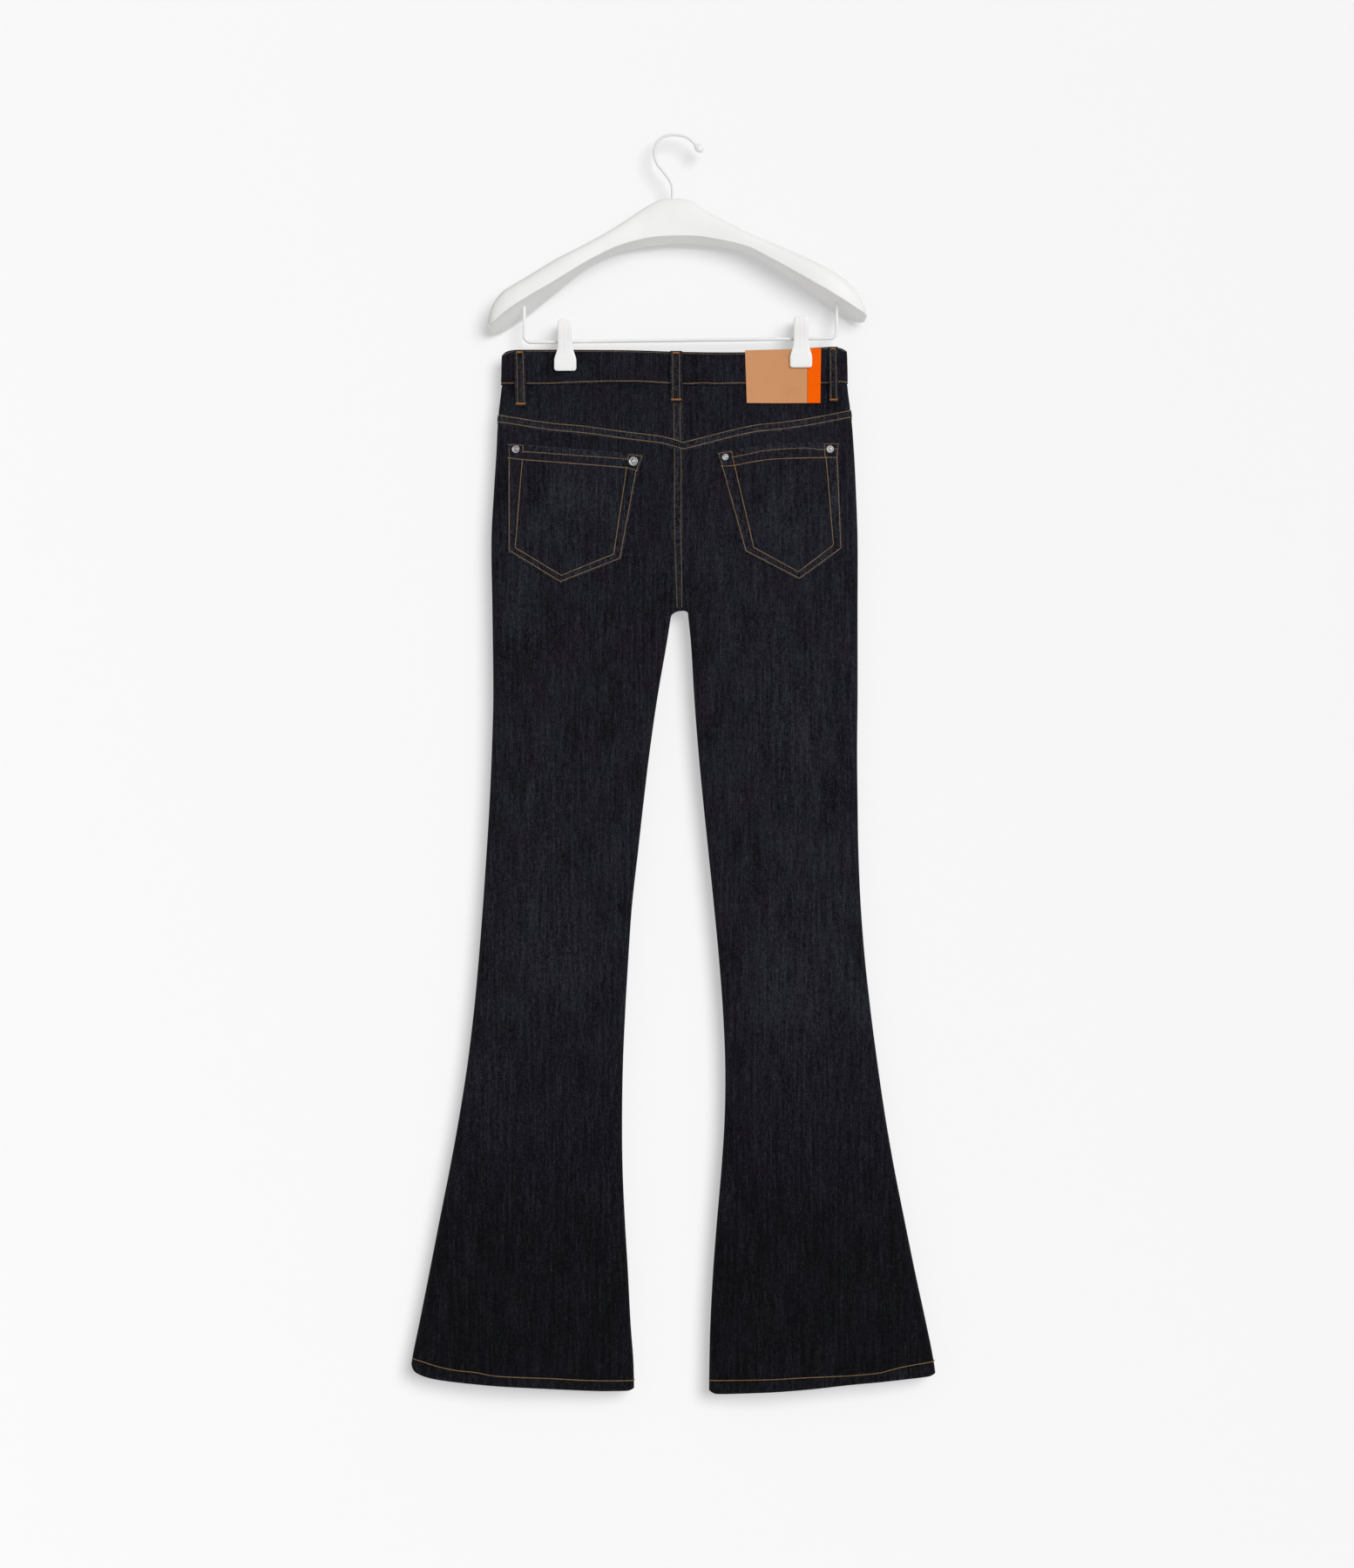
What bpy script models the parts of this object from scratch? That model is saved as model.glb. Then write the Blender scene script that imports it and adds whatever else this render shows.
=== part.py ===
"""Flared jeans hung by two clips from a plastic trouser hanger.

Everything is worked out in millimetres and written to the meshes in metres.
X runs across the garment, +Y towards its front and +Z up. The origin is the
inside of the hook's crown, where a peg or rail holds it. The wearer's left is -X.
"""
import math

import bmesh
import bpy
from mathutils import Vector

METRE = 0.001

# Cloth
WALL = 1.2
SEAM_GAP = 0.3
HALF_GAP = SEAM_GAP / 2
SIDE_SEAM_ARC = 6.0
BACK = -1
FRONT = 1

# Half-height, from the centre seam to the crotch and the arch between the legs
CENTRE_X = 8.0
CROTCH_Z = -528.0
ARCH = {"left": (13.5, 7.0), "right": (5.3, 3.5)}

# Waistband
BAND_WALL = 2.4
BAND_PROUD = 0.8
FLAP_END = CENTRE_X + 1.0
UNDERLAP_END = CENTRE_X - 36.0
UNDERLAP_RAMP = (CENTRE_X + 2.0, CENTRE_X + 18.0)

# Clips: the cloth is pinched flat between their jaws
CLIP_X = {"left": -123.2, "right": 138.8}
CLIP_TOP = {"left": -204.6, "right": -201.0}
PINCHED_DEPTH = {BACK: 1.8, FRONT: 3.1}
PINCH_FLAT = 15.0
PINCH_REACH = 95.0
PINCH_FADE = (-385.0, -280.0)

# Front
SCOOP_WIDTH = 80.0
SCOOP_DROP = 68.0
FLY_UNDERLAP = 10.0
FLY_RECESS = WALL + SEAM_GAP
FLY_END = (-430.0, -415.0)
FLY_RECESS_END = (-460.0, -430.0)

# Hem
HEM_HEIGHT = 12.6
HEM_WALL = 2.4
HEM_LEVEL = {"left": -1394.0, "right": -1397.5}

# Outer edge of the garment seen flat: level, left, right
SIDES = (
    (-1396.0, -298.0, 291.0),
    (-1362.0, -294.0, 286.5),
    (-1322.0, -286.0, 278.5),
    (-1264.0, -274.5, 266.0),
    (-1205.0, -263.0, 254.0),
    (-1147.0, -251.5, 242.5),
    (-1089.0, -241.0, 232.5),
    (-1031.0, -232.0, 224.0),
    (-973.0, -225.0, 216.5),
    (-914.0, -219.5, 210.0),
    (-856.0, -215.0, 205.5),
    (-798.0, -211.0, 203.0),
    (-740.0, -207.5, 202.0),
    (-682.0, -205.0, 201.5),
    (-623.0, -203.5, 202.0),
    (-526.0, -204.5, 202.0),
    (-449.0, -205.5, 202.0),
    (-391.0, -202.5, 200.0),
    (-352.0, -200.0, 198.0),
    (-313.0, -198.0, 195.0),
    (-280.0, -194.3, 190.8),
    (-255.0, -193.6, 189.9),
    (-235.0, -193.2, 189.3),
)

# Inner edge of each leg: level, left, right
INSEAMS = (
    (-1400.0, -46.5, 36.5),
    (-1362.0, -47.5, 37.0),
    (-1322.0, -50.5, 38.0),
    (-1264.0, -53.5, 41.0),
    (-1205.0, -57.0, 45.5),
    (-1147.0, -59.5, 50.5),
    (-1089.0, -60.0, 54.0),
    (-1031.0, -59.0, 54.5),
    (-973.0, -56.5, 52.0),
    (-914.0, -53.0, 47.5),
    (-856.0, -49.0, 42.0),
    (-798.0, -42.5, 36.0),
    (-740.0, -36.0, 30.0),
    (-682.0, -29.0, 24.5),
    (-623.0, -20.5, 20.0),
    (-565.0, -10.5, 16.5),
    (-533.0, -5.5, 13.3),
)

# How far the cloth stands off the middle plane: level, fold radius, back, front
DEPTHS = (
    (-1397.0, 7.5, 11.0, 10.5),
    (-1300.0, 7.0, 9.5, 9.5),
    (-1100.0, 6.0, 7.0, 7.5),
    (-900.0, 6.0, 6.5, 6.5),
    (-700.0, 6.5, 7.5, 7.0),
    (-528.0, 7.0, 9.5, 7.5),
    (-430.0, 7.0, 10.5, 6.5),
    (-330.0, 6.0, 7.0, 5.0),
    (-275.0, 5.0, 4.0, 3.5),
    (-238.0, 4.5, 3.0, 2.5),
)

# Largest folds: face, x and level at the upper end, x and level at the lower
# end, half width, height (a trough where it is negative)
FOLDS = (
    (BACK, -140.0, -600.0, -190.0, -1480.0, 46.0, 2.6),
    (BACK, -80.0, -700.0, -118.0, -1500.0, 42.0, -2.8),
    (BACK, 90.0, -620.0, 108.0, -1480.0, 46.0, 2.6),
    (BACK, 150.0, -760.0, 196.0, -1500.0, 42.0, -2.6),
    (BACK, -20.0, -300.0, -60.0, -520.0, 40.0, -1.6),
    (FRONT, -150.0, -560.0, -210.0, -1500.0, 46.0, -2.6),
    (FRONT, -90.0, -640.0, -120.0, -1480.0, 44.0, 2.4),
    (FRONT, 80.0, -680.0, 92.0, -1500.0, 44.0, -2.8),
    (FRONT, 150.0, -600.0, 190.0, -1480.0, 46.0, 2.6),
)

# Waistband's upper edge: x, back level, front level
BAND_TOP = (
    (-193.3, -244.0, -244.0),
    (-190.5, -241.0, -241.2),
    (-185.0, -238.7, -239.4),
    (-176.0, -237.8, -239.0),
    (-115.0, -237.6, -240.0),
    (-60.0, -238.4, -243.6),
    (8.0, -240.6, -247.5),
    (75.0, -240.8, -242.8),
    (125.0, -237.5, -239.4),
    (162.0, -234.9, -236.8),
    (173.0, -234.5, -236.2),
    (183.0, -236.0, -236.8),
    (189.5, -239.2, -239.2),
)

# Waistband's lower edge: x, back level, front level
BAND_FOOT = (
    (-193.5, -277.2, -277.2),
    (-100.0, -275.9, -278.5),
    (-50.0, -275.2, -281.5),
    (8.0, -278.0, -284.0),
    (75.0, -277.4, -280.5),
    (150.0, -276.6, -277.2),
    (190.0, -276.0, -276.0),
)

# Yoke seam: x, level
YOKE_SEAM = (
    (-198.0, -309.0),
    (-141.0, -318.0),
    (-100.0, -322.0),
    (-57.0, -328.0),
    (-19.5, -333.0),
    (8.0, -340.0),
    (35.5, -333.5),
    (62.5, -326.5),
    (89.5, -320.5),
    (116.5, -317.5),
    (144.0, -313.5),
    (171.0, -308.5),
    (196.0, -304.0),
)

# Hem's rise above its lowest level: share of the width from the outer fold
HEM_RISE = {
    "left": (
        (0.0, 28.0),
        (0.02, 21.0),
        (0.08, 15.0),
        (0.17, 11.5),
        (0.32, 8.0),
        (0.55, 4.5),
        (0.77, 1.0),
        (0.97, 0.0),
        (1.0, 1.5),
    ),
    "right": (
        (0.0, 22.0),
        (0.03, 19.5),
        (0.13, 17.0),
        (0.36, 11.5),
        (0.58, 6.0),
        (0.80, 2.2),
        (0.97, 0.0),
        (1.0, 2.5),
    ),
}

# A panel's columns, from its side seam to its inner edge. "arc" is a length
# round the outer fold, "from_edge" a distance from the outer edge, "turn" and
# "tuck" are shares of the quarter turn of the outer and the inner fold, and
# "across" is a share of the flat between them.
BACK_COLUMNS = (
    ("arc", HALF_GAP - SIDE_SEAM_ARC),
    ("turn", -0.36),
    ("turn", 0.0),
    ("turn", 0.45),
    ("turn", 1.0),
    ("across", 0.14),
    ("across", 0.29),
    ("across", 0.44),
    ("across", 0.58),
    ("across", 0.72),
    ("across", 0.86),
    ("tuck", 1.0),
    ("tuck", 0.62),
    ("tuck", 0.28),
    ("tuck", 0.0),
)
FRONT_COLUMNS = (
    ("arc", HALF_GAP + SIDE_SEAM_ARC),
    ("turn", 1.0),
    ("from_edge", 27.0),
    ("from_edge", 45.0),
    ("from_edge", 60.0),
    ("from_edge", 71.5),
    ("from_edge", 78.0),
    ("from_edge", SCOOP_WIDTH + 0.5),
    ("across", 0.61),
    ("across", 0.77),
    ("across", 0.90),
    ("tuck", 1.0),
    ("tuck", 0.62),
    ("tuck", 0.28),
    ("tuck", 0.0),
)

# A panel's rows, by their level at rest
BACK_TOP = -330.0
FRONT_TOP = -280.0
PULL_END = -490.0
HEM_PULL = (-1380.0, -1250.0)
SEAT_LEVELS = (-375.0, -415.0, -430.0, -460.0, -490.0)
# Rows that bend round the arch: level out in the leg, level at its inner edge
ARCH_LEVELS = (
    (-507.0, -514.0),
    (-517.0, -523.5),
    (-525.0, CROTCH_Z),
    (-531.0, -529.2),
    (-537.0, -531.5),
    (-544.0, -535.0),
    (-556.0, -548.0),
)
LEG_LEVELS = (
    -585.0, -630.0, -690.0, -755.0, -820.0, -885.0, -950.0, -1015.0, -1080.0,
    -1145.0, -1210.0, -1275.0, -1335.0,
)
HEM_STEP = 1.0

# Hanger body: x, upper edge, front lower edge, rear lower edge, half depth
HANGER_SECTIONS = (
    (-209.0, -207.0, -210.5, -213.0, 4.0),
    (-207.3, -198.0, -210.5, -216.0, 8.5),
    (-203.5, -187.0, -208.5, -217.5, 13.5),
    (-193.0, -173.5, -199.3, -214.5, 18.0),
    (-180.0, -165.0, -190.0, -206.3, 19.8),
    (-168.0, -158.0, -182.5, -198.8, 20.0),
    (-132.0, -136.2, -161.2, -170.3, 18.5),
    (-97.5, -118.5, -139.8, -143.8, 15.5),
    (-66.0, -100.5, -124.0, -128.3, 12.5),
    (-38.5, -82.0, -115.5, -122.0, 10.0),
    (-23.0, -73.0, -112.8, -120.0, 9.2),
    (-14.0, -69.8, -112.0, -119.0, 9.0),
    (6.5, -69.5, -111.5, -118.0, 9.0),
    (17.0, -72.3, -111.7, -118.5, 9.2),
    (31.0, -81.5, -112.8, -119.5, 9.8),
    (76.0, -105.0, -122.8, -128.0, 12.5),
    (102.0, -116.5, -135.4, -140.4, 14.5),
    (139.5, -132.5, -156.6, -165.2, 18.5),
    (171.0, -148.0, -175.0, -189.0, 20.0),
    (187.5, -158.5, -184.8, -199.0, 18.5),
    (199.0, -168.8, -191.8, -204.6, 15.0),
    (206.0, -178.8, -195.6, -206.0, 11.0),
    (209.8, -190.0, -198.0, -205.5, 7.0),
    (211.5, -197.5, -200.0, -203.0, 3.5),
)
HANGER_STATIONS = 30

# Hook: the wire's centre line, x and level, from the body to the tip
HOOK_ROUTE = (
    (-4.5, -69.1),
    (-4.0, -60.0),
    (-5.0, -53.0),
    (-9.0, -46.0),
    (-15.5, -37.5),
    (-21.0, -30.5),
    (-24.0, -20.0),
    (-23.0, -12.0),
    (-20.0, -5.5),
    (-14.0, -0.7),
    (-7.0, 1.5),
    (0.0, 1.65),
    (8.0, 0.5),
    (14.5, -2.5),
    (20.5, -8.0),
    (25.0, -13.0),
    (30.5, -17.5),
)
HOOK_WIRE = 1.65
HOOK_STEPS = 2
HOOK_CAP = ((0.0, 1.65, 1.65), (2.5, 3.4, 2.2), (6.0, 4.3, 2.5), (9.5, 3.6, 2.2), (11.6, 1.6, 1.2))

# Bar: the bent wire that carries the clips
BAR_WIRE = 1.8
BAR_LEFT = (-169.0, -192.0, -229.3)
BAR_RIGHT = (178.6, -187.0, -224.8)
BAR_BEND = 8.0
BAR_CLEARANCE = 0.6

# Clip jaw: distance below its top, half width, outer face, inner face.
# The inner face of the grip is set for each jaw.
JAW_SECTIONS = (
    (0.0, 4.6, 11.2, 9.6),
    (1.6, 7.2, 12.2, 9.6),
    (5.0, 8.2, 12.6, 9.6),
    (12.0, 8.4, 12.2, 8.6),
    (19.0, 8.4, 10.6, 5.8),
    (24.0, 8.4, 9.2, 4.8),
    (30.0, 8.5, 8.2, 4.6),
)
GRIP_SECTIONS = (
    (34.5, 9.3, 7.8),
    (41.0, 11.3, 7.9),
    (46.0, 12.3, 8.2),
    (54.0, 12.3, 8.0),
    (56.6, 11.0, 7.2),
)
JAW_BEVEL = 1.3
GRIP_GAP = 0.5
PATCH_STACK = 1.6
SPRING_OUTER = 3.9
SPRING_INNER = 2.4
SPRING_LENGTH = 11.0

# Patch on the waistband
PATCH_TOP = ((76.4, -238.9), (161.2, -236.0))
PATCH_FOOT = ((78.2, -297.7), (160.4, -297.2))
PATCH_ROWS = (0.0, 0.3, 0.62, 0.8, 1.0)
PATCH_END = 0.82
STRIP_START = 0.8236
PATCH_WALL = 1.2

# Belt loops: name, face, x at the upper and the lower end, half width, both levels
LOOPS = (
    ("belt_loop_back_left", BACK, -174.0, -172.6, 6.2, -238.5, -300.9),
    ("belt_loop_back_centre", BACK, 0.0, 0.2, 6.6, -240.0, -296.8),
    ("belt_loop_back_right", BACK, 174.6, 175.3, 5.2, -234.7, -296.2),
    ("belt_loop_front_left", FRONT, -92.0, -92.0, 6.2, -241.6, -300.0),
    ("belt_loop_front_right", FRONT, 96.0, 96.0, 6.2, -241.2, -300.0),
)
# A loop's lift off the cloth along its length
LOOP_LIFTS = ((0.0, 1.15), (0.07, 1.2), (0.22, 2.6), (0.45, 3.3), (0.68, 2.7), (0.9, 1.35), (1.0, 1.1))
LOOP_WALL = 1.8

# Back pockets: left, middle and right point of the upper edge, of the hem's
# lower edge and of the foot, as x and level
POCKETS = {
    "left": (
        ((-187.7, -341.6), (-111.5, -348.6), (-35.2, -355.3)),
        ((-186.8, -361.0), (-115.0, -367.5), (-42.3, -374.5)),
        ((-187.0, -463.8), (-128.2, -499.3), (-60.5, -472.3)),
    ),
    "right": (
        ((44.7, -352.2), (113.0, -342.2), (181.6, -341.0)),
        ((49.8, -371.0), (114.5, -362.0), (179.3, -359.5)),
        ((75.0, -463.8), (135.8, -495.8), (184.9, -459.6)),
    ),
}
POCKET_LIFT = 0.5
POCKET_WALL = 1.2
POCKET_HEM_WALL = 1.8
POCKET_COLUMNS = (0.0, 0.12, 0.25, 0.38, 0.5, 0.63, 0.76, 0.88, 1.0)
# Share of the way from the hem's lower edge to the foot, or back to the upper
# edge where it is negative, and the wall's thickness there
POCKET_ROWS = (
    (-1.0, POCKET_HEM_WALL),
    (-0.06, POCKET_HEM_WALL),
    (0.0, POCKET_WALL),
    (0.25, POCKET_WALL),
    (0.5, POCKET_WALL),
    (0.75, POCKET_WALL),
    (1.0, POCKET_WALL),
)

# Rivets on the pockets' upper corners: x and level
RIVETS = ((-177.9, -349.2), (-47.6, -363.2), (54.4, -358.6), (170.8, -349.2))
RIVET_LIFT = 2.75
RIVET_PROFILE = ((4.5, 0.0), (4.5, 0.6), (3.9, 1.2), (2.6, 1.3), (1.9, 0.9), (1.2, 1.7), (0.4, 1.8))
BUTTON_X = CENTRE_X - 11.0
BUTTON_PROFILE = (
    (3.0, 0.0),
    (3.0, 1.6),
    (7.6, 1.9),
    (8.5, 2.7),
    (8.3, 3.8),
    (6.6, 4.3),
    (5.8, 3.9),
    (1.0, 3.7),
)
TURNED_SIDES = 16
WIRE_SIDES = 8


def smoothstep(low, high, value):
    """Ease from 0 at low to 1 at high."""
    share = min(max((value - low) / (high - low), 0.0), 1.0)
    return share * share * (3.0 - 2.0 * share)


def mix(a, b, share):
    """Blend from a to b."""
    return a + (b - a) * share


def table_value(table, key, column):
    """Read a table's column at a key by a smooth curve through its rows."""
    if key <= table[0][0]:
        return table[0][column]
    if key >= table[-1][0]:
        return table[-1][column]
    index = next(i for i in range(len(table) - 1) if key <= table[i + 1][0])
    before = table[max(index - 1, 0)]
    low, high = table[index], table[index + 1]
    after = table[min(index + 2, len(table) - 1)]
    span = high[0] - low[0]
    share = (key - low[0]) / span
    slope_low = (high[column] - before[column]) / (high[0] - before[0]) * span
    slope_high = (after[column] - low[column]) / (after[0] - low[0]) * span
    square, cube = share ** 2, share ** 3
    return (
        (2 * cube - 3 * square + 1) * low[column]
        + (cube - 2 * square + share) * slope_low
        + (3 * square - 2 * cube) * high[column]
        + (cube - square) * slope_high
    )


def leg_of(x):
    """Name the leg that a place belongs to."""
    return "left" if x < CENTRE_X else "right"


def leg_edges(leg, z):
    """Give the outer edge and the inner edge or centre seam at a level."""
    column = 1 if leg == "left" else 2
    outer = table_value(SIDES, z, column)
    if z >= CROTCH_Z:
        return outer, CENTRE_X
    reach, height = ARCH[leg]
    rise = (z - CROTCH_Z + height) / height
    if rise > 0.0:
        offset = reach * math.sqrt(max(1.0 - rise * rise, 0.0))
        return outer, CENTRE_X + (-offset if leg == "left" else offset)
    return outer, table_value(INSEAMS, z, column)


def inner_distance(x, z):
    """Distance from the inner edge of the leg, or from the arch at the crotch."""
    leg = leg_of(x)
    reach, height = ARCH[leg]
    arch_foot = CROTCH_Z - height
    if z < arch_foot:
        inner = leg_edges(leg, z)[1]
        return inner - x if leg == "left" else x - inner
    across = (x - CENTRE_X) / reach
    up = (z - arch_foot) / height
    radius = math.hypot(across, up)
    slope = math.hypot(across / reach, up / height) / radius
    return (radius - 1.0) / slope


def lens_edge(leg, z):
    """Inner end of a leg's bulge, eased past the crotch."""
    inseam = table_value(INSEAMS, z, 1 if leg == "left" else 2)
    return mix(inseam, CENTRE_X, smoothstep(CROTCH_Z - 60.0, CROTCH_Z + 50.0, z))


def fold_height(x, z, face):
    """Sum the large folds at a place."""
    total = 0.0
    for fold_face, upper_x, upper_z, lower_x, lower_z, half_width, height in FOLDS:
        if fold_face != face or not lower_z < z < upper_z:
            continue
        share = (upper_z - z) / (upper_z - lower_z)
        off = (x - mix(upper_x, lower_x, share)) / half_width
        if abs(off) < 1.0:
            along = smoothstep(0.0, 0.35, share) * (1.0 - smoothstep(0.88, 1.0, share))
            total += height * along * (1.0 - off * off) ** 2
    return total


def core_depth(x, z, face):
    """Depth of the cloth off the middle plane, before its edges turn in."""
    left = table_value(SIDES, z, 1)
    right = table_value(SIDES, z, 2)
    fold = table_value(DEPTHS, z, 1)
    bulge = table_value(DEPTHS, z, 2 if face == BACK else 3)
    outer, inner = left if leg_of(x) == "left" else right, lens_edge(leg_of(x), z)
    whole = 1.0 - min(abs(2.0 * (x - left) / (right - left) - 1.0), 1.0) ** 2.4
    single = 1.0 - min(abs(2.0 * (x - outer) / (inner - outer) - 1.0), 1.0) ** 2.4
    legs = 1.0 - smoothstep(CROTCH_Z, CROTCH_Z + 95.0, z)
    depth = fold + bulge * mix(whole, single, legs) + fold_height(x, z, face)
    fade = smoothstep(PINCH_FADE[0], PINCH_FADE[1], z)
    for clip_x in CLIP_X.values():
        hold = 1.0 - smoothstep(PINCH_FLAT, PINCH_REACH, abs(x - clip_x))
        depth = mix(depth, PINCHED_DEPTH[face], hold * fade)
    return depth


def turn_in(distance, radius):
    """Square of the share of the depth left at a distance from an edge."""
    return 1.0 - (1.0 - min(distance / radius, 1.0)) ** 2


def edge_share(x, z):
    """Square of the share of the depth left by the outer and inner edges."""
    fold = table_value(DEPTHS, z, 1)
    outer = leg_edges(leg_of(x), z)[0]
    from_outer = x - outer if leg_of(x) == "left" else outer - x
    return turn_in(from_outer, fold) * turn_in(inner_distance(x, z), fold)


def surface_y(x, z, face):
    """Outer cloth surface at a place."""
    return face * core_depth(x, z, face) * math.sqrt(max(edge_share(x, z), 0.0))


def inside_test(x, y, z):
    """Zero on the outer surface and positive outside it."""
    face = BACK if y < 0.0 else FRONT
    return (y / core_depth(x, z, face)) ** 2 - edge_share(x, z)


def surface_normal(x, y, z):
    """Outward direction of the cloth at a point on it."""
    step = 0.1
    slope = Vector((
        inside_test(x + step, y, z) - inside_test(x - step, y, z),
        inside_test(x, y + step, z) - inside_test(x, y - step, z),
        inside_test(x, y, z + step) - inside_test(x, y, z - step),
    ))
    return slope.normalized()


def cloth_point(x, z, face, lift=0.0):
    """Point on the cloth, moved out by a lift (in, where it is negative)."""
    y = surface_y(x, z, face)
    normal = surface_normal(x, y if abs(y) > 0.05 else face * 0.05, z)
    if abs(x - CENTRE_X) < SEAM_GAP:
        normal.x = 0.0
        normal.normalize()
    return Vector((x, y, z)) + normal * lift


def column_place(leg, column, z):
    """Give a column's x at a level, and -1 where it lies past the outer fold."""
    kind, value = column
    outer, inner = leg_edges(leg, z)
    inward = 1.0 if leg == "left" else -1.0
    fold = table_value(DEPTHS, z, 1)
    side = -1 if value < 0.0 else 1
    if kind == "arc":
        return outer + inward * fold * (1.0 - math.cos(abs(value) / fold)), side
    if kind == "from_edge":
        return outer + inward * value, 1
    if kind == "turn":
        return outer + inward * fold * (1.0 - math.cos(abs(value) * math.pi / 2)), side
    if kind == "tuck":
        edge = max(fold * (1.0 - math.cos(value * math.pi / 2)), HALF_GAP if z >= CROTCH_Z else 0.0)
        return inner - inward * edge, 1
    return mix(outer + inward * fold, inner - inward * fold, value), 1


def hem_rise(leg, x, z):
    """Rise of the hem's edge above its lowest level."""
    outer, inner = leg_edges(leg, z)
    share = min(max((x - outer) / (inner - outer), 0.0), 1.0)
    return table_value(HEM_RISE[leg], share, 1)


def band_top(x, face):
    """Level of the waistband's upper edge."""
    return table_value(BAND_TOP, x, 1 if face == BACK else 2)


def band_foot(x, face):
    """Level of the waistband's lower edge."""
    return table_value(BAND_FOOT, x, 1 if face == BACK else 2)


def yoke_seam(x):
    """Level of the seam between a yoke and its back panel."""
    return table_value(YOKE_SEAM, x, 1)


def scoop_top(leg, x):
    """Level of a front panel's upper edge, with its pocket scoop."""
    outer = leg_edges(leg, FRONT_TOP)[0]
    share = abs(x - outer) / SCOOP_WIDTH
    drop = SCOOP_DROP * math.sqrt(max(1.0 - share * share, 0.0))
    return band_foot(x, FRONT) - drop


def panel_rows(top, leg):
    """List a panel's rows: level, level at the inner edge, wall thickness."""
    hem = HEM_LEVEL[leg]
    upper = tuple(level for level in (top, top - 24.0) if level > SEAT_LEVELS[0] + 15.0)
    rows = [(level, level, WALL) for level in upper + SEAT_LEVELS]
    rows += [(level, inner_level, WALL) for level, inner_level in ARCH_LEVELS]
    rows += [(level, level, WALL) for level in LEG_LEVELS]
    rows.append((hem + HEM_HEIGHT + HEM_STEP, hem + HEM_HEIGHT + HEM_STEP, WALL))
    rows.append((hem + HEM_HEIGHT, hem + HEM_HEIGHT, HEM_WALL))
    rows.append((hem, hem, HEM_WALL))
    return rows


def nearness(column):
    """Share of the way to the inner edge that bends a column's rows."""
    kind, value = column
    if kind == "tuck":
        return 1.0
    return smoothstep(0.45, 1.0, value) if kind == "across" else 0.0


def seam_level(leg, column, edge, level):
    """Level at which a column meets an edge that is given by x."""
    for _ in range(4):
        level = edge(column_place(leg, column, level)[0])
    return level


def panel_point(leg, face, column, level, top, upper_edge):
    """Place one grid point of a panel on the cloth: x, level and face."""
    pull = min(max((level - PULL_END) / (top - PULL_END), 0.0), 1.0)
    z = level + pull * (seam_level(leg, column, upper_edge, top) - SEAM_GAP - top)
    hem_pull = 1.0 - smoothstep(HEM_PULL[0], HEM_PULL[1], level)
    z += hem_pull * hem_rise(leg, column_place(leg, column, level)[0], level)
    x, side = column_place(leg, column, z)
    return x, z, face * side


def fly_lap(x, z):
    """Give how far the right front's edge runs under the left one, and its recess."""
    lap = FLY_UNDERLAP * (1.0 if z > FLY_END[0] + 2.0 else 0.0)
    recess = FLY_RECESS * smoothstep(FLY_RECESS_END[0], FLY_RECESS_END[1], z)
    return lap, recess * (1.0 - smoothstep(CENTRE_X + 1.0, CENTRE_X + 8.0, x))


def build_panel(name, leg, face, columns, top, upper_edge, material):
    """Build one leg panel as a wall from its upper edge to its hem."""
    outer_rows, inner_rows = [], []
    for far_level, near_level, thickness in panel_rows(top, leg):
        outer_row, inner_row = [], []
        for column in columns:
            level = mix(far_level, near_level, nearness(column))
            x, z, side = panel_point(leg, face, column, level, top, upper_edge)
            lift = 0.0
            if face == FRONT and leg == "right":
                lap, recess = fly_lap(x, z)
                lift = -recess
                if column == ("tuck", 0.0):
                    x -= lap
            outer_row.append(cloth_point(x, z, side, lift))
            inner_row.append(cloth_point(x, z, side, lift - thickness))
            if column == ("tuck", 0.0) and level <= CROTCH_Z:
                outer_row[-1].y = face * HALF_GAP
                inner_row[-1].y = face * HALF_GAP
        outer_rows.append(outer_row)
        inner_rows.append(inner_row)
    return build_wall(name, outer_rows, inner_rows, material)


def build_yoke(leg, material):
    """Build one yoke piece between the waistband and the yoke seam."""
    outer_rows, inner_rows = [], []
    for share in (0.0, 0.5, 1.0):
        outer_row, inner_row = [], []
        for column in BACK_COLUMNS:
            top = seam_level(leg, column, lambda x: band_foot(x, BACK), FRONT_TOP) - SEAM_GAP
            foot = seam_level(leg, column, yoke_seam, BACK_TOP)
            z = mix(top, foot, share)
            x, side = column_place(leg, column, z)
            outer_row.append(cloth_point(x, z, BACK * side))
            inner_row.append(cloth_point(x, z, BACK * side, -WALL))
        outer_rows.append(outer_row)
        inner_rows.append(inner_row)
    return build_wall(f"yoke_{leg}", outer_rows, inner_rows, material)


def band_stations():
    """List the waistband's stations from its outer end round to its inner end.

    Each is a place (a leg and its column, or no leg and an x), and the face.
    """
    turns = (1.0, 0.45, 0.0)
    left = (-184.0, -168.0, -152.0, -138.0, -108.0, -95.0, -75.0, -50.0, -20.0)
    right = (36.0, 64.0, 90.0, 110.0, 124.0, 154.0, 168.0, 181.0)
    lap = (UNDERLAP_RAMP[1], UNDERLAP_RAMP[0] + 8.0, UNDERLAP_RAMP[0], CENTRE_X - 12.0, UNDERLAP_END)
    stations = [(None, x, FRONT) for x in (FLAP_END,) + left[::-1]]
    stations += [("left", ("turn", share), FRONT) for share in turns]
    stations += [("left", ("turn", share), BACK) for share in turns[1::-1]]
    stations += [(None, x, BACK) for x in left + (CENTRE_X,) + right]
    stations += [("right", ("turn", share), BACK) for share in turns]
    stations += [("right", ("turn", share), FRONT) for share in turns[1::-1]]
    stations += [(None, x, FRONT) for x in right[::-1] + lap]
    return stations


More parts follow.
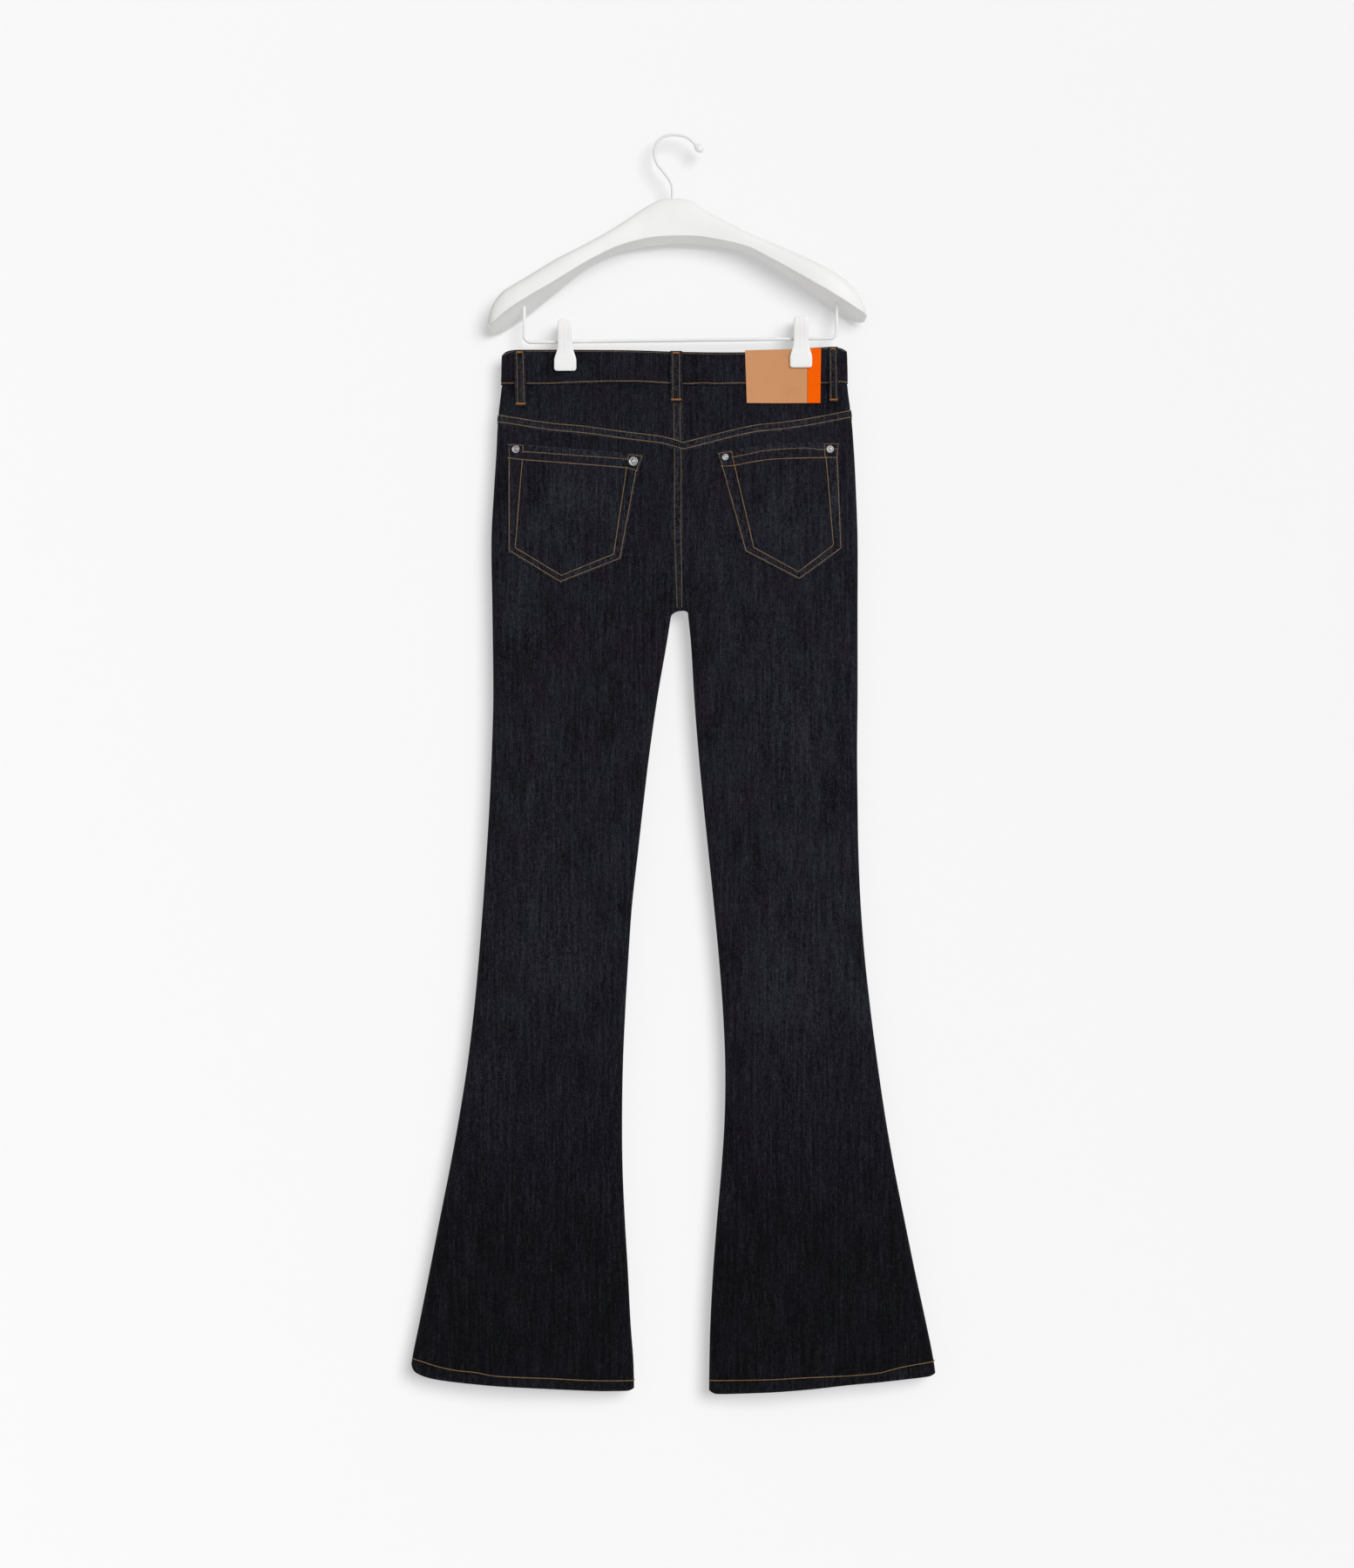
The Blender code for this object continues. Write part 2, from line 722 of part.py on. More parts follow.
def build_waistband(material):
    """Build the waistband as one strip whose ends lap at the front."""
    stations = band_stations()
    outer_rows, inner_rows = [], []
    for share in (0.0, 0.5, 1.0):
        outer_row, inner_row = [], []
        for index, (leg, value, face) in enumerate(stations):
            if leg:
                top = seam_level(leg, value, lambda x: band_top(x, face), -240.0)
                foot = seam_level(leg, value, lambda x: band_foot(x, face), FRONT_TOP)
                z = mix(top, foot, share)
                x = column_place(leg, value, z)[0]
            else:
                x = value
                z = mix(band_top(x, face), band_foot(x, face), share)
            lift = BAND_PROUD
            if index > len(stations) / 2 and face == FRONT:
                sink = 1.0 - smoothstep(UNDERLAP_RAMP[0], UNDERLAP_RAMP[1], x)
                lift -= sink * (BAND_WALL + SEAM_GAP + 0.1)
            outer_row.append(cloth_point(x, z, face, lift))
            inner_row.append(cloth_point(x, z, face, lift - BAND_WALL))
        outer_rows.append(outer_row)
        inner_rows.append(inner_row)
    return build_wall("waistband", outer_rows, inner_rows, material)


def polyline_point(points, share):
    """Point at a share of a polyline whose corners are evenly numbered."""
    place = share * (len(points) - 1)
    index = min(int(place), len(points) - 2)
    start, end = points[index], points[index + 1]
    return tuple(mix(start[i], end[i], place - index) for i in range(2))


def build_pocket(leg, material):
    """Build one patch pocket on the back panel, open along its top."""
    top, hem, foot = POCKETS[leg]
    outer_rows, inner_rows = [], []
    for down, thickness in POCKET_ROWS:
        target = top if down < 0.0 else foot
        outer_row, inner_row = [], []
        for share in POCKET_COLUMNS:
            start, end = polyline_point(hem, share), polyline_point(target, share)
            x, z = (mix(start[i], end[i], abs(down)) for i in range(2))
            inner_row.append(cloth_point(x, z, BACK, POCKET_LIFT))
            outer_row.append(cloth_point(x, z, BACK, POCKET_LIFT + thickness))
        outer_rows.append(outer_row)
        inner_rows.append(inner_row)
    return build_wall(f"back_pocket_{leg}", outer_rows, inner_rows, material)


def build_facing(leg, material):
    """Build the cloth behind a front pocket's scoop."""
    outer = leg_edges(leg, FRONT_TOP)[0]
    inward = 1.0 if leg == "left" else -1.0
    width, drop = SCOOP_WIDTH + 13.0, SCOOP_DROP + 12.0
    outer_rows, inner_rows = [], []
    for down in (0.0, 0.33, 0.67, 1.0):
        outer_row, inner_row = [], []
        for distance in (4.0, 8.0, 28.0, 48.0, 65.0, 78.0, 88.0):
            x = outer + inward * distance
            top = band_foot(x, FRONT) - SEAM_GAP
            foot = top - drop * math.sqrt(1.0 - (distance / width) ** 2)
            z = mix(top, foot, down)
            lift = -1.9 if distance < 5.0 else -1.65
            outer_row.append(cloth_point(x, z, FRONT, lift))
            inner_row.append(cloth_point(x, z, FRONT, lift - 1.0))
        outer_rows.append(outer_row)
        inner_rows.append(inner_row)
    return build_wall(f"pocket_facing_{leg}", outer_rows, inner_rows, material)


def build_zip(material):
    """Build the zip's tape and chain behind the lapped front."""
    right = CENTRE_X - FLY_UNDERLAP - 0.6
    columns = (right - 21.0, right - 10.0, right)
    levels = (-288.0, -330.0, -375.0, -408.0)
    outer_rows = [[cloth_point(x, z, FRONT, -1.55) for x in columns] for z in levels]
    inner_rows = [[cloth_point(x, z, FRONT, -2.85) for x in columns] for z in levels]
    return build_wall("fly_zip", outer_rows, inner_rows, material)


def build_patch(name, start, end, columns, material):
    """Build a flat patch over the waistband and the yoke below it."""
    lift = BAND_PROUD + SEAM_GAP + 0.1
    outer_rows, inner_rows = [], []
    for down in PATCH_ROWS:
        places = []
        for i in range(columns):
            across = mix(start, end, i / (columns - 1))
            top, foot = polyline_point(PATCH_TOP, across), polyline_point(PATCH_FOOT, across)
            places.append((mix(top[0], foot[0], down), mix(top[1], foot[1], down)))
        inner_rows.append([cloth_point(x, z, BACK, lift) for x, z in places])
        outer_rows.append([cloth_point(x, z, BACK, lift + PATCH_WALL) for x, z in places])
    return build_wall(name, outer_rows, inner_rows, material)


def build_loop(name, face, top_x, foot_x, half_width, top, foot, material):
    """Build one belt loop, tacked at both ends and standing off between them."""
    rings = []
    for share, lift in LOOP_LIFTS:
        x, z = mix(top_x, foot_x, share), mix(top, foot, share)
        places = (x - half_width, x, x + half_width)
        inner = [cloth_point(place, z, face, lift) for place in places]
        outer = [cloth_point(place, z, face, lift + LOOP_WALL) for place in places]
        outer[0].x += 0.6
        outer[2].x -= 0.6
        rings.append(inner + outer[::-1])
    return build_loft(name, rings, material)


def build_hanger_body(material):
    """Build the arched body from its sections, with a rounded upper edge."""
    first, last = HANGER_SECTIONS[0][0], HANGER_SECTIONS[-1][0]
    middle, reach = (first + last) / 2, (last - first) / 2
    rings = []
    for i in range(HANGER_STATIONS + 1):
        angle = math.pi * (i / HANGER_STATIONS - 0.5)
        share = mix(i / HANGER_STATIONS * 2.0 - 1.0, math.sin(angle), 0.7)
        x = middle + reach * share
        top, front, rear, depth = (table_value(HANGER_SECTIONS, x, column) for column in (1, 2, 3, 4))
        height = top - front
        rings.append([
            Vector((x, -depth, front)),
            Vector((x, -depth * 0.97, front + height * 0.45)),
            Vector((x, -depth * 0.82, front + height * 0.8)),
            Vector((x, -depth * 0.42, top - height * 0.02)),
            Vector((x, depth * 0.42, top)),
            Vector((x, depth * 0.84, top - height * 0.22)),
            Vector((x, depth * 0.98, top - height * 0.6)),
            Vector((x, depth, rear)),
            Vector((x, 0.0, (front + rear) / 2)),
        ])
    return build_loft("hanger_body", rings, material)


def wire_ring(centre, direction, in_plane, off_plane, sides=WIRE_SIDES):
    """Ring of points round a wire that runs in the XZ plane."""
    across = Vector((direction.z, 0.0, -direction.x)).normalized()
    ring = []
    for i in range(sides):
        angle = 2.0 * math.pi * i / sides
        ring.append(
            centre + across * (in_plane * math.cos(angle)) + Vector((0.0, off_plane * math.sin(angle), 0.0))
        )
    return ring


def smooth_route(points, steps):
    """Points along a smooth curve through a route, with steps for each span."""
    keyed = [(float(i), x, z) for i, (x, z) in enumerate(points)]
    count = (len(points) - 1) * steps
    return [
        Vector((table_value(keyed, i / steps, 1), 0.0, table_value(keyed, i / steps, 2)))
        for i in range(count + 1)
    ]


def directions(route):
    """Direction of travel at each point of a route."""
    last = len(route) - 1
    return [(route[min(i + 1, last)] - route[max(i - 1, 0)]).normalized() for i in range(last + 1)]


def build_hook(material):
    """Build the wire hook with a flattened round cap at its tip."""
    route = smooth_route(HOOK_ROUTE, HOOK_STEPS)
    headings = directions(route)
    headings[0] = Vector((0.0, 0.0, 1.0))
    rings = [wire_ring(p, d, HOOK_WIRE, HOOK_WIRE) for p, d in zip(route[:-4], headings[:-4])]
    start, heading = route[-4], headings[-4]
    for ahead, in_plane, off_plane in HOOK_CAP:
        rings.append(wire_ring(start + heading * ahead, heading, in_plane, off_plane))
    return build_loft("hanger_hook", rings, material)


def bar_route():
    """Points along the bar: down the left leg, across and up the right leg."""
    left_x, left_top, left_foot = BAR_LEFT
    right_x, right_top, right_foot = BAR_RIGHT
    route = [Vector((left_x, 0.0, left_top)), Vector((left_x, 0.0, (left_top + left_foot) / 2))]
    for angle in (180, 210, 240, 270):
        turn = math.radians(angle)
        route.append(Vector((left_x + BAR_BEND + BAR_BEND * math.cos(turn), 0.0,
                             left_foot + BAR_BEND + BAR_BEND * math.sin(turn))))
    for share in (0.2, 0.4, 0.6, 0.8):
        route.append(Vector((mix(left_x, right_x, share), 0.0, mix(left_foot, right_foot, share))))
    for angle in (270, 300, 330, 360):
        turn = math.radians(angle)
        route.append(Vector((right_x - BAR_BEND + BAR_BEND * math.cos(turn), 0.0,
                             right_foot + BAR_BEND + BAR_BEND * math.sin(turn))))
    route.append(Vector((right_x, 0.0, (right_top + right_foot) / 2)))
    route.append(Vector((right_x, 0.0, right_top)))
    return route


def underside(x, y):
    """Level of the hanger body's sloping underside."""
    front = table_value(HANGER_SECTIONS, x, 2)
    rear = table_value(HANGER_SECTIONS, x, 3)
    depth = table_value(HANGER_SECTIONS, x, 4)
    return mix(front, rear, 0.5 + 0.5 * y / depth)


def build_bar(material):
    """Build the bent wire, its two ends cut to the body's underside."""
    route = bar_route()
    rings = [wire_ring(p, d, BAR_WIRE, BAR_WIRE) for p, d in zip(route, directions(route))]
    for ring in (rings[0], rings[-1]):
        for point in ring:
            point.z = underside(point.x, point.y) - BAR_CLEARANCE
    return build_loft("hanger_bar", rings, material)


def bar_level(x):
    """Level of the bar's middle at a clip."""
    share = (x - BAR_LEFT[0]) / (BAR_RIGHT[0] - BAR_LEFT[0])
    return mix(BAR_LEFT[2], BAR_RIGHT[2], share)


def build_jaw(side, face, material):
    """Build one jaw of a clip: a handle, a neck and a wider grip."""
    grip = PINCHED_DEPTH[face] + BAND_PROUD + GRIP_GAP
    grip += PATCH_STACK if side == "right" and face == BACK else 0.0
    sections = JAW_SECTIONS + tuple(row + (grip,) for row in GRIP_SECTIONS)
    rings = []
    for down, half_width, outer, inner in sections:
        outer = max(outer, inner + 2.2)
        z = CLIP_TOP[side] - down
        profile = (
            (-half_width, inner), (-half_width, outer - JAW_BEVEL), (-half_width + JAW_BEVEL, outer),
            (half_width - JAW_BEVEL, outer), (half_width, outer - JAW_BEVEL), (half_width, inner),
        )
        rings.append([Vector((CLIP_X[side] + x, face * y, z)) for x, y in profile])
    name = "back" if face == BACK else "front"
    return build_loft(f"clip_{side}_{name}", rings, material)


def build_spring(side, material):
    """Build the space that a clip's coil spring takes round the bar."""
    x = CLIP_X[side]
    profile = (
        (SPRING_OUTER, -SPRING_LENGTH / 2), (SPRING_OUTER, SPRING_LENGTH / 2),
        (SPRING_INNER, SPRING_LENGTH / 2), (SPRING_INNER, -SPRING_LENGTH / 2),
    )
    rings = []
    for radius, along in profile:
        ring = []
        for i in range(TURNED_SIDES):
            angle = 2.0 * math.pi * i / TURNED_SIDES
            z = bar_level(x + along) + radius * math.sin(angle)
            ring.append(Vector((x + along, radius * math.cos(angle), z)))
        rings.append(ring)
    return build_loft(f"clip_{side}_spring", rings, material, closed=True)


def turned_mesh(name, profile):
    """Mesh of a turned piece that stands on the XY plane."""
    rings = []
    for radius, height in profile:
        rings.append([
            Vector((radius * math.cos(2.0 * math.pi * i / TURNED_SIDES),
                    radius * math.sin(2.0 * math.pi * i / TURNED_SIDES), height))
            for i in range(TURNED_SIDES)
        ])
    vertices, faces = loft_faces(rings, False)
    return closed_mesh(name, vertices, faces)


def place_turned(name, mesh, x, z, face, lift, material):
    """Stand a turned piece on the cloth, facing straight off it."""
    base = cloth_point(x, z, face, lift)
    normal = cloth_point(x, z, face, lift + 1.0) - base
    piece = add_object(name, mesh, material)
    piece.location = base * METRE
    piece.rotation_mode = "QUATERNION"
    piece.rotation_quaternion = normal.to_track_quat("Z", "Y")
    return piece


def loft_faces(rings, closed):
    """Vertices and faces through matching rings, capped unless they close up."""
    sides = len(rings[0])
    vertices = [point for ring in rings for point in ring]
    faces = []
    spans = len(rings) if closed else len(rings) - 1
    for r in range(spans):
        low, high = r * sides, (r + 1) % len(rings) * sides
        for i in range(sides):
            j = (i + 1) % sides
            faces.append((low + i, low + j, high + j, high + i))
    if not closed:
        faces.append(tuple(range(sides)))
        faces.append(tuple((len(rings) - 1) * sides + i for i in range(sides)))
    return vertices, faces


def build_loft(name, rings, material, closed=False):
    """Build a closed solid through matching rings of points."""
    vertices, faces = loft_faces(rings, closed)
    return add_object(name, closed_mesh(name, vertices, faces), material)


def build_wall(name, outer_rows, inner_rows, material):
    """Build a closed wall between two matching grids of points."""
    rows, columns = len(outer_rows), len(outer_rows[0])
    vertices = [point for grid in (outer_rows, inner_rows) for row in grid for point in row]
    shift = rows * columns
    faces = []
    for r in range(rows - 1):
        for c in range(columns - 1):
            first = r * columns + c
            quad = (first, first + 1, first + columns + 1, first + columns)
            faces.append(quad)
            faces.append(tuple(shift + i for i in reversed(quad)))
    rim = list(range(columns))
    rim += [r * columns + columns - 1 for r in range(1, rows)]
    rim += [(rows - 1) * columns + c for c in range(columns - 2, -1, -1)]
    rim += [r * columns for r in range(rows - 2, 0, -1)]
    for a, b in zip(rim, rim[1:] + rim[:1]):
        faces.append((b, a, shift + a, shift + b))
    return add_object(name, closed_mesh(name, vertices, faces), material)


def closed_mesh(name, vertices, faces):
    """Mesh in metres with every face turned outwards."""
    mesh = bpy.data.meshes.new(name)
    mesh.from_pydata([point * METRE for point in vertices], [], faces)
    work = bmesh.new()
    work.from_mesh(mesh)
    bmesh.ops.recalc_face_normals(work, faces=work.faces)
    if work.calc_volume(signed=True) < 0.0:
        bmesh.ops.reverse_faces(work, faces=work.faces)
    work.to_mesh(mesh)
    work.free()
    return mesh


def add_object(name, mesh, material):
    """Add one named sub-part to the scene."""
    if not mesh.materials:
        mesh.materials.append(material)
    mesh.shade_smooth()
    mesh.set_sharp_from_angle(angle=math.radians(40.0))
    piece = bpy.data.objects.new(name, mesh)
    bpy.context.scene.collection.objects.link(piece)
    return piece


def make_material(name, colour, roughness, metallic=0.0):
    """Make one plain material."""
    material = bpy.data.materials.new(name)
    material.use_nodes = True
    shader = material.node_tree.nodes["Principled BSDF"]
    shader.inputs["Base Color"].default_value = (*colour, 1.0)
    shader.inputs["Roughness"].default_value = roughness
    shader.inputs["Metallic"].default_value = metallic
    material.diffuse_color = (*colour, 1.0)
    return material


def clear_scene():
    """Remove whatever the scene holds."""
    for item in list(bpy.data.objects):
        bpy.data.objects.remove(item, do_unlink=True)


def build_garment():
    """Build every cloth piece and the trim on it."""
    for leg in ("left", "right"):
        denim = make_material(f"denim_{leg}", (0.012, 0.015, 0.026), 0.85)
        build_panel(f"back_panel_{leg}", leg, BACK, BACK_COLUMNS, BACK_TOP, yoke_seam, denim)
        build_panel(f"front_panel_{leg}", leg, FRONT, FRONT_COLUMNS, FRONT_TOP,
                    lambda x: scoop_top(leg, x), denim)
        build_yoke(leg, denim)
        build_pocket(leg, make_material(f"pocket_denim_{leg}", (0.014, 0.019, 0.032), 0.85))
        build_facing(leg, make_material(f"facing_denim_{leg}", (0.011, 0.014, 0.024), 0.85))
    band_denim = make_material("band_denim", (0.014, 0.018, 0.030), 0.85)
    build_waistband(band_denim)
    for name, face, top_x, foot_x, half_width, top, foot in LOOPS:
        build_loop(name, face, top_x, foot_x, half_width, top, foot, band_denim)
    build_zip(make_material("zip_tape", (0.012, 0.014, 0.022), 0.7))
    build_patch("waist_patch", 0.0, PATCH_END, 7, make_material("tan_patch", (0.58, 0.30, 0.14), 0.7))
    build_patch("patch_strip", STRIP_START, 1.0, 3, make_material("orange_patch", (1.0, 0.17, 0.0), 0.55))
    steel = make_material("rivet_steel", (0.42, 0.42, 0.43), 0.35, 1.0)
    rivet = turned_mesh("rivet", RIVET_PROFILE)
    for number, (x, z) in enumerate(RIVETS, start=1):
        place_turned(f"rivet_{number}", rivet, x, z, BACK, RIVET_LIFT, steel)
    button = turned_mesh("waist_button", BUTTON_PROFILE)
    button_z = (band_top(BUTTON_X, FRONT) + band_foot(BUTTON_X, FRONT)) / 2
    place_turned("waist_button", button, BUTTON_X, button_z, FRONT, BAND_PROUD + SEAM_GAP + 0.1, steel)


def build_hanger():
    """Build the hanger with its hook, bar and clips."""
    body_plastic = make_material("hanger_plastic", (0.84, 0.83, 0.80), 0.5)
    clip_plastic = make_material("clip_plastic", (0.88, 0.88, 0.87), 0.3)
    coated_wire = make_material("coated_wire", (0.86, 0.86, 0.85), 0.35)
    build_hanger_body(body_plastic)
    build_hook(make_material("hook_enamel", (0.80, 0.80, 0.79), 0.35))
    build_bar(coated_wire)
    spring_steel = make_material("spring_steel", (0.55, 0.55, 0.56), 0.3, 1.0)
    for side in ("left", "right"):
        for face in (BACK, FRONT):
            build_jaw(side, face, clip_plastic)
        build_spring(side, spring_steel)


def main():
    """Build the whole part."""
    clear_scene()
    build_garment()
    build_hanger()


main()
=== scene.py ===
"""Looks of flared jeans that hang by two clips from a plastic trouser hanger.

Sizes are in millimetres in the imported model's frame: X runs across the garment,
+Y towards its front and +Z up, and the origin lies inside the hook's crown.
Meshes are written in metres. The wearer's left is -X. The cloth's form is the one
that the part's own solids have, with finer creases, seams and edges laid on it.
"""

import logging
import math
from collections.abc import Callable, Sequence
from dataclasses import dataclass, field
from enum import Enum, IntEnum
from functools import partial

import bmesh
import bpy
import numpy as np
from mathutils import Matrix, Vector


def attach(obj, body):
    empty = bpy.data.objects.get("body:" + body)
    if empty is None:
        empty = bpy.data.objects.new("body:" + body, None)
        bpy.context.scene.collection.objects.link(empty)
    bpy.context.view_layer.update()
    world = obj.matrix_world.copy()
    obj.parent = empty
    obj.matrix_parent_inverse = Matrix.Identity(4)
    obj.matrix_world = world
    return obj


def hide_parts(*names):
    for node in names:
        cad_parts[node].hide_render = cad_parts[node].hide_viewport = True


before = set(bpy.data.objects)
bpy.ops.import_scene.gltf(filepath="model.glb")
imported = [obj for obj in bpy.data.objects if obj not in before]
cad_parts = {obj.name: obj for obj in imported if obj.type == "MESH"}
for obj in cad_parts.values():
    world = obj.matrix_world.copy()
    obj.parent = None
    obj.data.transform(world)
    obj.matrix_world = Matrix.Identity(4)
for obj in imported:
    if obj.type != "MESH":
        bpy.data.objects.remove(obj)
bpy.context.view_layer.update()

METRE = 0.001
LOG = logging.getLogger("jeans")
Array = np.ndarray
Colour = tuple[float, float, float]
Place = tuple[float, float]
Triple = tuple[float, float, float]
Socket = bpy.types.NodeSocket

WALL = 1.2
SEAM_GAP = 0.3
HALF_GAP = SEAM_GAP / 2
EDGE_WEAR = 0.25
SHARP_ANGLE = 42.0
SMALLEST = 1e-9
NO_CUT = (1.0, 1.0, 1.0)


class Face(IntEnum):
    """Side of the garment, as the sign of its Y."""

    BACK = -1
    FRONT = 1


class Leg(Enum):
    """Half of the garment, by the wearer's side."""

    LEFT = "left"
    RIGHT = "right"

    @property
    def inward(self) -> float:
        """Sign of X from the outer edge towards the centre."""
        return 1.0 if self is Leg.LEFT else -1.0


class Lie(Enum):
    """How a panel's column is placed across its leg."""

    LAP = "lap"
    OPEN = "open"
    TURN = "turn"
    FROM_EDGE = "from edge"
    ACROSS = "across"
    FROM_INNER = "from inner"
    TUCK = "tuck"


class Stitch(Enum):
    """Kind of sewn row: pitch, stitch length, thread radius, turn in degrees."""

    TOPSTITCH = (2.55, 1.95, 0.61, 0.0)
    EDGESTITCH = (2.35, 1.75, 0.54, 0.0)
    HEMSTITCH = (3.2, 3.1, 0.52, 0.0)
    BAR_TACK = (0.62, 1.7, 0.32, 80.0)
    BUTTONHOLE = (0.55, 2.2, 0.24, 90.0)


# ---------------------------------------------------------------- plain maths


def smoothstep(low: float, high: float, value: Array | float) -> Array:
    """Ease from 0 at low to 1 at high."""
    share = np.clip((np.asarray(value, dtype=float) - low) / (high - low), 0.0, 1.0)
    return share * share * (3.0 - 2.0 * share)


def mix(a: Array | float, b: Array | float, share: Array | float) -> Array | float:
    """Blend from a to b."""
    return a + (b - a) * share


def arc(centre: Place, reach: Place, start: float, end: float, count: int) -> list[Place]:
    """Place points along part of an ellipse.

    Args:
        centre: Middle of the ellipse.
        reach: Its two radii.
        start: Angle of the first point, in degrees.
        end: Angle of the last point, in degrees.
        count: Number of points.

    Returns:
        A list of places.
    """
    return [
        (centre[0] + reach[0] * math.cos(angle), centre[1] + reach[1] * math.sin(angle))
        for angle in np.radians(np.linspace(start, end, count))
    ]


def hump(distance: Array | float, width: Array | float) -> Array:
    """Smooth rise that is 1 where there is no distance and fades within a width."""
    return np.exp(-((distance / width) ** 2))


def evenly(points: Sequence[Place], step: float) -> Array:
    """Place points along straight stretches.

    Args:
        points: Corners of the line, each kept.
        step: Largest distance between two points.

    Returns:
        An array of places, one row each.
    """
    places = [points[0]]
    for start, end in zip(points, points[1:]):
        count = max(1, math.ceil(math.dist(start, end) / step))
        shares = [i / count for i in range(1, count + 1)]
        places += [(mix(start[0], end[0], share), mix(start[1], end[1], share)) for share in shares]
    return np.array(places)


@dataclass(frozen=True)
class Table:
    """Rows of numbers, read at a key by a smooth curve through them."""

    rows: tuple[tuple[float, ...], ...]

    def at(self, key: Array | float, column: int = 1) -> Array:
        """Read a column.

        Args:
            key: Values of the first column, held within its range.
            column: Which column to read.

        Returns:
            The column's value at each key.
        """
        table = np.array(self.rows, dtype=float)
        keys, values = table[:, 0], table[:, column]
        key = np.clip(np.asarray(key, dtype=float), keys[0], keys[-1])
        high = np.clip(np.searchsorted(keys, key), 1, len(keys) - 1)
        low = high - 1
        before, after = np.maximum(low - 1, 0), np.minimum(high + 1, len(keys) - 1)
        span = keys[high] - keys[low]
        share = (key - keys[low]) / span
        slope_low = (values[high] - values[before]) / (keys[high] - keys[before]) * span
        slope_high = (values[after] - values[low]) / (keys[after] - keys[low]) * span
        square, cube = share**2, share**3
        return (
            (2 * cube - 3 * square + 1) * values[low]
            + (cube - 2 * square + share) * slope_low
            + (3 * square - 2 * cube) * values[high]
            + (cube - square) * slope_high
        )

    def curve(self, steps: int) -> list[tuple[float, ...]]:
        """Points along the smooth curve through the rows, with steps for each span.

        Args:
            steps: Number of points for each span.

        Returns:
            A list of rows.
        """
        keyed = Table(tuple((float(i), *row) for i, row in enumerate(self.rows)))
        places = np.linspace(0.0, len(self.rows) - 1.0, (len(self.rows) - 1) * steps + 1)
        return list(zip(*(keyed.at(places, c + 1) for c in range(len(self.rows[0])))))


# ------------------------------------------------------------ the cloth's form


# Small creases: x and level of each end, half width, height, bend
BACK_CREASES = (
    # Under the waistband
    (-64.0, -283.0, -16.0, -291.0, 3.2, -1.05, 1.5), (-112.0, -282.5, -76.0, -286.5, 2.8, -0.75),
    (14.0, -287.0, 62.0, -281.5, 3.6, -1.10, -1.5), (12.0, -296.0, 47.0, -303.0, 3.4, 0.95, 2.0),
    (-30.0, -298.0, -6.0, -309.0, 3.0, 0.80), (96.0, -304.0, 150.0, -301.0, 3.6, -0.70, 1.0),
    # Fanning from the crotch over the seat
    (-4.0, -508.0, -66.0, -478.0, 5.5, -0.75, 3.0), (-6.0, -520.0, -84.0, -508.0, 6.5, 0.65, 3.0),
    (-12.0, -533.0, -88.0, -551.0, 7.5, -0.60, -4.0), (-2.0, -498.0, -30.0, -446.0, 4.5, 0.45, 3.0),
    (16.0, -506.0, 86.0, -482.0, 5.5, 0.75, -3.0), (19.0, -519.0, 101.0, -512.0, 6.5, -0.80, -3.0),
    (21.0, -532.0, 104.0, -558.0, 7.5, 0.65, 4.0), (15.0, -497.0, 42.0, -440.0, 4.5, -0.50, -3.0),
    # Thighs
    (-152.0, -556.0, -126.0, -742.0, 12.0, 0.55, 6.0), (-92.0, -596.0, -101.0, -818.0, 10.5, -0.55, -4.0),
    (66.0, -588.0, 84.0, -776.0, 11.0, 0.50, 5.0), (142.0, -566.0, 131.0, -802.0, 14.0, -0.60, -6.0),
    # Knees
    (-212.0, -872.0, -128.0, -903.0, 8.0, -0.45, 4.0), (-66.0, -934.0, -138.0, -951.0, 7.0, 0.40, -3.0),
    (58.0, -897.0, 124.0, -926.0, 8.5, 0.45, 3.0), (203.0, -963.0, 128.0, -990.0, 7.5, -0.40, -4.0),
    # Flares
    (-213.0, -1078.0, -262.0, -1372.0, 11.0, 0.85, 5.0),
    (-152.0, -1122.0, -171.0, -1390.0, 13.0, -0.75, -5.0),
    (-98.0, -1146.0, -90.0, -1378.0, 10.0, 0.60, 4.0), (96.0, -1108.0, 84.0, -1384.0, 10.5, -0.65, -4.0),
    (151.0, -1162.0, 163.0, -1392.0, 13.0, 0.75, 5.0), (203.0, -1096.0, 252.0, -1376.0, 11.0, -0.80, -5.0),
)
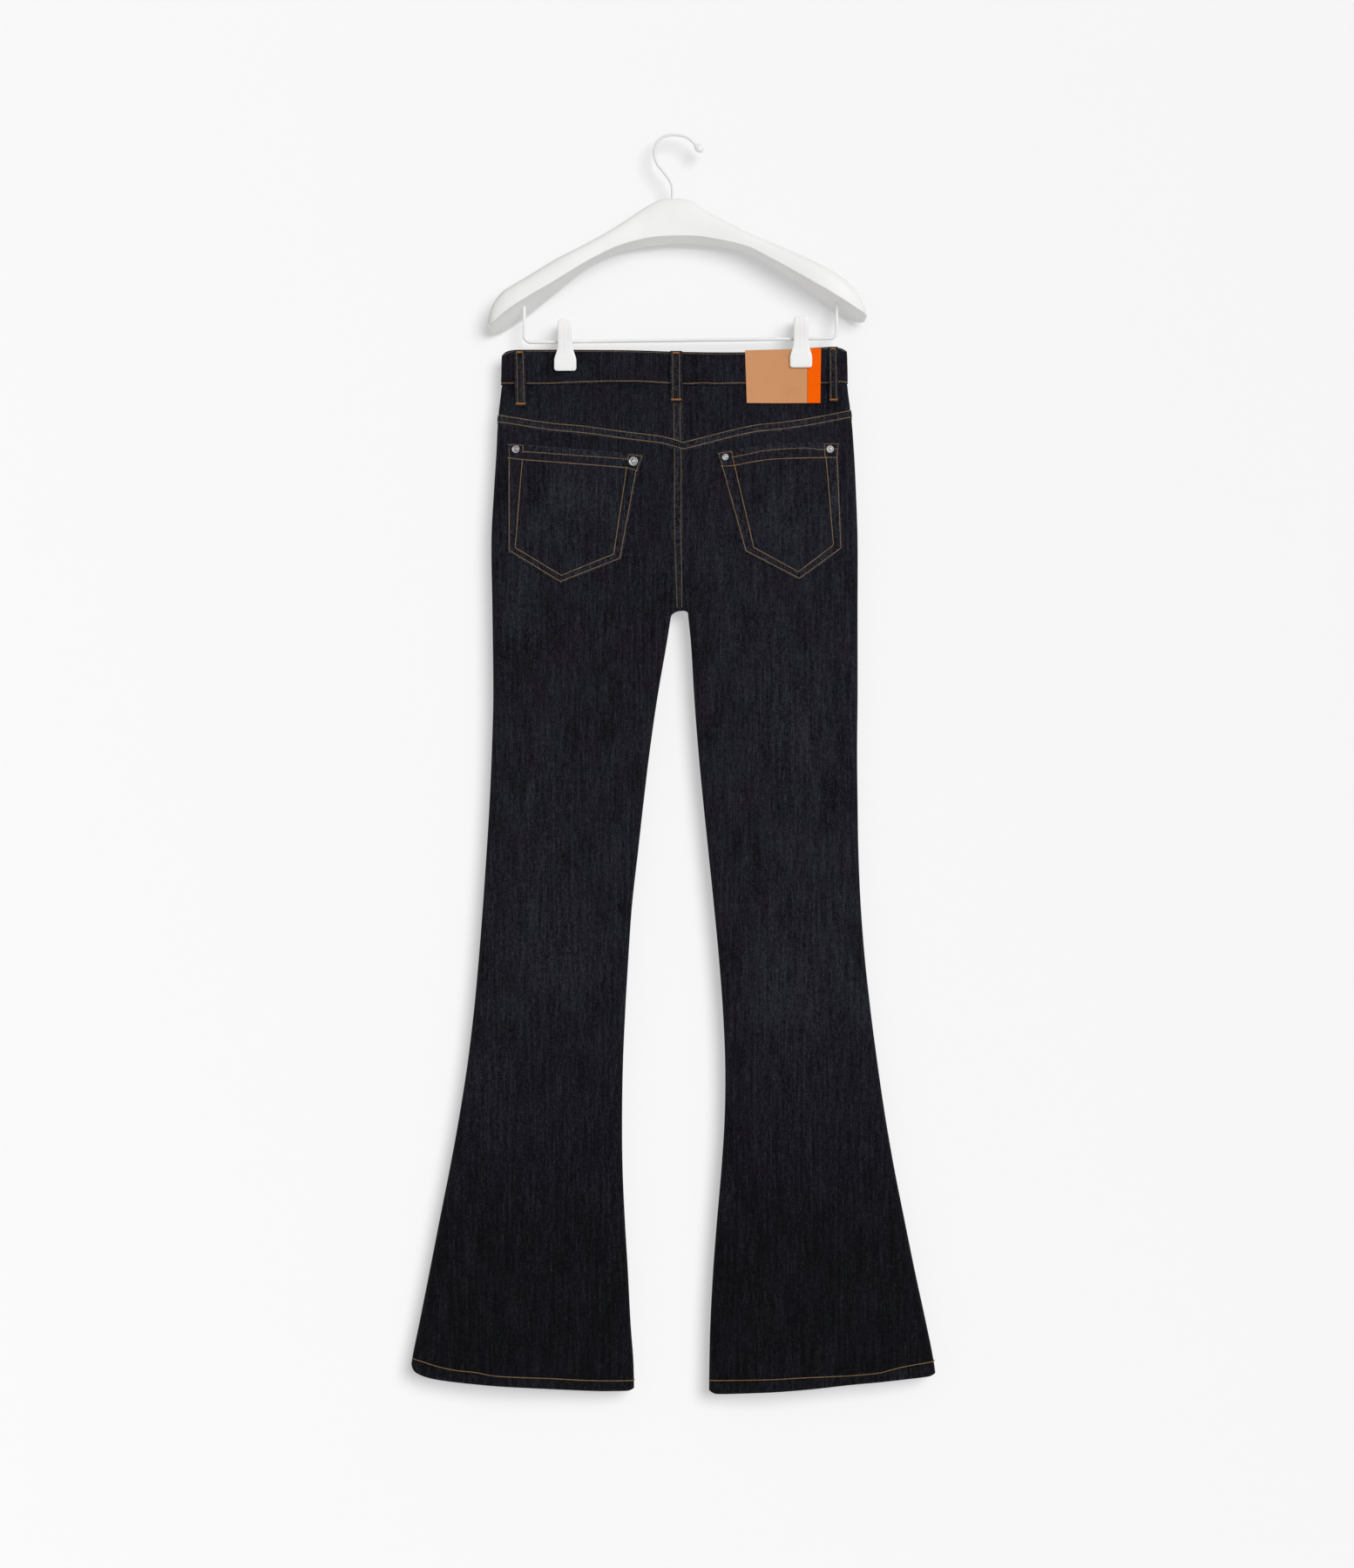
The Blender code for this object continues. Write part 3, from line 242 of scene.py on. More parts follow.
FRONT_CREASES = (
    # Under the waistband and over the fly
    (-70.0, -292.0, -22.0, -300.0, 3.8, -0.55, 2.0), (34.0, -296.0, 84.0, -288.0, 3.6, 0.50, -2.0),
    (-104.0, -352.0, -46.0, -388.0, 5.0, 0.50, 3.0), (118.0, -349.0, 58.0, -392.0, 5.0, -0.55, -3.0),
    # Fanning from the crotch
    (-4.0, -512.0, -74.0, -470.0, 6.0, 0.85, -4.0), (-7.0, -522.0, -96.0, -500.0, 7.0, -0.85, -4.0),
    (-13.0, -535.0, -101.0, -549.0, 7.5, 0.70, 3.0), (15.0, -510.0, 81.0, -464.0, 6.0, -0.80, 4.0),
    (19.0, -521.0, 108.0, -497.0, 7.0, 0.90, 4.0), (22.0, -536.0, 112.0, -552.0, 7.5, -0.65, -3.0),
    # Thighs, knees and flares
    (-131.0, -562.0, -114.0, -764.0, 12.0, -0.60, -5.0), (121.0, -571.0, 104.0, -789.0, 12.5, 0.60, 5.0),
    (-208.0, -901.0, -122.0, -878.0, 8.5, 0.55, -4.0), (-62.0, -953.0, -143.0, -929.0, 8.0, -0.50, 3.0),
    (56.0, -921.0, 133.0, -893.0, 8.5, -0.55, -4.0), (206.0, -977.0, 127.0, -956.0, 7.5, 0.50, 3.0),
    (-226.0, -1092.0, -268.0, -1380.0, 11.0, -0.80, -5.0),
    (-134.0, -1130.0, -139.0, -1388.0, 13.0, 0.80, 5.0),
    (112.0, -1121.0, 121.0, -1390.0, 13.0, -0.80, -5.0), (214.0, -1108.0, 255.0, -1380.0, 11.0, 0.75, 5.0),
)


@dataclass(frozen=True)
class Crease:
    """One small crease in the cloth, from one end to the other."""

    face: Face
    start: Place
    end: Place
    half_width: float
    height: float
    bend: float = 0.0

    def lift(self, x: Array, z: Array, face: Array) -> Array:
        """Height that the crease adds at each place.

        Args:
            x: Places across the garment.
            z: Levels.
            face: Side of the garment.

        Returns:
            A height for each place.
        """
        run = np.subtract(self.end, self.start)
        length = math.hypot(*run)
        along = ((x - self.start[0]) * run[0] + (z - self.start[1]) * run[1]) / length**2
        off = ((x - self.start[0]) * run[1] - (z - self.start[1]) * run[0]) / length
        inside = np.clip(along, 0.0, 1.0)
        off = off - self.bend * 4.0 * inside * (1.0 - inside)
        width = self.half_width * (0.7 + 0.6 * inside)
        taper = smoothstep(0.0, 0.3, along) * (1.0 - smoothstep(0.6, 1.0, along))
        return np.where(face == self.face, self.height * taper * hump(off, width), 0.0)


@dataclass(frozen=True)
class GarmentForm:
    """Outer surface of the hanging cloth, as depths off a middle plane."""

    centre_x: float = 8.0
    crotch_z: float = -528.0
    arch_reach: tuple[float, float] = (13.5, 5.3)
    arch_height: tuple[float, float] = (7.0, 3.5)
    clip_x: tuple[float, float] = (-123.2, 138.8)
    pinched_depth: tuple[float, float] = (1.8, 3.1)
    pinch_flat: float = 15.0
    pinch_reach: float = 95.0
    pinch_fade: tuple[float, float] = (-385.0, -280.0)
    unevenness: tuple[float, float] = (0.10, 0.08)
    roundness: float = 2.4
    # Outer edge seen flat: level, left, right
    sides: Table = Table((
        (-1396.0, -298.0, 291.0), (-1362.0, -294.0, 286.5), (-1322.0, -286.0, 278.5),
        (-1264.0, -274.5, 266.0), (-1205.0, -263.0, 254.0), (-1147.0, -251.5, 242.5),
        (-1089.0, -241.0, 232.5), (-1031.0, -232.0, 224.0), (-973.0, -225.0, 216.5),
        (-914.0, -219.5, 210.0), (-856.0, -215.0, 205.5), (-798.0, -211.0, 203.0),
        (-740.0, -207.5, 202.0), (-682.0, -205.0, 201.5), (-623.0, -203.5, 202.0),
        (-526.0, -204.5, 202.0), (-449.0, -205.5, 202.0), (-391.0, -202.5, 200.0),
        (-352.0, -200.0, 198.0), (-313.0, -198.0, 195.0), (-280.0, -194.3, 190.8),
        (-255.0, -193.6, 189.9), (-235.0, -193.2, 189.3),
    ))
    # Inner edge of each leg: level, left, right
    inseams: Table = Table((
        (-1400.0, -46.5, 36.5), (-1362.0, -47.5, 37.0), (-1322.0, -50.5, 38.0),
        (-1264.0, -53.5, 41.0), (-1205.0, -57.0, 45.5), (-1147.0, -59.5, 50.5),
        (-1089.0, -60.0, 54.0), (-1031.0, -59.0, 54.5), (-973.0, -56.5, 52.0),
        (-914.0, -53.0, 47.5), (-856.0, -49.0, 42.0), (-798.0, -42.5, 36.0),
        (-740.0, -36.0, 30.0), (-682.0, -29.0, 24.5), (-623.0, -20.5, 20.0),
        (-565.0, -10.5, 16.5), (-533.0, -5.5, 13.3),
    ))
    # How far the cloth stands off the middle plane: level, fold radius, back, front
    depths: Table = Table((
        (-1397.0, 7.5, 11.0, 10.5), (-1300.0, 7.0, 9.5, 9.5), (-1100.0, 6.0, 7.0, 7.5),
        (-900.0, 6.0, 6.5, 6.5), (-700.0, 6.5, 7.5, 7.0), (-528.0, 7.0, 9.5, 7.5),
        (-430.0, 7.0, 10.5, 6.5), (-330.0, 6.0, 7.0, 5.0), (-275.0, 5.0, 4.0, 3.5),
        (-238.0, 4.5, 3.0, 2.5),
    ))
    # Broad folds: face, upper x and level, lower x and level, half width, height
    folds: tuple[tuple[float, ...], ...] = (
        (-1, -140.0, -600.0, -190.0, -1480.0, 46.0, 2.6),
        (-1, -80.0, -700.0, -118.0, -1500.0, 42.0, -2.8),
        (-1, 90.0, -620.0, 108.0, -1480.0, 46.0, 2.6),
        (-1, 150.0, -760.0, 196.0, -1500.0, 42.0, -2.6),
        (-1, -20.0, -300.0, -60.0, -520.0, 40.0, -1.6),
        (1, -150.0, -560.0, -210.0, -1500.0, 46.0, -2.6),
        (1, -90.0, -640.0, -120.0, -1480.0, 44.0, 2.4),
        (1, 80.0, -680.0, 92.0, -1500.0, 44.0, -2.8),
        (1, 150.0, -600.0, 190.0, -1480.0, 46.0, 2.6),
    )
    # Waistband's upper and lower edge: x, back level, front level
    band_tops: Table = Table((
        (-193.3, -244.0, -244.0), (-190.5, -241.0, -241.2), (-185.0, -238.7, -239.4),
        (-176.0, -237.8, -239.0), (-115.0, -237.6, -240.0), (-60.0, -238.4, -243.6),
        (8.0, -240.6, -247.5), (75.0, -240.8, -242.8), (125.0, -237.5, -239.4),
        (162.0, -234.9, -236.8), (173.0, -234.5, -236.2), (183.0, -236.0, -236.8),
        (189.5, -239.2, -239.2),
    ))
    band_feet: Table = Table((
        (-193.5, -277.2, -277.2), (-100.0, -275.9, -278.5), (-50.0, -275.2, -281.5),
        (8.0, -278.0, -284.0), (75.0, -277.4, -280.5), (150.0, -276.6, -277.2),
        (190.0, -276.0, -276.0),
    ))
    yoke_seams: Table = Table((
        (-198.0, -309.0), (-141.0, -318.0), (-100.0, -322.0), (-57.0, -328.0), (-19.5, -333.0),
        (8.0, -340.0), (35.5, -333.5), (62.5, -326.5), (89.5, -320.5), (116.5, -317.5),
        (144.0, -313.5), (171.0, -308.5), (196.0, -304.0),
    ))
    creases: tuple[Crease, ...] = tuple(
        Crease(face, row[:2], row[2:4], *row[4:])
        for face, rows in ((Face.BACK, BACK_CREASES), (Face.FRONT, FRONT_CREASES))
        for row in rows
    )
    # Rubbed places: face, x, level, reach across, reach along, amount
    rubs: tuple[tuple[float, ...], ...] = (
        (-1, -105.0, -411.0, 38.0, 58.0, 0.22), (-1, 131.0, -418.0, 34.0, 46.0, 0.24),
        (-1, -172.0, -520.0, 20.0, 56.0, 0.26), (-1, 131.0, -655.0, 46.0, 92.0, 0.20),
        (-1, -141.0, -900.0, 58.0, 96.0, 0.15), (-1, 138.0, -946.0, 56.0, 118.0, 0.18),
        (-1, -156.0, -737.0, 34.0, 84.0, 0.12), (-1, 46.0, -470.0, 26.0, 52.0, 0.14),
        (-1, -206.0, -1063.0, 40.0, 70.0, 0.12), (-1, 90.0, -555.0, 38.0, 40.0, 0.12),
        (1, -112.0, -640.0, 44.0, 110.0, 0.24), (1, 118.0, -622.0, 42.0, 104.0, 0.20),
        (1, -131.0, -905.0, 52.0, 70.0, 0.22), (1, 142.0, -921.0, 50.0, 78.0, 0.25),
        (1, -60.0, -462.0, 40.0, 36.0, 0.12), (1, 66.0, -449.0, 44.0, 32.0, 0.14),
    )

    def rubbed(self, x: Array, z: Array, face: Array) -> Array:
        """Wear of the places that rub.

        Args:
            x: Places across the garment.
            z: Levels.
            face: Side of the garment.

        Returns:
            A share from 0 to 1 for each place.
        """

        def patch(
            side: int, at_x: float, at_z: float, reach_x: float, reach_z: float, amount: float
        ) -> Array:
            """Wear of one place."""
            off = ((x - at_x) / reach_x) ** 2 + ((z - at_z) / reach_z) ** 2
            return np.where(face == side, amount * np.exp(-off), 0.0)

        return sum(patch(*rub) for rub in self.rubs)

    def outer_edge(self, left: Array, z: Array) -> Array:
        """X of the leg's outer fold."""
        return np.where(left, self.sides.at(z, 1), self.sides.at(z, 2))

    def inner_edge(self, left: Array, z: Array) -> Array:
        """X of the leg's inner edge, of the arch at the crotch or of the centre seam.

        Args:
            left: Whether each place is on the left leg.
            z: Levels.

        Returns:
            An x for each level.
        """
        reach = np.where(left, *self.arch_reach)
        height = np.where(left, *self.arch_height)
        rise = (z - self.crotch_z + height) / height
        offset = reach * np.sqrt(np.clip(1.0 - rise * rise, 0.0, None))
        arch = self.centre_x + np.where(left, -offset, offset)
        seam = np.where(left, self.inseams.at(z, 1), self.inseams.at(z, 2))
        return np.where(z >= self.crotch_z, self.centre_x, np.where(rise > 0.0, arch, seam))

    def inner_distance(self, x: Array, z: Array) -> Array:
        """Distance from the leg's inner edge, or from the arch above it.

        Args:
            x: Places across the garment.
            z: Levels.

        Returns:
            A distance for each place.
        """
        left = x < self.centre_x
        reach = np.where(left, *self.arch_reach)
        height = np.where(left, *self.arch_height)
        foot = self.crotch_z - height
        inner = self.inner_edge(left, z)
        straight = np.where(left, inner - x, x - inner)
        across, up = (x - self.centre_x) / reach, (z - foot) / height
        radius = np.maximum(np.hypot(across, up), SMALLEST)
        slope = np.hypot(across / reach, up / height) / radius
        return np.where(z < foot, straight, (radius - 1.0) / np.maximum(slope, SMALLEST))

    def core_depth(self, x: Array, z: Array, face: Array) -> Array:
        """Depth of the cloth off the middle plane, before its edges turn in.

        Args:
            x: Places across the garment.
            z: Levels.
            face: Side of the garment.

        Returns:
            A depth for each place.
        """
        left, right = self.sides.at(z, 1), self.sides.at(z, 2)
        bulge = np.where(face == Face.BACK, self.depths.at(z, 2), self.depths.at(z, 3))
        is_left = x < self.centre_x
        outer = np.where(is_left, left, right)
        seam = np.where(is_left, self.inseams.at(z, 1), self.inseams.at(z, 2))
        inner = mix(seam, self.centre_x, smoothstep(self.crotch_z - 60.0, self.crotch_z + 50.0, z))
        whole = 1.0 - np.minimum(np.abs(2.0 * (x - left) / (right - left) - 1.0), 1.0) ** self.roundness
        single = 1.0 - np.minimum(np.abs(2.0 * (x - outer) / (inner - outer) - 1.0), 1.0) ** self.roundness
        legs = 1.0 - smoothstep(self.crotch_z, self.crotch_z + 95.0, z)
        depth = self.depths.at(z, 1) + bulge * mix(whole, single, legs) + self.fold_height(x, z, face)
        fade = smoothstep(*self.pinch_fade, z)
        held = np.where(face == Face.BACK, *self.pinched_depth)
        for clip_x in self.clip_x:
            hold = 1.0 - smoothstep(self.pinch_flat, self.pinch_reach, np.abs(x - clip_x))
            depth = mix(depth, held, hold * fade)
        return depth

    def fold_height(self, x: Array, z: Array, face: Array) -> Array:
        """Sum of the broad folds at each place.

        Args:
            x: Places across the garment.
            z: Levels.
            face: Side of the garment.

        Returns:
            A height for each place.
        """
        total = np.zeros(np.broadcast(x, z, face).shape)
        for fold_face, upper_x, upper_z, lower_x, lower_z, half_width, height in self.folds:
            share = (upper_z - z) / (upper_z - lower_z)
            off = np.clip((x - mix(upper_x, lower_x, share)) / half_width, -1.0, 1.0)
            along = smoothstep(0.0, 0.35, share) * (1.0 - smoothstep(0.88, 1.0, share))
            total += np.where(face == fold_face, height * along * (1.0 - off * off) ** 2, 0.0)
        return total

    def edge_share(self, x: Array, z: Array) -> Array:
        """Square of the share of the depth left by the outer and inner edges.

        Args:
            x: Places across the garment.
            z: Levels.

        Returns:
            A share from 0 at an edge to 1 away from both.
        """
        fold = self.depths.at(z, 1)
        left = x < self.centre_x
        outer = self.outer_edge(left, z)
        from_outer = np.where(left, x - outer, outer - x)
        shares = [
            1.0 - (1.0 - np.minimum(distance / fold, 1.0)) ** 2
            for distance in (from_outer, self.inner_distance(x, z))
        ]
        return shares[0] * shares[1]

    def inside_test(self, x: Array, y: Array, z: Array) -> Array:
        """Zero on the surface and positive outside it."""
        face = np.where(y < 0.0, Face.BACK, Face.FRONT)
        return (y / self.core_depth(x, z, face)) ** 2 - self.edge_share(x, z)

    def normal(self, x: Array, y: Array, z: Array) -> Array:
        """Outward direction of the cloth at each point on it.

        Args:
            x: Places across the garment.
            y: Depths off the middle plane.
            z: Levels.

        Returns:
            A unit vector for each point.
        """
        step = 0.1
        slope = np.stack([
            self.inside_test(x + step, y, z) - self.inside_test(x - step, y, z),
            self.inside_test(x, y + step, z) - self.inside_test(x, y - step, z),
            self.inside_test(x, y, z + step) - self.inside_test(x, y, z - step),
        ], axis=-1)
        near = np.abs(x - self.centre_x) < SEAM_GAP
        slope[..., 0] = np.where(near, 0.0, slope[..., 0])
        return slope / np.maximum(np.linalg.norm(slope, axis=-1, keepdims=True), 1e-12)

    def relief(self, x: Array, z: Array, face: Array) -> Array:
        """Height of the small creases and of the cloth's slight unevenness.

        Args:
            x: Places across the garment.
            z: Levels.
            face: Side of the garment.

        Returns:
            A height for each place.
        """
        slow, quick = self.unevenness
        total = slow * np.sin(x / 17.0 + z / 61.0 + 0.8 * np.sin(z / 43.0))
        total += quick * np.sin(x / 9.3 - z / 39.0 + 1.1 * np.sin(x / 31.0))
        for crease in self.creases:
            total = total + crease.lift(x, z, face)
        return total * smoothstep(0.25, 0.95, self.edge_share(x, z))

    def point(
        self, x: Array, z: Array, face: Array, lift: Array | float = 0.0, creased: bool = True
    ) -> Array:
        """Find points on the cloth.

        Args:
            x: Places across the garment.
            z: Levels.
            face: Side of the garment at each place.
            lift: How far the points are moved out, or in where it is negative.
            creased: Whether the small creases count.

        Returns:
            An array of points, with X, Y and Z last.
        """
        x, z, face, lift = np.broadcast_arrays(
            np.asarray(x, dtype=float), np.asarray(z, dtype=float), face, np.asarray(lift, dtype=float)
        )
        y = face * self.core_depth(x, z, face) * np.sqrt(np.clip(self.edge_share(x, z), 0.0, None))
        normal = self.normal(x, np.where(np.abs(y) > 0.05, y, face * 0.05), z)
        out = lift + self.relief(x, z, face) if creased else lift
        return np.stack([x, y, z], axis=-1) + normal * out[..., None]

    def point_and_way(
        self, x: Array, z: Array, face: Array, lift: Array | float, creased: bool = True
    ) -> tuple[Array, Array]:
        """Find points on the cloth, and the direction off it at each of them."""
        points = self.point(x, z, face, lift, creased)
        return points, self.point(x, z, face, lift + 1.0, creased) - points

    def band_top(self, x: Array, face: Array) -> Array:
        """Level of the waistband's upper edge."""
        return np.where(face == Face.BACK, self.band_tops.at(x, 1), self.band_tops.at(x, 2))

    def band_foot(self, x: Array, face: Array) -> Array:
        """Level of the waistband's lower edge."""
        return np.where(face == Face.BACK, self.band_feet.at(x, 1), self.band_feet.at(x, 2))

    def yoke_seam(self, x: Array) -> Array:
        """Level of the seam between a yoke and its back panel."""
        return self.yoke_seams.at(x, 1)


FORM = GarmentForm()


# ------------------------------------------------------------- making meshes


@dataclass
class Patchwork:
    """Vertices, faces and what goes with them, gathered into one mesh."""

    points: list[Triple] = field(default_factory=list)
    faces: list[tuple[int, ...]] = field(default_factory=list)
    cut: list[Place] = field(default_factory=list)
    wear: list[float] = field(default_factory=list)

    def add(self, points: Array, cut: Array | None = None, wear: Array | None = None) -> int:
        """Add points and return the number of the first one.

        Args:
            points: Points in millimetres.
            cut: Their places in the flat cut, if they have any.
            wear: Their wear from 0 to 1, if they have any.

        Returns:
            Number of the first point.
        """
        first = len(self.points)
        flat = np.asarray(points, dtype=float).reshape(-1, 3)
        self.points += [tuple(p) for p in flat * METRE]
        places = np.zeros((len(flat), 2)) if cut is None else np.asarray(cut, dtype=float).reshape(-1, 2)
        self.cut += [tuple(p) for p in places * METRE]
        self.wear += [0.0] * len(flat) if wear is None else list(np.asarray(wear, dtype=float).reshape(-1))
        return first

    def build(
        self, name: str, material: bpy.types.Material, sharp: float = SHARP_ANGLE
    ) -> bpy.types.Object:
        """Make the object.

        Args:
            name: Name of the object and of its mesh.
            material: Finish of the whole piece.
            sharp: Angle in degrees over which an edge is shaded sharp.

        Returns:
            The new object, linked to the scene.
        """
        mesh = bpy.data.meshes.new(name)
        mesh.from_pydata(self.points, [], self.faces)
        mesh.validate()
        corners = np.empty(len(mesh.loops), dtype=np.int32)
        mesh.loops.foreach_get("vertex_index", corners)
        layer = mesh.uv_layers.new(name="cut")
        layer.data.foreach_set("uv", np.array(self.cut, dtype=np.float32)[corners].reshape(-1))
        worn = mesh.attributes.new("wear", "FLOAT", "POINT")
        worn.data.foreach_set("value", np.array(self.wear, dtype=np.float32))
        return finish_mesh(name, mesh, material, sharp)


def add_object(name: str, data: bpy.types.ID) -> bpy.types.Object:
    """Make an object of some data and link it to the scene.

    Args:
        name: Name of what is made.
        data: What the object shows.

    Returns:
        The object, at the origin.
    """
    made = bpy.data.objects.new(name, data)
    bpy.context.scene.collection.objects.link(made)
    return made


def finish_mesh(
    name: str, mesh: bpy.types.Mesh, material: bpy.types.Material, sharp: float
) -> bpy.types.Object:
    """Turn a closed mesh's faces outwards, shade it and link it as an object.

    Args:
        name: Name of what is made.
        mesh: The closed mesh.
        material: Finish of the whole piece.
        sharp: Angle in degrees over which an edge is shaded sharp.

    Returns:
        The object.
    """
    work = bmesh.new()
    work.from_mesh(mesh)
    bmesh.ops.recalc_face_normals(work, faces=work.faces)
    if work.calc_volume(signed=True) < 0.0:
        bmesh.ops.reverse_faces(work, faces=work.faces)
    work.to_mesh(mesh)
    work.free()
    mesh.materials.clear()
    mesh.materials.append(material)
    mesh.shade_smooth()
    mesh.set_sharp_from_angle(angle=math.radians(sharp))
    return add_object(name, mesh)


def triangles(piece: bpy.types.Object) -> int:
    """Number of triangles in a mesh object."""
    return sum(len(face.vertices) - 2 for face in piece.data.polygons)


def hand_over(piece: bpy.types.Object, slot: str, *nodes: str) -> bpy.types.Object:
    """Bind a finished piece to the only body and report it.

    Args:
        piece: The piece, which has no joints to follow.
        slot: Not used.
        nodes: Solids that it takes the place of.

    Returns:
        The same piece.
    """
    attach(piece, "root")
    if nodes:
        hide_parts(*nodes)
    LOG.info("%s: %d triangles", piece.name, triangles(piece))
    return piece


def rim_of(rows: int, columns: int) -> list[tuple[int, int]]:
    """List the places round the border of a grid, in order.

    Args:
        rows: Number of the grid's rows.
        columns: Number of its columns.

    Returns:
        A list of rows and columns.
    """
    rim = [(0, c) for c in range(columns)]
    rim += [(r, columns - 1) for r in range(1, rows)]
    rim += [(rows - 1, c) for c in range(columns - 2, -1, -1)]
    rim += [(r, 0) for r in range(rows - 2, 0, -1)]
    return rim


@dataclass(frozen=True)
class Edging:
    """How far a cloth wall's middle bulges past its four edges."""

    top: float = 0.12
    foot: float = 0.12
    start: float = 0.12
    end: float = 0.12


def cloth_wall(
    name: str,
    outer: Array,
    inner: Array,
    cut: Array,
    wear: Array,
    material: bpy.types.Material,
    edging: Edging = Edging(),
) -> bpy.types.Object:
    """Make a closed wall of cloth between two matching grids, with rounded edges.

    Args:
        name: Name of the piece.
        outer: Grid of points on the outer side.
        inner: Grid of points on the inner side.
        cut: Grid of places in the flat cut.
        wear: Grid of wear, from 0 to 1.
        material: Finish of the piece.
        edging: How far each edge is rounded out.

    Returns:
        The piece.
    """
    rows, columns = outer.shape[:2]
    made = Patchwork()
    made.add(outer, cut, wear)
    shift = made.add(inner, cut, wear * 0.0)
    for r in range(rows - 1):
        for c in range(columns - 1):
            first = r * columns + c
            quad = (first, first + 1, first + columns + 1, first + columns)
            made.faces.append(quad)
            made.faces.append(tuple(shift + i for i in reversed(quad)))
    middle = (outer + inner) / 2
    bulge = np.zeros_like(middle)

    def outward(edge: Array, next_in: Array, amount: float) -> Array:
        """Step past an edge, away from the row beside it."""
        way = edge - next_in
        return way / np.maximum(np.linalg.norm(way, axis=-1, keepdims=True), SMALLEST) * amount

    bulge[0] += outward(middle[0], middle[1], edging.top)
    bulge[-1] += outward(middle[-1], middle[-2], edging.foot)
    bulge[:, 0] += outward(middle[:, 0], middle[:, 1], edging.start)
    bulge[:, -1] += outward(middle[:, -1], middle[:, -2], edging.end)
    rim = rim_of(rows, columns)
    lip = made.add(
        np.array([middle[r, c] + bulge[r, c] for r, c in rim]),
        np.array([cut[r, c] for r, c in rim]),
        np.array([min(wear[r, c] + EDGE_WEAR, 1.0) for r, c in rim]),
    )
    for i, (r, c) in enumerate(rim):
        j = (i + 1) % len(rim)
        a, b = r * columns + c, rim[j][0] * columns + rim[j][1]
        made.faces.append((b, a, lip + i, lip + j))
        made.faces.append((lip + j, lip + i, shift + a, shift + b))
    return made.build(name, material)


def loft(
    name: str,
    rings: Sequence[Array],
    material: bpy.types.Material,
    closed: bool = False,
    sharp: float = SHARP_ANGLE,
    cut: Sequence[Array] | None = None,
    wear: Sequence[Array] | None = None,
) -> bpy.types.Object:
    """Make a closed form through matching rings.

    Args:
        name: Name of the piece.
        rings: Rings of points.
        material: Finish of the piece.
        closed: Whether the last ring joins the first, so that there are no caps.
        sharp: Angle in degrees over which an edge is shaded sharp.
        cut: Places in the flat cut for each ring's points.
        wear: Wear for each ring's points.

    Returns:
        The piece.
    """
    made = Patchwork()
    sides = len(rings[0])
    for i, ring in enumerate(rings):
        made.add(ring, None if cut is None else cut[i], None if wear is None else wear[i])
    for r in range(len(rings) if closed else len(rings) - 1):
        low, high = r * sides, (r + 1) % len(rings) * sides
        for i in range(sides):
            j = (i + 1) % sides
            made.faces.append((low + i, low + j, high + j, high + i))
    if not closed:
        for r in (0, len(rings) - 1):
            middle = made.add(
                np.mean(rings[r], axis=0),
                None if cut is None else np.mean(cut[r], axis=0),
                None if wear is None else [float(np.mean(wear[r]))],
            )
            made.faces += [(r * sides + i, r * sides + (i + 1) % sides, middle) for i in range(sides)]
    return made.build(name, material, sharp)


def turned_rings(profile: Sequence[Place], sides: int) -> list[Array]:
    """Rings of a turned form that stands on the XY plane, from radii and heights.

    Args:
        profile: Radius and height of each ring.
        sides: Number of points round a ring.

    Returns:
        A list of rings.
    """
    angles = np.linspace(0.0, 2.0 * math.pi, sides, endpoint=False)
    return [
        np.stack([radius * np.cos(angles), radius * np.sin(angles), np.full(sides, height)], axis=-1)
        for radius, height in profile
    ]


def wire_ring(centre: Vector, direction: Vector, in_plane: float, off_plane: float, sides: int) -> Array:
    """Ring of points round a wire that runs in the XZ plane.

    Args:
        centre: Middle of the wire.
        direction: The way that it runs.
        in_plane: Half its width in that plane.
        off_plane: Half its width across it.
        sides: Number of points round a ring.

    Returns:
        A ring of points.
    """
    across = np.array((direction.z, 0.0, -direction.x)) / math.hypot(direction.x, direction.z)
    angles = np.linspace(0.0, 2.0 * math.pi, sides, endpoint=False)
    return (
        np.array(centre)
        + np.cos(angles)[:, None] * across * in_plane
        + np.sin(angles)[:, None] * np.array((0.0, 1.0, 0.0)) * off_plane
    )


def headings(route: Sequence[Vector]) -> list[Vector]:
    """Direction of travel at each point of a route."""
    last = len(route) - 1
    return [(route[min(i + 1, last)] - route[max(i - 1, 0)]).normalized() for i in range(last + 1)]


# --------------------------------------------------------------- node graphs


class NodeGraph:
    """Adds nodes to a tree from a type, its settings and its sockets."""

    def __init__(self, tree: bpy.types.NodeTree) -> None:
        """Take over a tree and empty it."""
        self.tree = tree
        tree.nodes.clear()

    def node(
        self,
        kind: str,
        settings: dict[str, object] | None = None,
        sockets: dict[str | int, object] | None = None,
    ) -> bpy.types.Node:
        """Add one node.

        Args:
            kind: Blender's name of the node's type.
            settings: What is set on the node first.
            sockets: Values or links of its inputs, by name or place.

        Returns:
            The new node.
        """
        node = self.tree.nodes.new(kind)
        for key, value in (settings or {}).items():
            setattr(node, key, value)
        for key, value in (sockets or {}).items():
            source = getattr(value, "socket", value)
            if isinstance(source, bpy.types.NodeSocket):
                self.tree.links.new(source, node.inputs[key])
            else:
                node.inputs[key].default_value = source
        return node

    def out(
        self, kind: str, settings: dict | None = None, sockets: dict | None = None, out: int | str = 0
    ) -> Socket:
        """Add a node and give one of its outputs."""
        return self.node(kind, settings, sockets).outputs[out]

    def maths(self, operation: str, first: object, second: object, clamp: bool = False) -> Socket:
        """Add a Math node and give its output."""
        settings = {"operation": operation, "use_clamp": clamp}
        return self.out("ShaderNodeMath", settings, {0: first, 1: second})


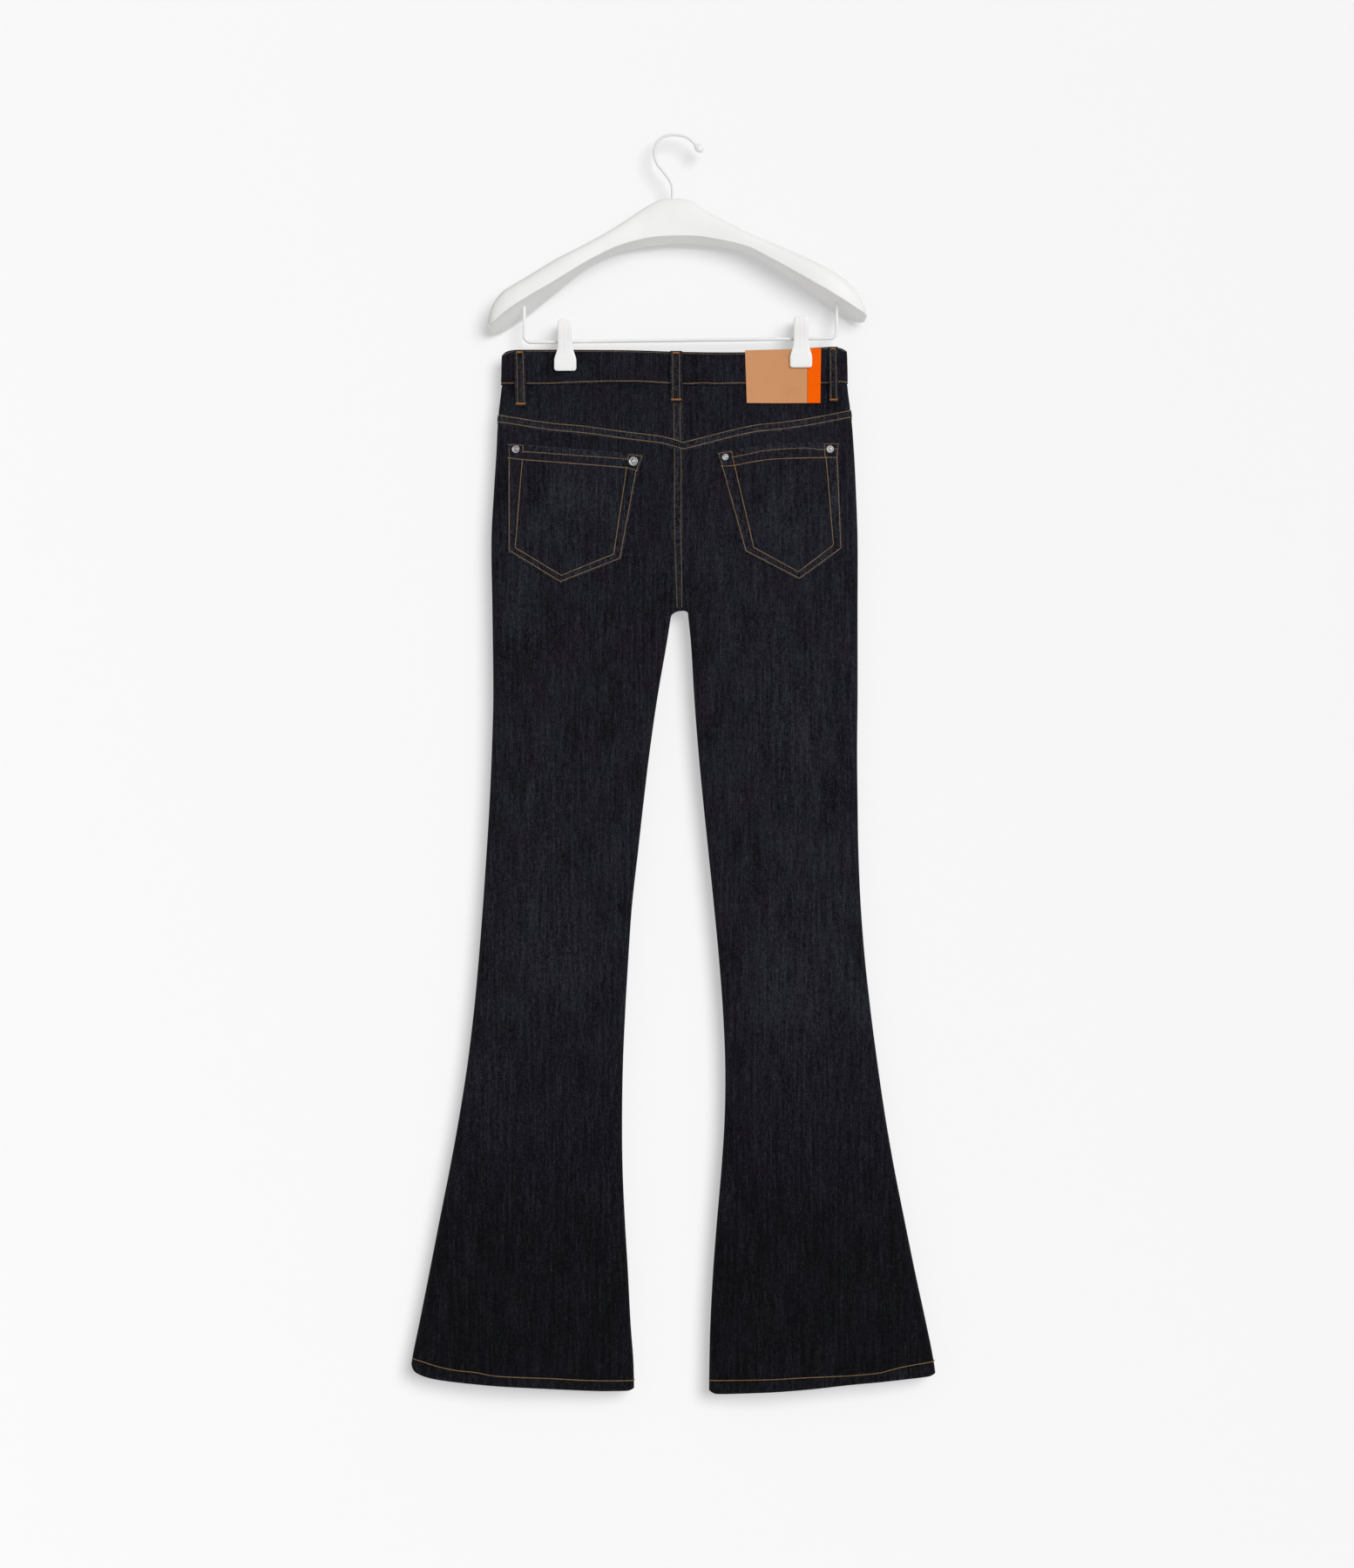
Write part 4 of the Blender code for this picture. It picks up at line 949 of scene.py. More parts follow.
class Shade:
    """One value in a shader, with the usual operators."""

    def __init__(self, graph: "ShaderGraph", socket: bpy.types.NodeSocket) -> None:
        """Wrap an output socket."""
        self.graph = graph
        self.socket = socket

    def _maths(self, operation: str, first: object, second: object, clamp: bool = False) -> "Shade":
        """Work out one value from two."""
        return Shade(self.graph, self.graph.maths(operation, first, second, clamp))

    def __add__(self, other: object) -> "Shade":
        """Sum."""
        return self._maths("ADD", self, other)

    __radd__ = __add__

    def __sub__(self, other: object) -> "Shade":
        """Difference."""
        return self._maths("SUBTRACT", self, other)

    def __rsub__(self, other: object) -> "Shade":
        """Difference, from a number."""
        return self._maths("SUBTRACT", other, self)

    def __mul__(self, other: object) -> "Shade":
        """Product."""
        return self._maths("MULTIPLY", self, other)

    __rmul__ = __mul__

    def __truediv__(self, other: object) -> "Shade":
        """Quotient."""
        return self._maths("DIVIDE", self, other)

    def __pow__(self, other: object) -> "Shade":
        """Power."""
        return self._maths("POWER", self, other)

    def clamped(self) -> "Shade":
        """Hold within 0 and 1."""
        return self._maths("ADD", self, 0.0, clamp=True)

    def sine(self) -> "Shade":
        """Sine of an angle in radians."""
        return self._maths("SINE", self, 0.0)

    def eased(self, low: float, high: float) -> "Shade":
        """Ease from 0 at low to 1 at high."""
        limits = {"Value": self, "From Min": low, "From Max": high}
        return self.graph.value("ShaderNodeMapRange", {"interpolation_type": "SMOOTHSTEP"}, limits)


class ShaderGraph(NodeGraph):
    """Node tree of one material."""

    def __init__(self, name: str) -> None:
        """Make an empty material.

        Args:
            name: Name of what is made.

        Returns:
            None.
        """
        self.material = bpy.data.materials.new(name)
        self.material.use_nodes = True
        super().__init__(self.material.node_tree)

    def value(
        self, kind: str, settings: dict | None = None, sockets: dict | None = None, out: int | str = 0
    ) -> Shade:
        """Add a node and wrap one of its outputs."""
        return Shade(self, self.out(kind, settings, sockets, out))

    def cut(self) -> Shade:
        """Place in the piece's flat cut, in metres."""
        return self.value("ShaderNodeUVMap", {"uv_map": "cut"})

    def object_place(self) -> Shade:
        """Place in the object's own frame, in metres."""
        return self.value("ShaderNodeTexCoord", out="Object")

    def attribute(self, name: str) -> Shade:
        """The mesh's own value of that name."""
        return self.value("ShaderNodeAttribute", {"attribute_name": name}, out="Fac")

    def axis(self, place: Shade, name: str) -> Shade:
        """One coordinate of a place."""
        return self.value("ShaderNodeSeparateXYZ", None, {0: place}, out=name)

    def noise(self, place: Shade, stretch: Triple, detail: float = 2.0, roughness: float = 0.5) -> Shade:
        """Soft noise about 0.5.

        Args:
            place: Where the noise is read.
            stretch: Factor along each axis, in waves a metre.
            detail: Number of finer layers.
            roughness: How strong the finer layers are.

        Returns:
            The noise.
        """
        spot = self.value("ShaderNodeVectorMath", {"operation": "MULTIPLY"}, {0: place, 1: stretch})
        sockets = {"Vector": spot, "Scale": 1.0, "Detail": detail, "Roughness": roughness}
        return self.value("ShaderNodeTexNoise", {"noise_dimensions": "3D"}, sockets)

    def blended(self, first: object, second: object, factor: object) -> Shade:
        """Blend two colours by a factor.

        Args:
            first: Colour where the factor is 0.
            second: Colour where it is 1.
            factor: The share of the second.

        Returns:
            The blend.
        """
        ends = [(*end, 1.0) if isinstance(end, tuple) else end for end in (first, second)]
        settings = {"data_type": "RGBA", "blend_type": "MIX", "clamp_factor": True}
        return self.value("ShaderNodeMix", settings, {0: factor, 6: ends[0], 7: ends[1]}, out=2)

    def surface(
        self, plain: dict[str, float], varied: dict[str, Shade], bump: Shade, depth: float
    ) -> bpy.types.Material:
        """Close the graph with a Principled shader.

        Args:
            plain: Values that are the same all over, set on the shader's sockets.
            varied: What changes over the surface.
            bump: Height for a Bump node.
            depth: Depth of the bump in metres.

        Returns:
            The finished material.
        """
        normal = self.out("ShaderNodeBump", None, {"Strength": 1.0, "Distance": depth, "Height": bump})
        shader = self.out("ShaderNodeBsdfPrincipled", None, {**plain, **varied, "Normal": normal})
        self.node("ShaderNodeOutputMaterial", None, {"Surface": shader})
        return self.material


# ----------------------------------------------------------------- finishes


@dataclass(frozen=True)
class DenimFinish:
    """Raw indigo stretch denim: twill lines, slub streaks, uneven dyeing, and painted shade on the lower
    legs and in puckered seams.
    """

    name: str = "indigo_denim"
    dark: Colour = (0.0050, 0.0040, 0.0070)
    blue: Colour = (0.0106, 0.0122, 0.0172)
    plum: Colour = (0.0120, 0.0088, 0.0148)
    # Painted shade: the colours that the calves and then the lower legs darken to
    painted_calf_shade: Colour = (0.0050, 0.0036, 0.0074)
    painted_hem_shade: Colour = (0.0024, 0.0025, 0.0025)
    worn: Colour = (0.052, 0.058, 0.074)
    # Darkest colour: the weave's dark yarn, and painted shade in the troughs of worn, puckered seams and
    # edges
    hollow: Colour = (0.0016, 0.0014, 0.0024)
    # Scale of the dark, blue and plum colours; the leg panels paint side light with it, lighter on the
    # right leg and darker on the left
    dye_and_side_light: float = 0.94
    twill_pitch: float = 0.0016
    twill_slope: float = 0.62
    shift: Place = (0.0, 0.0)
    # Levels between which painted shade darkens the legs, in metres, and how far that line wanders
    calf_shade_levels: Place = (-1.14, -0.92)
    hem_shade_levels: Place = (-1.28, -1.10)
    wander: float = 0.22
    grain_depth: float = 0.00025

    def make(self) -> bpy.types.Material:
        """Build the material.

        Returns:
            The material.
        """
        graph = ShaderGraph(self.name)
        move = {0: graph.cut(), 1: (*self.shift, 0.0)}
        cut = graph.value("ShaderNodeVectorMath", {"operation": "ADD"}, move)
        across, along = graph.axis(cut, "X"), graph.axis(cut, "Y")
        streak, slub = (
            graph.noise(cut, stretch, 3.0, 0.62) for stretch in ((640.0, 90.0, 1.0), (290.0, 16.0, 1.0))
        )
        grain = graph.noise(cut, (760.0, 700.0, 1.0), 2.0, 0.8)
        fleck = graph.noise(cut, (300.0, 210.0, 3.0), 3.0, 0.7)
        cloud = graph.noise(cut, (26.0, 13.0, 1.0), 6.0, 0.68)
        tint = graph.noise(cut, (33.0, 17.0, 7.0), 5.0, 0.66)
        twill = ((across + along * self.twill_slope) * (2.0 * math.pi / self.twill_pitch)).sine()
        # Shares of painted shade on the calves and on the lower legs
        body, calf_shade_share, foot = self.dye_with_painted_shade(graph, cloud, tint, slub)
        weave = (streak - 0.5) * 1.2 + (slub - 0.5) * 1.3 + (grain - 0.5) * 2.5
        weave = weave + (fleck - 0.5) * 1.1 + twill * 0.12
        # Pale yarn shows less where painted shade darkens the lower legs
        pale = 0.66 - calf_shade_share * 0.10 - foot * (0.24 - cloud.eased(0.40, 0.60) * 0.16)
        colour = graph.blended(body, self.worn, weave.clamped() * pale)
        colour = graph.blended(colour, self.hollow, (0.0 - weave).clamped() * 1.9)
        wear, pucker = graph.attribute("wear"), fleck.eased(0.42, 0.60)
        # Painted shade: the troughs between puckers on worn seams and edges darken
        colour = graph.blended(colour, self.hollow, wear.eased(0.25, 0.6) * (1.0 - pucker) * 0.42)
        rubbed = (wear * (0.20 + pucker * 0.33 + weave * 0.7)).clamped()
        colour = graph.blended(colour, self.worn, rubbed * (1.0 - foot * 0.4))
        height = twill * 0.30 + (streak - 0.5) * 0.9 + (grain - 0.5) * 0.7 + (slub - 0.5) * 0.6
        plain = {"Specular IOR Level": 0.04, "Sheen Weight": 0.02, "Sheen Roughness": 0.6}
        varied = {"Base Color": colour, "Roughness": 0.86 + (grain - 0.5) * 0.2}
        return graph.surface(plain, varied, height, self.grain_depth)

    def dye_with_painted_shade(
        self, graph: ShaderGraph, cloud: Shade, tint: Shade, slub: Shade
    ) -> tuple[Shade, Shade, Shade]:
        """Mix the indigo colours, and paint shade that darkens them towards the hems.

        Args:
            graph: The material's graph.
            cloud: Broad noise that sets dark and blue places.
            tint: Broad noise that sets violet places.
            slub: Long streaks of thicker yarn.

        Returns:
            The cloth's colour with its painted shade, and the share of painted shade on the calves and on
            the lower legs.
        """
        dark, blue, plum = (
            tuple(c * self.dye_and_side_light for c in colour) for colour in (self.dark, self.blue, self.plum)
        )
        height = graph.axis(graph.object_place(), "Z")
        level = height + (cloud - 0.5) * self.wander + (slub - 0.5) * 0.06
        # Painted shade: darkness that grows down the calves and the lower legs, with a wandering edge
        calf_shade_share, foot = 1.0 - level.eased(*self.calf_shade_levels), 1.0 - level.eased(*self.hem_shade_levels)
        patchy = tint.eased(0.44, 0.56)
        body = graph.blended(dark, blue, cloud.eased(0.38, 0.62))
        body = graph.blended(body, plum, tint.eased(0.43, 0.60) * 0.9)
        # Painted shade: the calves darken, then the lower legs turn very dark
        body = graph.blended(body, self.painted_calf_shade, calf_shade_share * (0.98 - patchy * 0.16))
        return graph.blended(body, self.painted_hem_shade, foot * (0.96 - patchy * 0.46)), calf_shade_share, foot


@dataclass(frozen=True)
class ThreadFinish:
    """Spun sewing thread with a slight sheen."""

    name: str
    colour: Colour
    dark: Colour

    def make(self) -> bpy.types.Material:
        """Build the material.

        Returns:
            The material.
        """
        graph = ShaderGraph(self.name)
        place = graph.object_place()
        fibre = graph.noise(place, (2600.0, 2600.0, 2600.0), 2.0, 0.6)
        batch = graph.noise(place, (60.0, 60.0, 60.0), 1.0)
        colour = graph.blended(self.dark, self.colour, (fibre * 0.6 + batch * 0.9 - 0.12).clamped())
        varied = {"Base Color": colour, "Roughness": 0.55 + fibre * 0.2}
        return graph.surface({"Specular IOR Level": 0.25}, varied, fibre, 0.00006)


@dataclass(frozen=True)
class PlasticFinish:
    """Moulded white plastic, with a faint unevenness in its gloss."""

    name: str
    colour: Colour
    roughness: float
    grain_depth: float = 0.00002
    subsurface: float = 0.0

    def make(self) -> bpy.types.Material:
        """Build the material.

        Returns:
            The material.
        """
        graph = ShaderGraph(self.name)
        place = graph.object_place()
        cloud = graph.noise(place, (22.0, 22.0, 22.0), 2.0)
        fine = graph.noise(place, (900.0, 900.0, 900.0), 2.0, 0.7)
        dull = tuple(c * 0.965 for c in self.colour)
        plain = {
            "Specular IOR Level": 0.45,
            "Subsurface Weight": self.subsurface,
            "Subsurface Scale": 0.004,
        }
        varied = {
            "Base Color": graph.blended(self.colour, dull, cloud.eased(0.35, 0.7)),
            "Roughness": self.roughness + (fine - 0.5) * 0.12 + (cloud - 0.5) * 0.08,
        }
        return graph.surface(plain, varied, fine, self.grain_depth)


@dataclass(frozen=True)
class MetalFinish:
    """Plated steel with fine scratches and dull, tarnished patches."""

    name: str
    colour: Colour
    dull: Colour
    roughness: float

    def make(self) -> bpy.types.Material:
        """Build the material.

        Returns:
            The material.
        """
        graph = ShaderGraph(self.name)
        place = graph.object_place()
        tarnish = graph.noise(place, (420.0, 420.0, 420.0), 3.0, 0.65)
        scratch = graph.noise(place, (3200.0, 300.0, 900.0), 2.0, 0.6)
        varied = {
            "Base Color": graph.blended(self.colour, self.dull, tarnish.eased(0.42, 0.72)),
            "Roughness": self.roughness + (scratch - 0.5) * 0.25 + tarnish * 0.1,
        }
        return graph.surface({"Metallic": 1.0}, varied, scratch, 0.00003)


@dataclass(frozen=True)
class BoardFinish:
    """Pressed fibre board or its printed end: short fibres and a soft mottle."""

    name: str
    colour: Colour
    dark: Colour
    light: Colour
    roughness: float = 0.72
    shine: float = 0.25

    def make(self) -> bpy.types.Material:
        """Build the material.

        Returns:
            The material.
        """
        graph = ShaderGraph(self.name)
        place = graph.object_place()
        fibre = graph.noise(place, (520.0, 520.0, 1500.0), 4.0, 0.7)
        cross = graph.noise(place, (1700.0, 500.0, 420.0), 3.0, 0.7)
        cloud = graph.noise(place, (48.0, 48.0, 48.0), 2.0)
        colour = graph.blended(self.colour, self.dark, fibre.eased(0.5, 0.85) * 0.5)
        colour = graph.blended(colour, self.light, cross.eased(0.55, 0.85) * 0.5)
        colour = graph.blended(colour, self.dark, cloud.eased(0.45, 0.8) * 0.25)
        varied = {"Base Color": colour, "Roughness": self.roughness + (fibre - 0.5) * 0.2}
        return graph.surface({"Specular IOR Level": self.shine}, varied, fibre + cross, 0.00009)


@dataclass(frozen=True)
class TapeFinish:
    """Closely woven zip tape."""

    name: str = "woven_zip_tape"
    colour: Colour = (0.012, 0.013, 0.020)
    rib_pitch: float = 0.0007
    pick_pitch: float = 0.0005

    def make(self) -> bpy.types.Material:
        """Build the material.

        Returns:
            The material.
        """
        graph = ShaderGraph(self.name)
        cut = graph.cut()
        rib = (graph.axis(cut, "X") * (2.0 * math.pi / self.rib_pitch)).sine()
        pick = (graph.axis(cut, "Y") * (2.0 * math.pi / self.pick_pitch)).sine()
        light = tuple(c * 2.2 for c in self.colour)
        colour = graph.blended(self.colour, light, (rib * pick * 0.5 + 0.5).clamped())
        varied = {"Base Color": colour, "Roughness": 0.75 + rib * 0.05}
        return graph.surface({"Specular IOR Level": 0.2}, varied, rib + pick, 0.00005)


@dataclass(frozen=True)
class BackdropFinish:
    """Plain pale paint that glows a little of itself. A one-sided one is clear from behind."""

    name: str
    colour: Colour
    glow: float = 0.0
    one_sided: bool = False

    def make(self) -> bpy.types.Material:
        """Build the material.

        Returns:
            The material.
        """
        graph = ShaderGraph(self.name)
        paint = graph.out("ShaderNodeBsdfDiffuse", None, {"Color": (*self.colour, 1.0), "Roughness": 0.5})
        if self.glow:
            light = graph.out("ShaderNodeEmission", None, {"Strength": self.glow})
            paint = graph.out("ShaderNodeAddShader", None, {0: paint, 1: light})
        if self.one_sided:
            behind = graph.out("ShaderNodeNewGeometry", out="Backfacing")
            clear = graph.out("ShaderNodeBsdfTransparent")
            paint = graph.out("ShaderNodeMixShader", None, {0: behind, 1: paint, 2: clear})
        graph.node("ShaderNodeOutputMaterial", None, {"Surface": paint})
        return graph.material


@dataclass
class Finishes:
    """Every finish that the pieces share, each made once."""

    made: dict[str, bpy.types.Material] = field(default_factory=dict)

    def of(self, finish: object) -> bpy.types.Material:
        """Give a finish's material, made on its first use.

        Args:
            finish: The finish.

        Returns:
            Its material.
        """
        if finish.name not in self.made:
            self.made[finish.name] = finish.make()
        return self.made[finish.name]


OCHRE_THREAD = ThreadFinish("ochre_thread", (0.250, 0.165, 0.095), (0.110, 0.072, 0.045))
TACK_THREAD = ThreadFinish("orange_tack_thread", (0.50, 0.19, 0.045), (0.26, 0.11, 0.03))
RUST_THREAD = ThreadFinish("rust_corner_thread", (0.30, 0.150, 0.065), (0.150, 0.085, 0.045))
LOOP_THREAD = ThreadFinish("grey_tan_loop_thread", (0.20, 0.145, 0.095), (0.090, 0.066, 0.045))
HEM_THREAD = ThreadFinish("amber_hem_thread", (0.245, 0.145, 0.066), (0.150, 0.090, 0.045))
OLIVE_THREAD = ThreadFinish("olive_thread", (0.150, 0.110, 0.066), (0.072, 0.054, 0.036))
RIVET_STEEL = MetalFinish("plated_rivet_steel", (0.44, 0.44, 0.45), (0.16, 0.16, 0.165), 0.34)
SPRING_STEEL = MetalFinish("spring_steel", (0.60, 0.60, 0.62), (0.42, 0.42, 0.44), 0.28)
HANGER_PLASTIC = PlasticFinish("satin_hanger_plastic", (0.885, 0.880, 0.865), 0.50)
CLIP_PLASTIC = PlasticFinish("glossy_clip_plastic", (0.90, 0.90, 0.895), 0.22, 0.00001, 0.15)
WIRE_COAT = PlasticFinish("white_wire_coat", (0.87, 0.87, 0.86), 0.36)
HOOK_ENAMEL = PlasticFinish("pale_hook_enamel", (0.84, 0.84, 0.83), 0.34)
TAN_BOARD = BoardFinish("tan_patch_board", (0.600, 0.275, 0.122), (0.47, 0.20, 0.082), (0.69, 0.36, 0.18))
ORANGE_BOARD = BoardFinish(
    "orange_patch_end", (0.92, 0.118, 0.0), (0.80, 0.080, 0.0), (1.0, 0.165, 0.002), 0.8, 0.05
)
ZIP_METAL = MetalFinish("zip_tooth_metal", (0.62, 0.50, 0.30), (0.34, 0.27, 0.16), 0.35)


# ------------------------------------------------------------ geometry nodes


class GeometryTree(NodeGraph):
    """A Geometry Nodes tree with named inputs, run once and kept as a plain mesh."""

    def __init__(self, name: str) -> None:
        """Make an empty tree with its geometry sockets.

        Args:
            name: Name of what is made.

        Returns:
            None.
        """
        super().__init__(bpy.data.node_groups.new(name, "GeometryNodeTree"))
        for way in ("INPUT", "OUTPUT"):
            self.tree.interface.new_socket("Geometry", in_out=way, socket_type="NodeSocketGeometry")
        self.entry = self.tree.nodes.new("NodeGroupInput")
        self.leave = self.tree.nodes.new("NodeGroupOutput")
        self.names: dict[str, str] = {}

    def size(self, name: str, kind: str = "Float") -> Socket:
        """Add a named input and give its socket.

        Args:
            name: Name of what is made.
            kind: Kind of value that it takes.

        Returns:
            Its socket inside the tree.
        """
        item = self.tree.interface.new_socket(name, in_out="INPUT", socket_type=f"NodeSocket{kind}")
        self.names[name] = item.identifier
        return self.entry.outputs[name]

    def corners(self) -> Socket:
        """Corners of the mesh that the tree is run on, as points."""
        base = {"Mesh": self.entry.outputs["Geometry"]}
        return self.out("GeometryNodeMeshToPoints", {"mode": "VERTICES"}, base)

    def off_cloth(self) -> Socket:
        """Direction off the cloth at each point."""
        kind = {"data_type": "FLOAT_VECTOR"}
        return self.out("GeometryNodeInputNamedAttribute", kind, {"Name": "off_cloth"}, "Attribute")

    def drawn(self, low: float, high: float, seed: Socket) -> Socket:
        """Random number for each point."""
        sockets = {2: low, 3: high, "Seed": seed}
        return self.out("FunctionNodeRandomValue", {"data_type": "FLOAT"}, sockets, 1)

    def turned(
        self, axis: str, way: Socket, pivot: str = "AUTO", start: object = (0.0, 0.0, 0.0)
    ) -> Socket:
        """Turn an axis towards a direction."""
        settings = {"axis": axis, "pivot_axis": pivot}
        return self.out("FunctionNodeAlignRotationToVector", settings, {"Rotation": start, "Vector": way})

    def tube(self, curve: Socket, radius: Socket, sides: int) -> Socket:
        """Lay a closed round wall along a curve.

        Args:
            curve: The curve.
            radius: Radius of the wall.
            sides: Number of its sides.

        Returns:
            The wall.
        """
        circle = {"Resolution": sides, "Radius": radius}
        ring = self.out("GeometryNodeCurvePrimitiveCircle", {"mode": "RADIUS"}, circle)
        sockets = {"Curve": curve, "Profile Curve": ring, "Fill Caps": True}
        return self.out("GeometryNodeCurveToMesh", None, sockets)

    def close(self, laid: dict[str, object], finish: Socket) -> None:
        """End in copies on points, as real geometry with its finish.

        Args:
            laid: The points, the form that is copied, its turn and its scale.
            finish: Material of the whole piece.

        Returns:
            None.
        """
        copies = self.out("GeometryNodeInstanceOnPoints", None, laid)
        real = self.out("GeometryNodeRealizeInstances", None, {"Geometry": copies})
        smooth = self.out("GeometryNodeSetShadeSmooth", None, {0: real})
        dressed = self.out("GeometryNodeSetMaterial", None, {"Geometry": smooth, "Material": finish})
        self.tree.links.new(dressed, self.leave.inputs[0])

    def run(self, name: str, base: bpy.types.Mesh, values: dict[str, object]) -> bpy.types.Object:
        """Run the tree on a mesh.

        Args:
            name: Name of the new piece.
            base: Mesh that the tree starts from.
            values: What each named input is set to.

        Returns:
            A plain mesh object at the origin.
        """
        carrier = add_object(f"{name}_base", base)
        modifier = carrier.modifiers.new("rule", "NODES")
        modifier.node_group = self.tree
        for key, value in values.items():
            modifier[self.names[key]] = value
        depsgraph = bpy.context.evaluated_depsgraph_get()
        mesh = bpy.data.meshes.new_from_object(carrier.evaluated_get(depsgraph), depsgraph=depsgraph)
        mesh.name = name
        bpy.data.objects.remove(carrier, do_unlink=True)
        return add_object(name, mesh)


def points_mesh(name: str, lines: Sequence[Array], ways: Sequence[Array]) -> bpy.types.Mesh:
    """Mesh of open lines with an outward direction at each point.

    Args:
        name: Name of the mesh.
        lines: Points of each line, in millimetres. A line of one point is a lone point.
        ways: Outward directions, one array for each line.

    Returns:
        A mesh of vertices and edges with the attribute off_cloth.
    """
    points = np.concatenate(lines) * METRE
    edges, first = [], 0
    for line in lines:
        edges += [(first + i, first + i + 1) for i in range(len(line) - 1)]
        first += len(line)
    mesh = bpy.data.meshes.new(name)
    mesh.from_pydata([tuple(p) for p in points], edges, [])
    outward = mesh.attributes.new("off_cloth", "FLOAT_VECTOR", "POINT")
    outward.data.foreach_set("vector", np.concatenate(ways).astype(np.float32).reshape(-1))
    return mesh


class SewingTree(GeometryTree):
    """Lays stitches along lines: each a short arched thread that dips at its ends."""

    sway: float = 0.07
    lengths: Place = (0.88, 1.08)

    def __init__(self) -> None:
        """Build the tree.

        Returns:
            None.
        """
        super().__init__("sewing")
        pitch, length, radius = self.size("Pitch"), self.size("Stitch length"), self.size("Thread radius")
        rise, sink, turn = self.size("Rise"), self.size("Sink"), self.size("Turn")
        seed, thread = self.size("Seed", "Int"), self.size("Thread", "Material")
        half, minus = self.maths("MULTIPLY", length, 0.5), self.maths("MULTIPLY", length, -0.5)
        down = self.maths("MULTIPLY", sink, -1.0)
        start, middle, end = (
            self.out("ShaderNodeCombineXYZ", None, {"X": x, "Z": z})
            for x, z in ((minus, down), (0.0, rise), (half, down))
        )
        bow = {"Resolution": 4, "Start": start, "Middle": middle, "End": end}
        stitch = self.tube(self.out("GeometryNodeCurveQuadraticBezier", None, bow), radius, 5)
        line = self.out("GeometryNodeMeshToCurve", None, {"Mesh": self.entry.outputs["Geometry"]})
        spots = self.node("GeometryNodeCurveToPoints", {"mode": "LENGTH"}, {"Curve": line, "Length": pitch})
        along = self.turned("X", spots.outputs["Tangent"])
        stood = self.turned("Z", self.off_cloth(), "X", along)
        twist = self.maths("ADD", turn, self.drawn(-self.sway, self.sway, seed))
        yaw = self.out("ShaderNodeCombineXYZ", None, {"Z": twist})
        spin = {"Rotation": stood, "Rotate By": yaw}
        spun = self.out("FunctionNodeRotateRotation", {"rotation_space": "LOCAL"}, spin)
        size = self.drawn(*self.lengths, seed)
        laid = {"Points": spots.outputs["Points"], "Instance": stitch, "Rotation": spun, "Scale": size}
        self.close(laid, thread)


class StudTree(GeometryTree):
    """Stands a copy of a small form on each point, facing straight off it."""

    def __init__(self) -> None:
        """Build the tree.

        Returns:
            None.
        """
        super().__init__("studs")
        form, finish, size = self.size("Form", "Object"), self.size("Finish", "Material"), self.size("Size")
        shape = self.out("GeometryNodeObjectInfo", None, {"Object": form}, "Geometry")
        stood = self.turned("Z", self.off_cloth())
        self.close({"Points": self.corners(), "Instance": shape, "Rotation": stood, "Scale": size}, finish)

    def stand(
        self,
        name: str,
        form: bpy.types.Object,
        spots: tuple[Array, Array],
        finish: bpy.types.Material,
        size: float = 1.0,
    ) -> bpy.types.Object:
        """Stand a form on each spot.

        Args:
            name: Name of the new piece.
            form: The form, upright at the origin.
            spots: Points on the cloth and the directions off it.
            finish: Material of the piece.
            size: Scale of the form.

        Returns:
            The new piece.
        """
        base = points_mesh(f"{name}_spots", [spots[0]], [spots[1]])
        return self.run(name, base, {"Form": form, "Finish": finish, "Size": size})


class CoilTree(GeometryTree):
    """Winds a wire into a coil about X on each point."""

    def __init__(self) -> None:
        """Build the tree.

        Returns:
            None.
        """
        super().__init__("coil")
        radius, wire, length = self.size("Coil radius"), self.size("Wire radius"), self.size("Length")
        turns, finish = self.size("Turns"), self.size("Finish", "Material")
        winding = {"Resolution": 22, "Rotations": turns, "Height": length}
        winding |= {"Start Radius": radius, "End Radius": radius}
        coil = self.tube(self.out("GeometryNodeCurveSpiral", None, winding), wire, 8)
        offset = self.out("ShaderNodeCombineXYZ", None, {"X": self.maths("MULTIPLY", length, -0.5)})
        move = {"Geometry": coil, "Rotation": (0.0, math.pi / 2, 0.0), "Translation": offset}
        lying = self.out("GeometryNodeTransform", None, move)
        self.close({"Points": self.corners(), "Instance": lying}, finish)


# ------------------------------------------------------------------- sewing


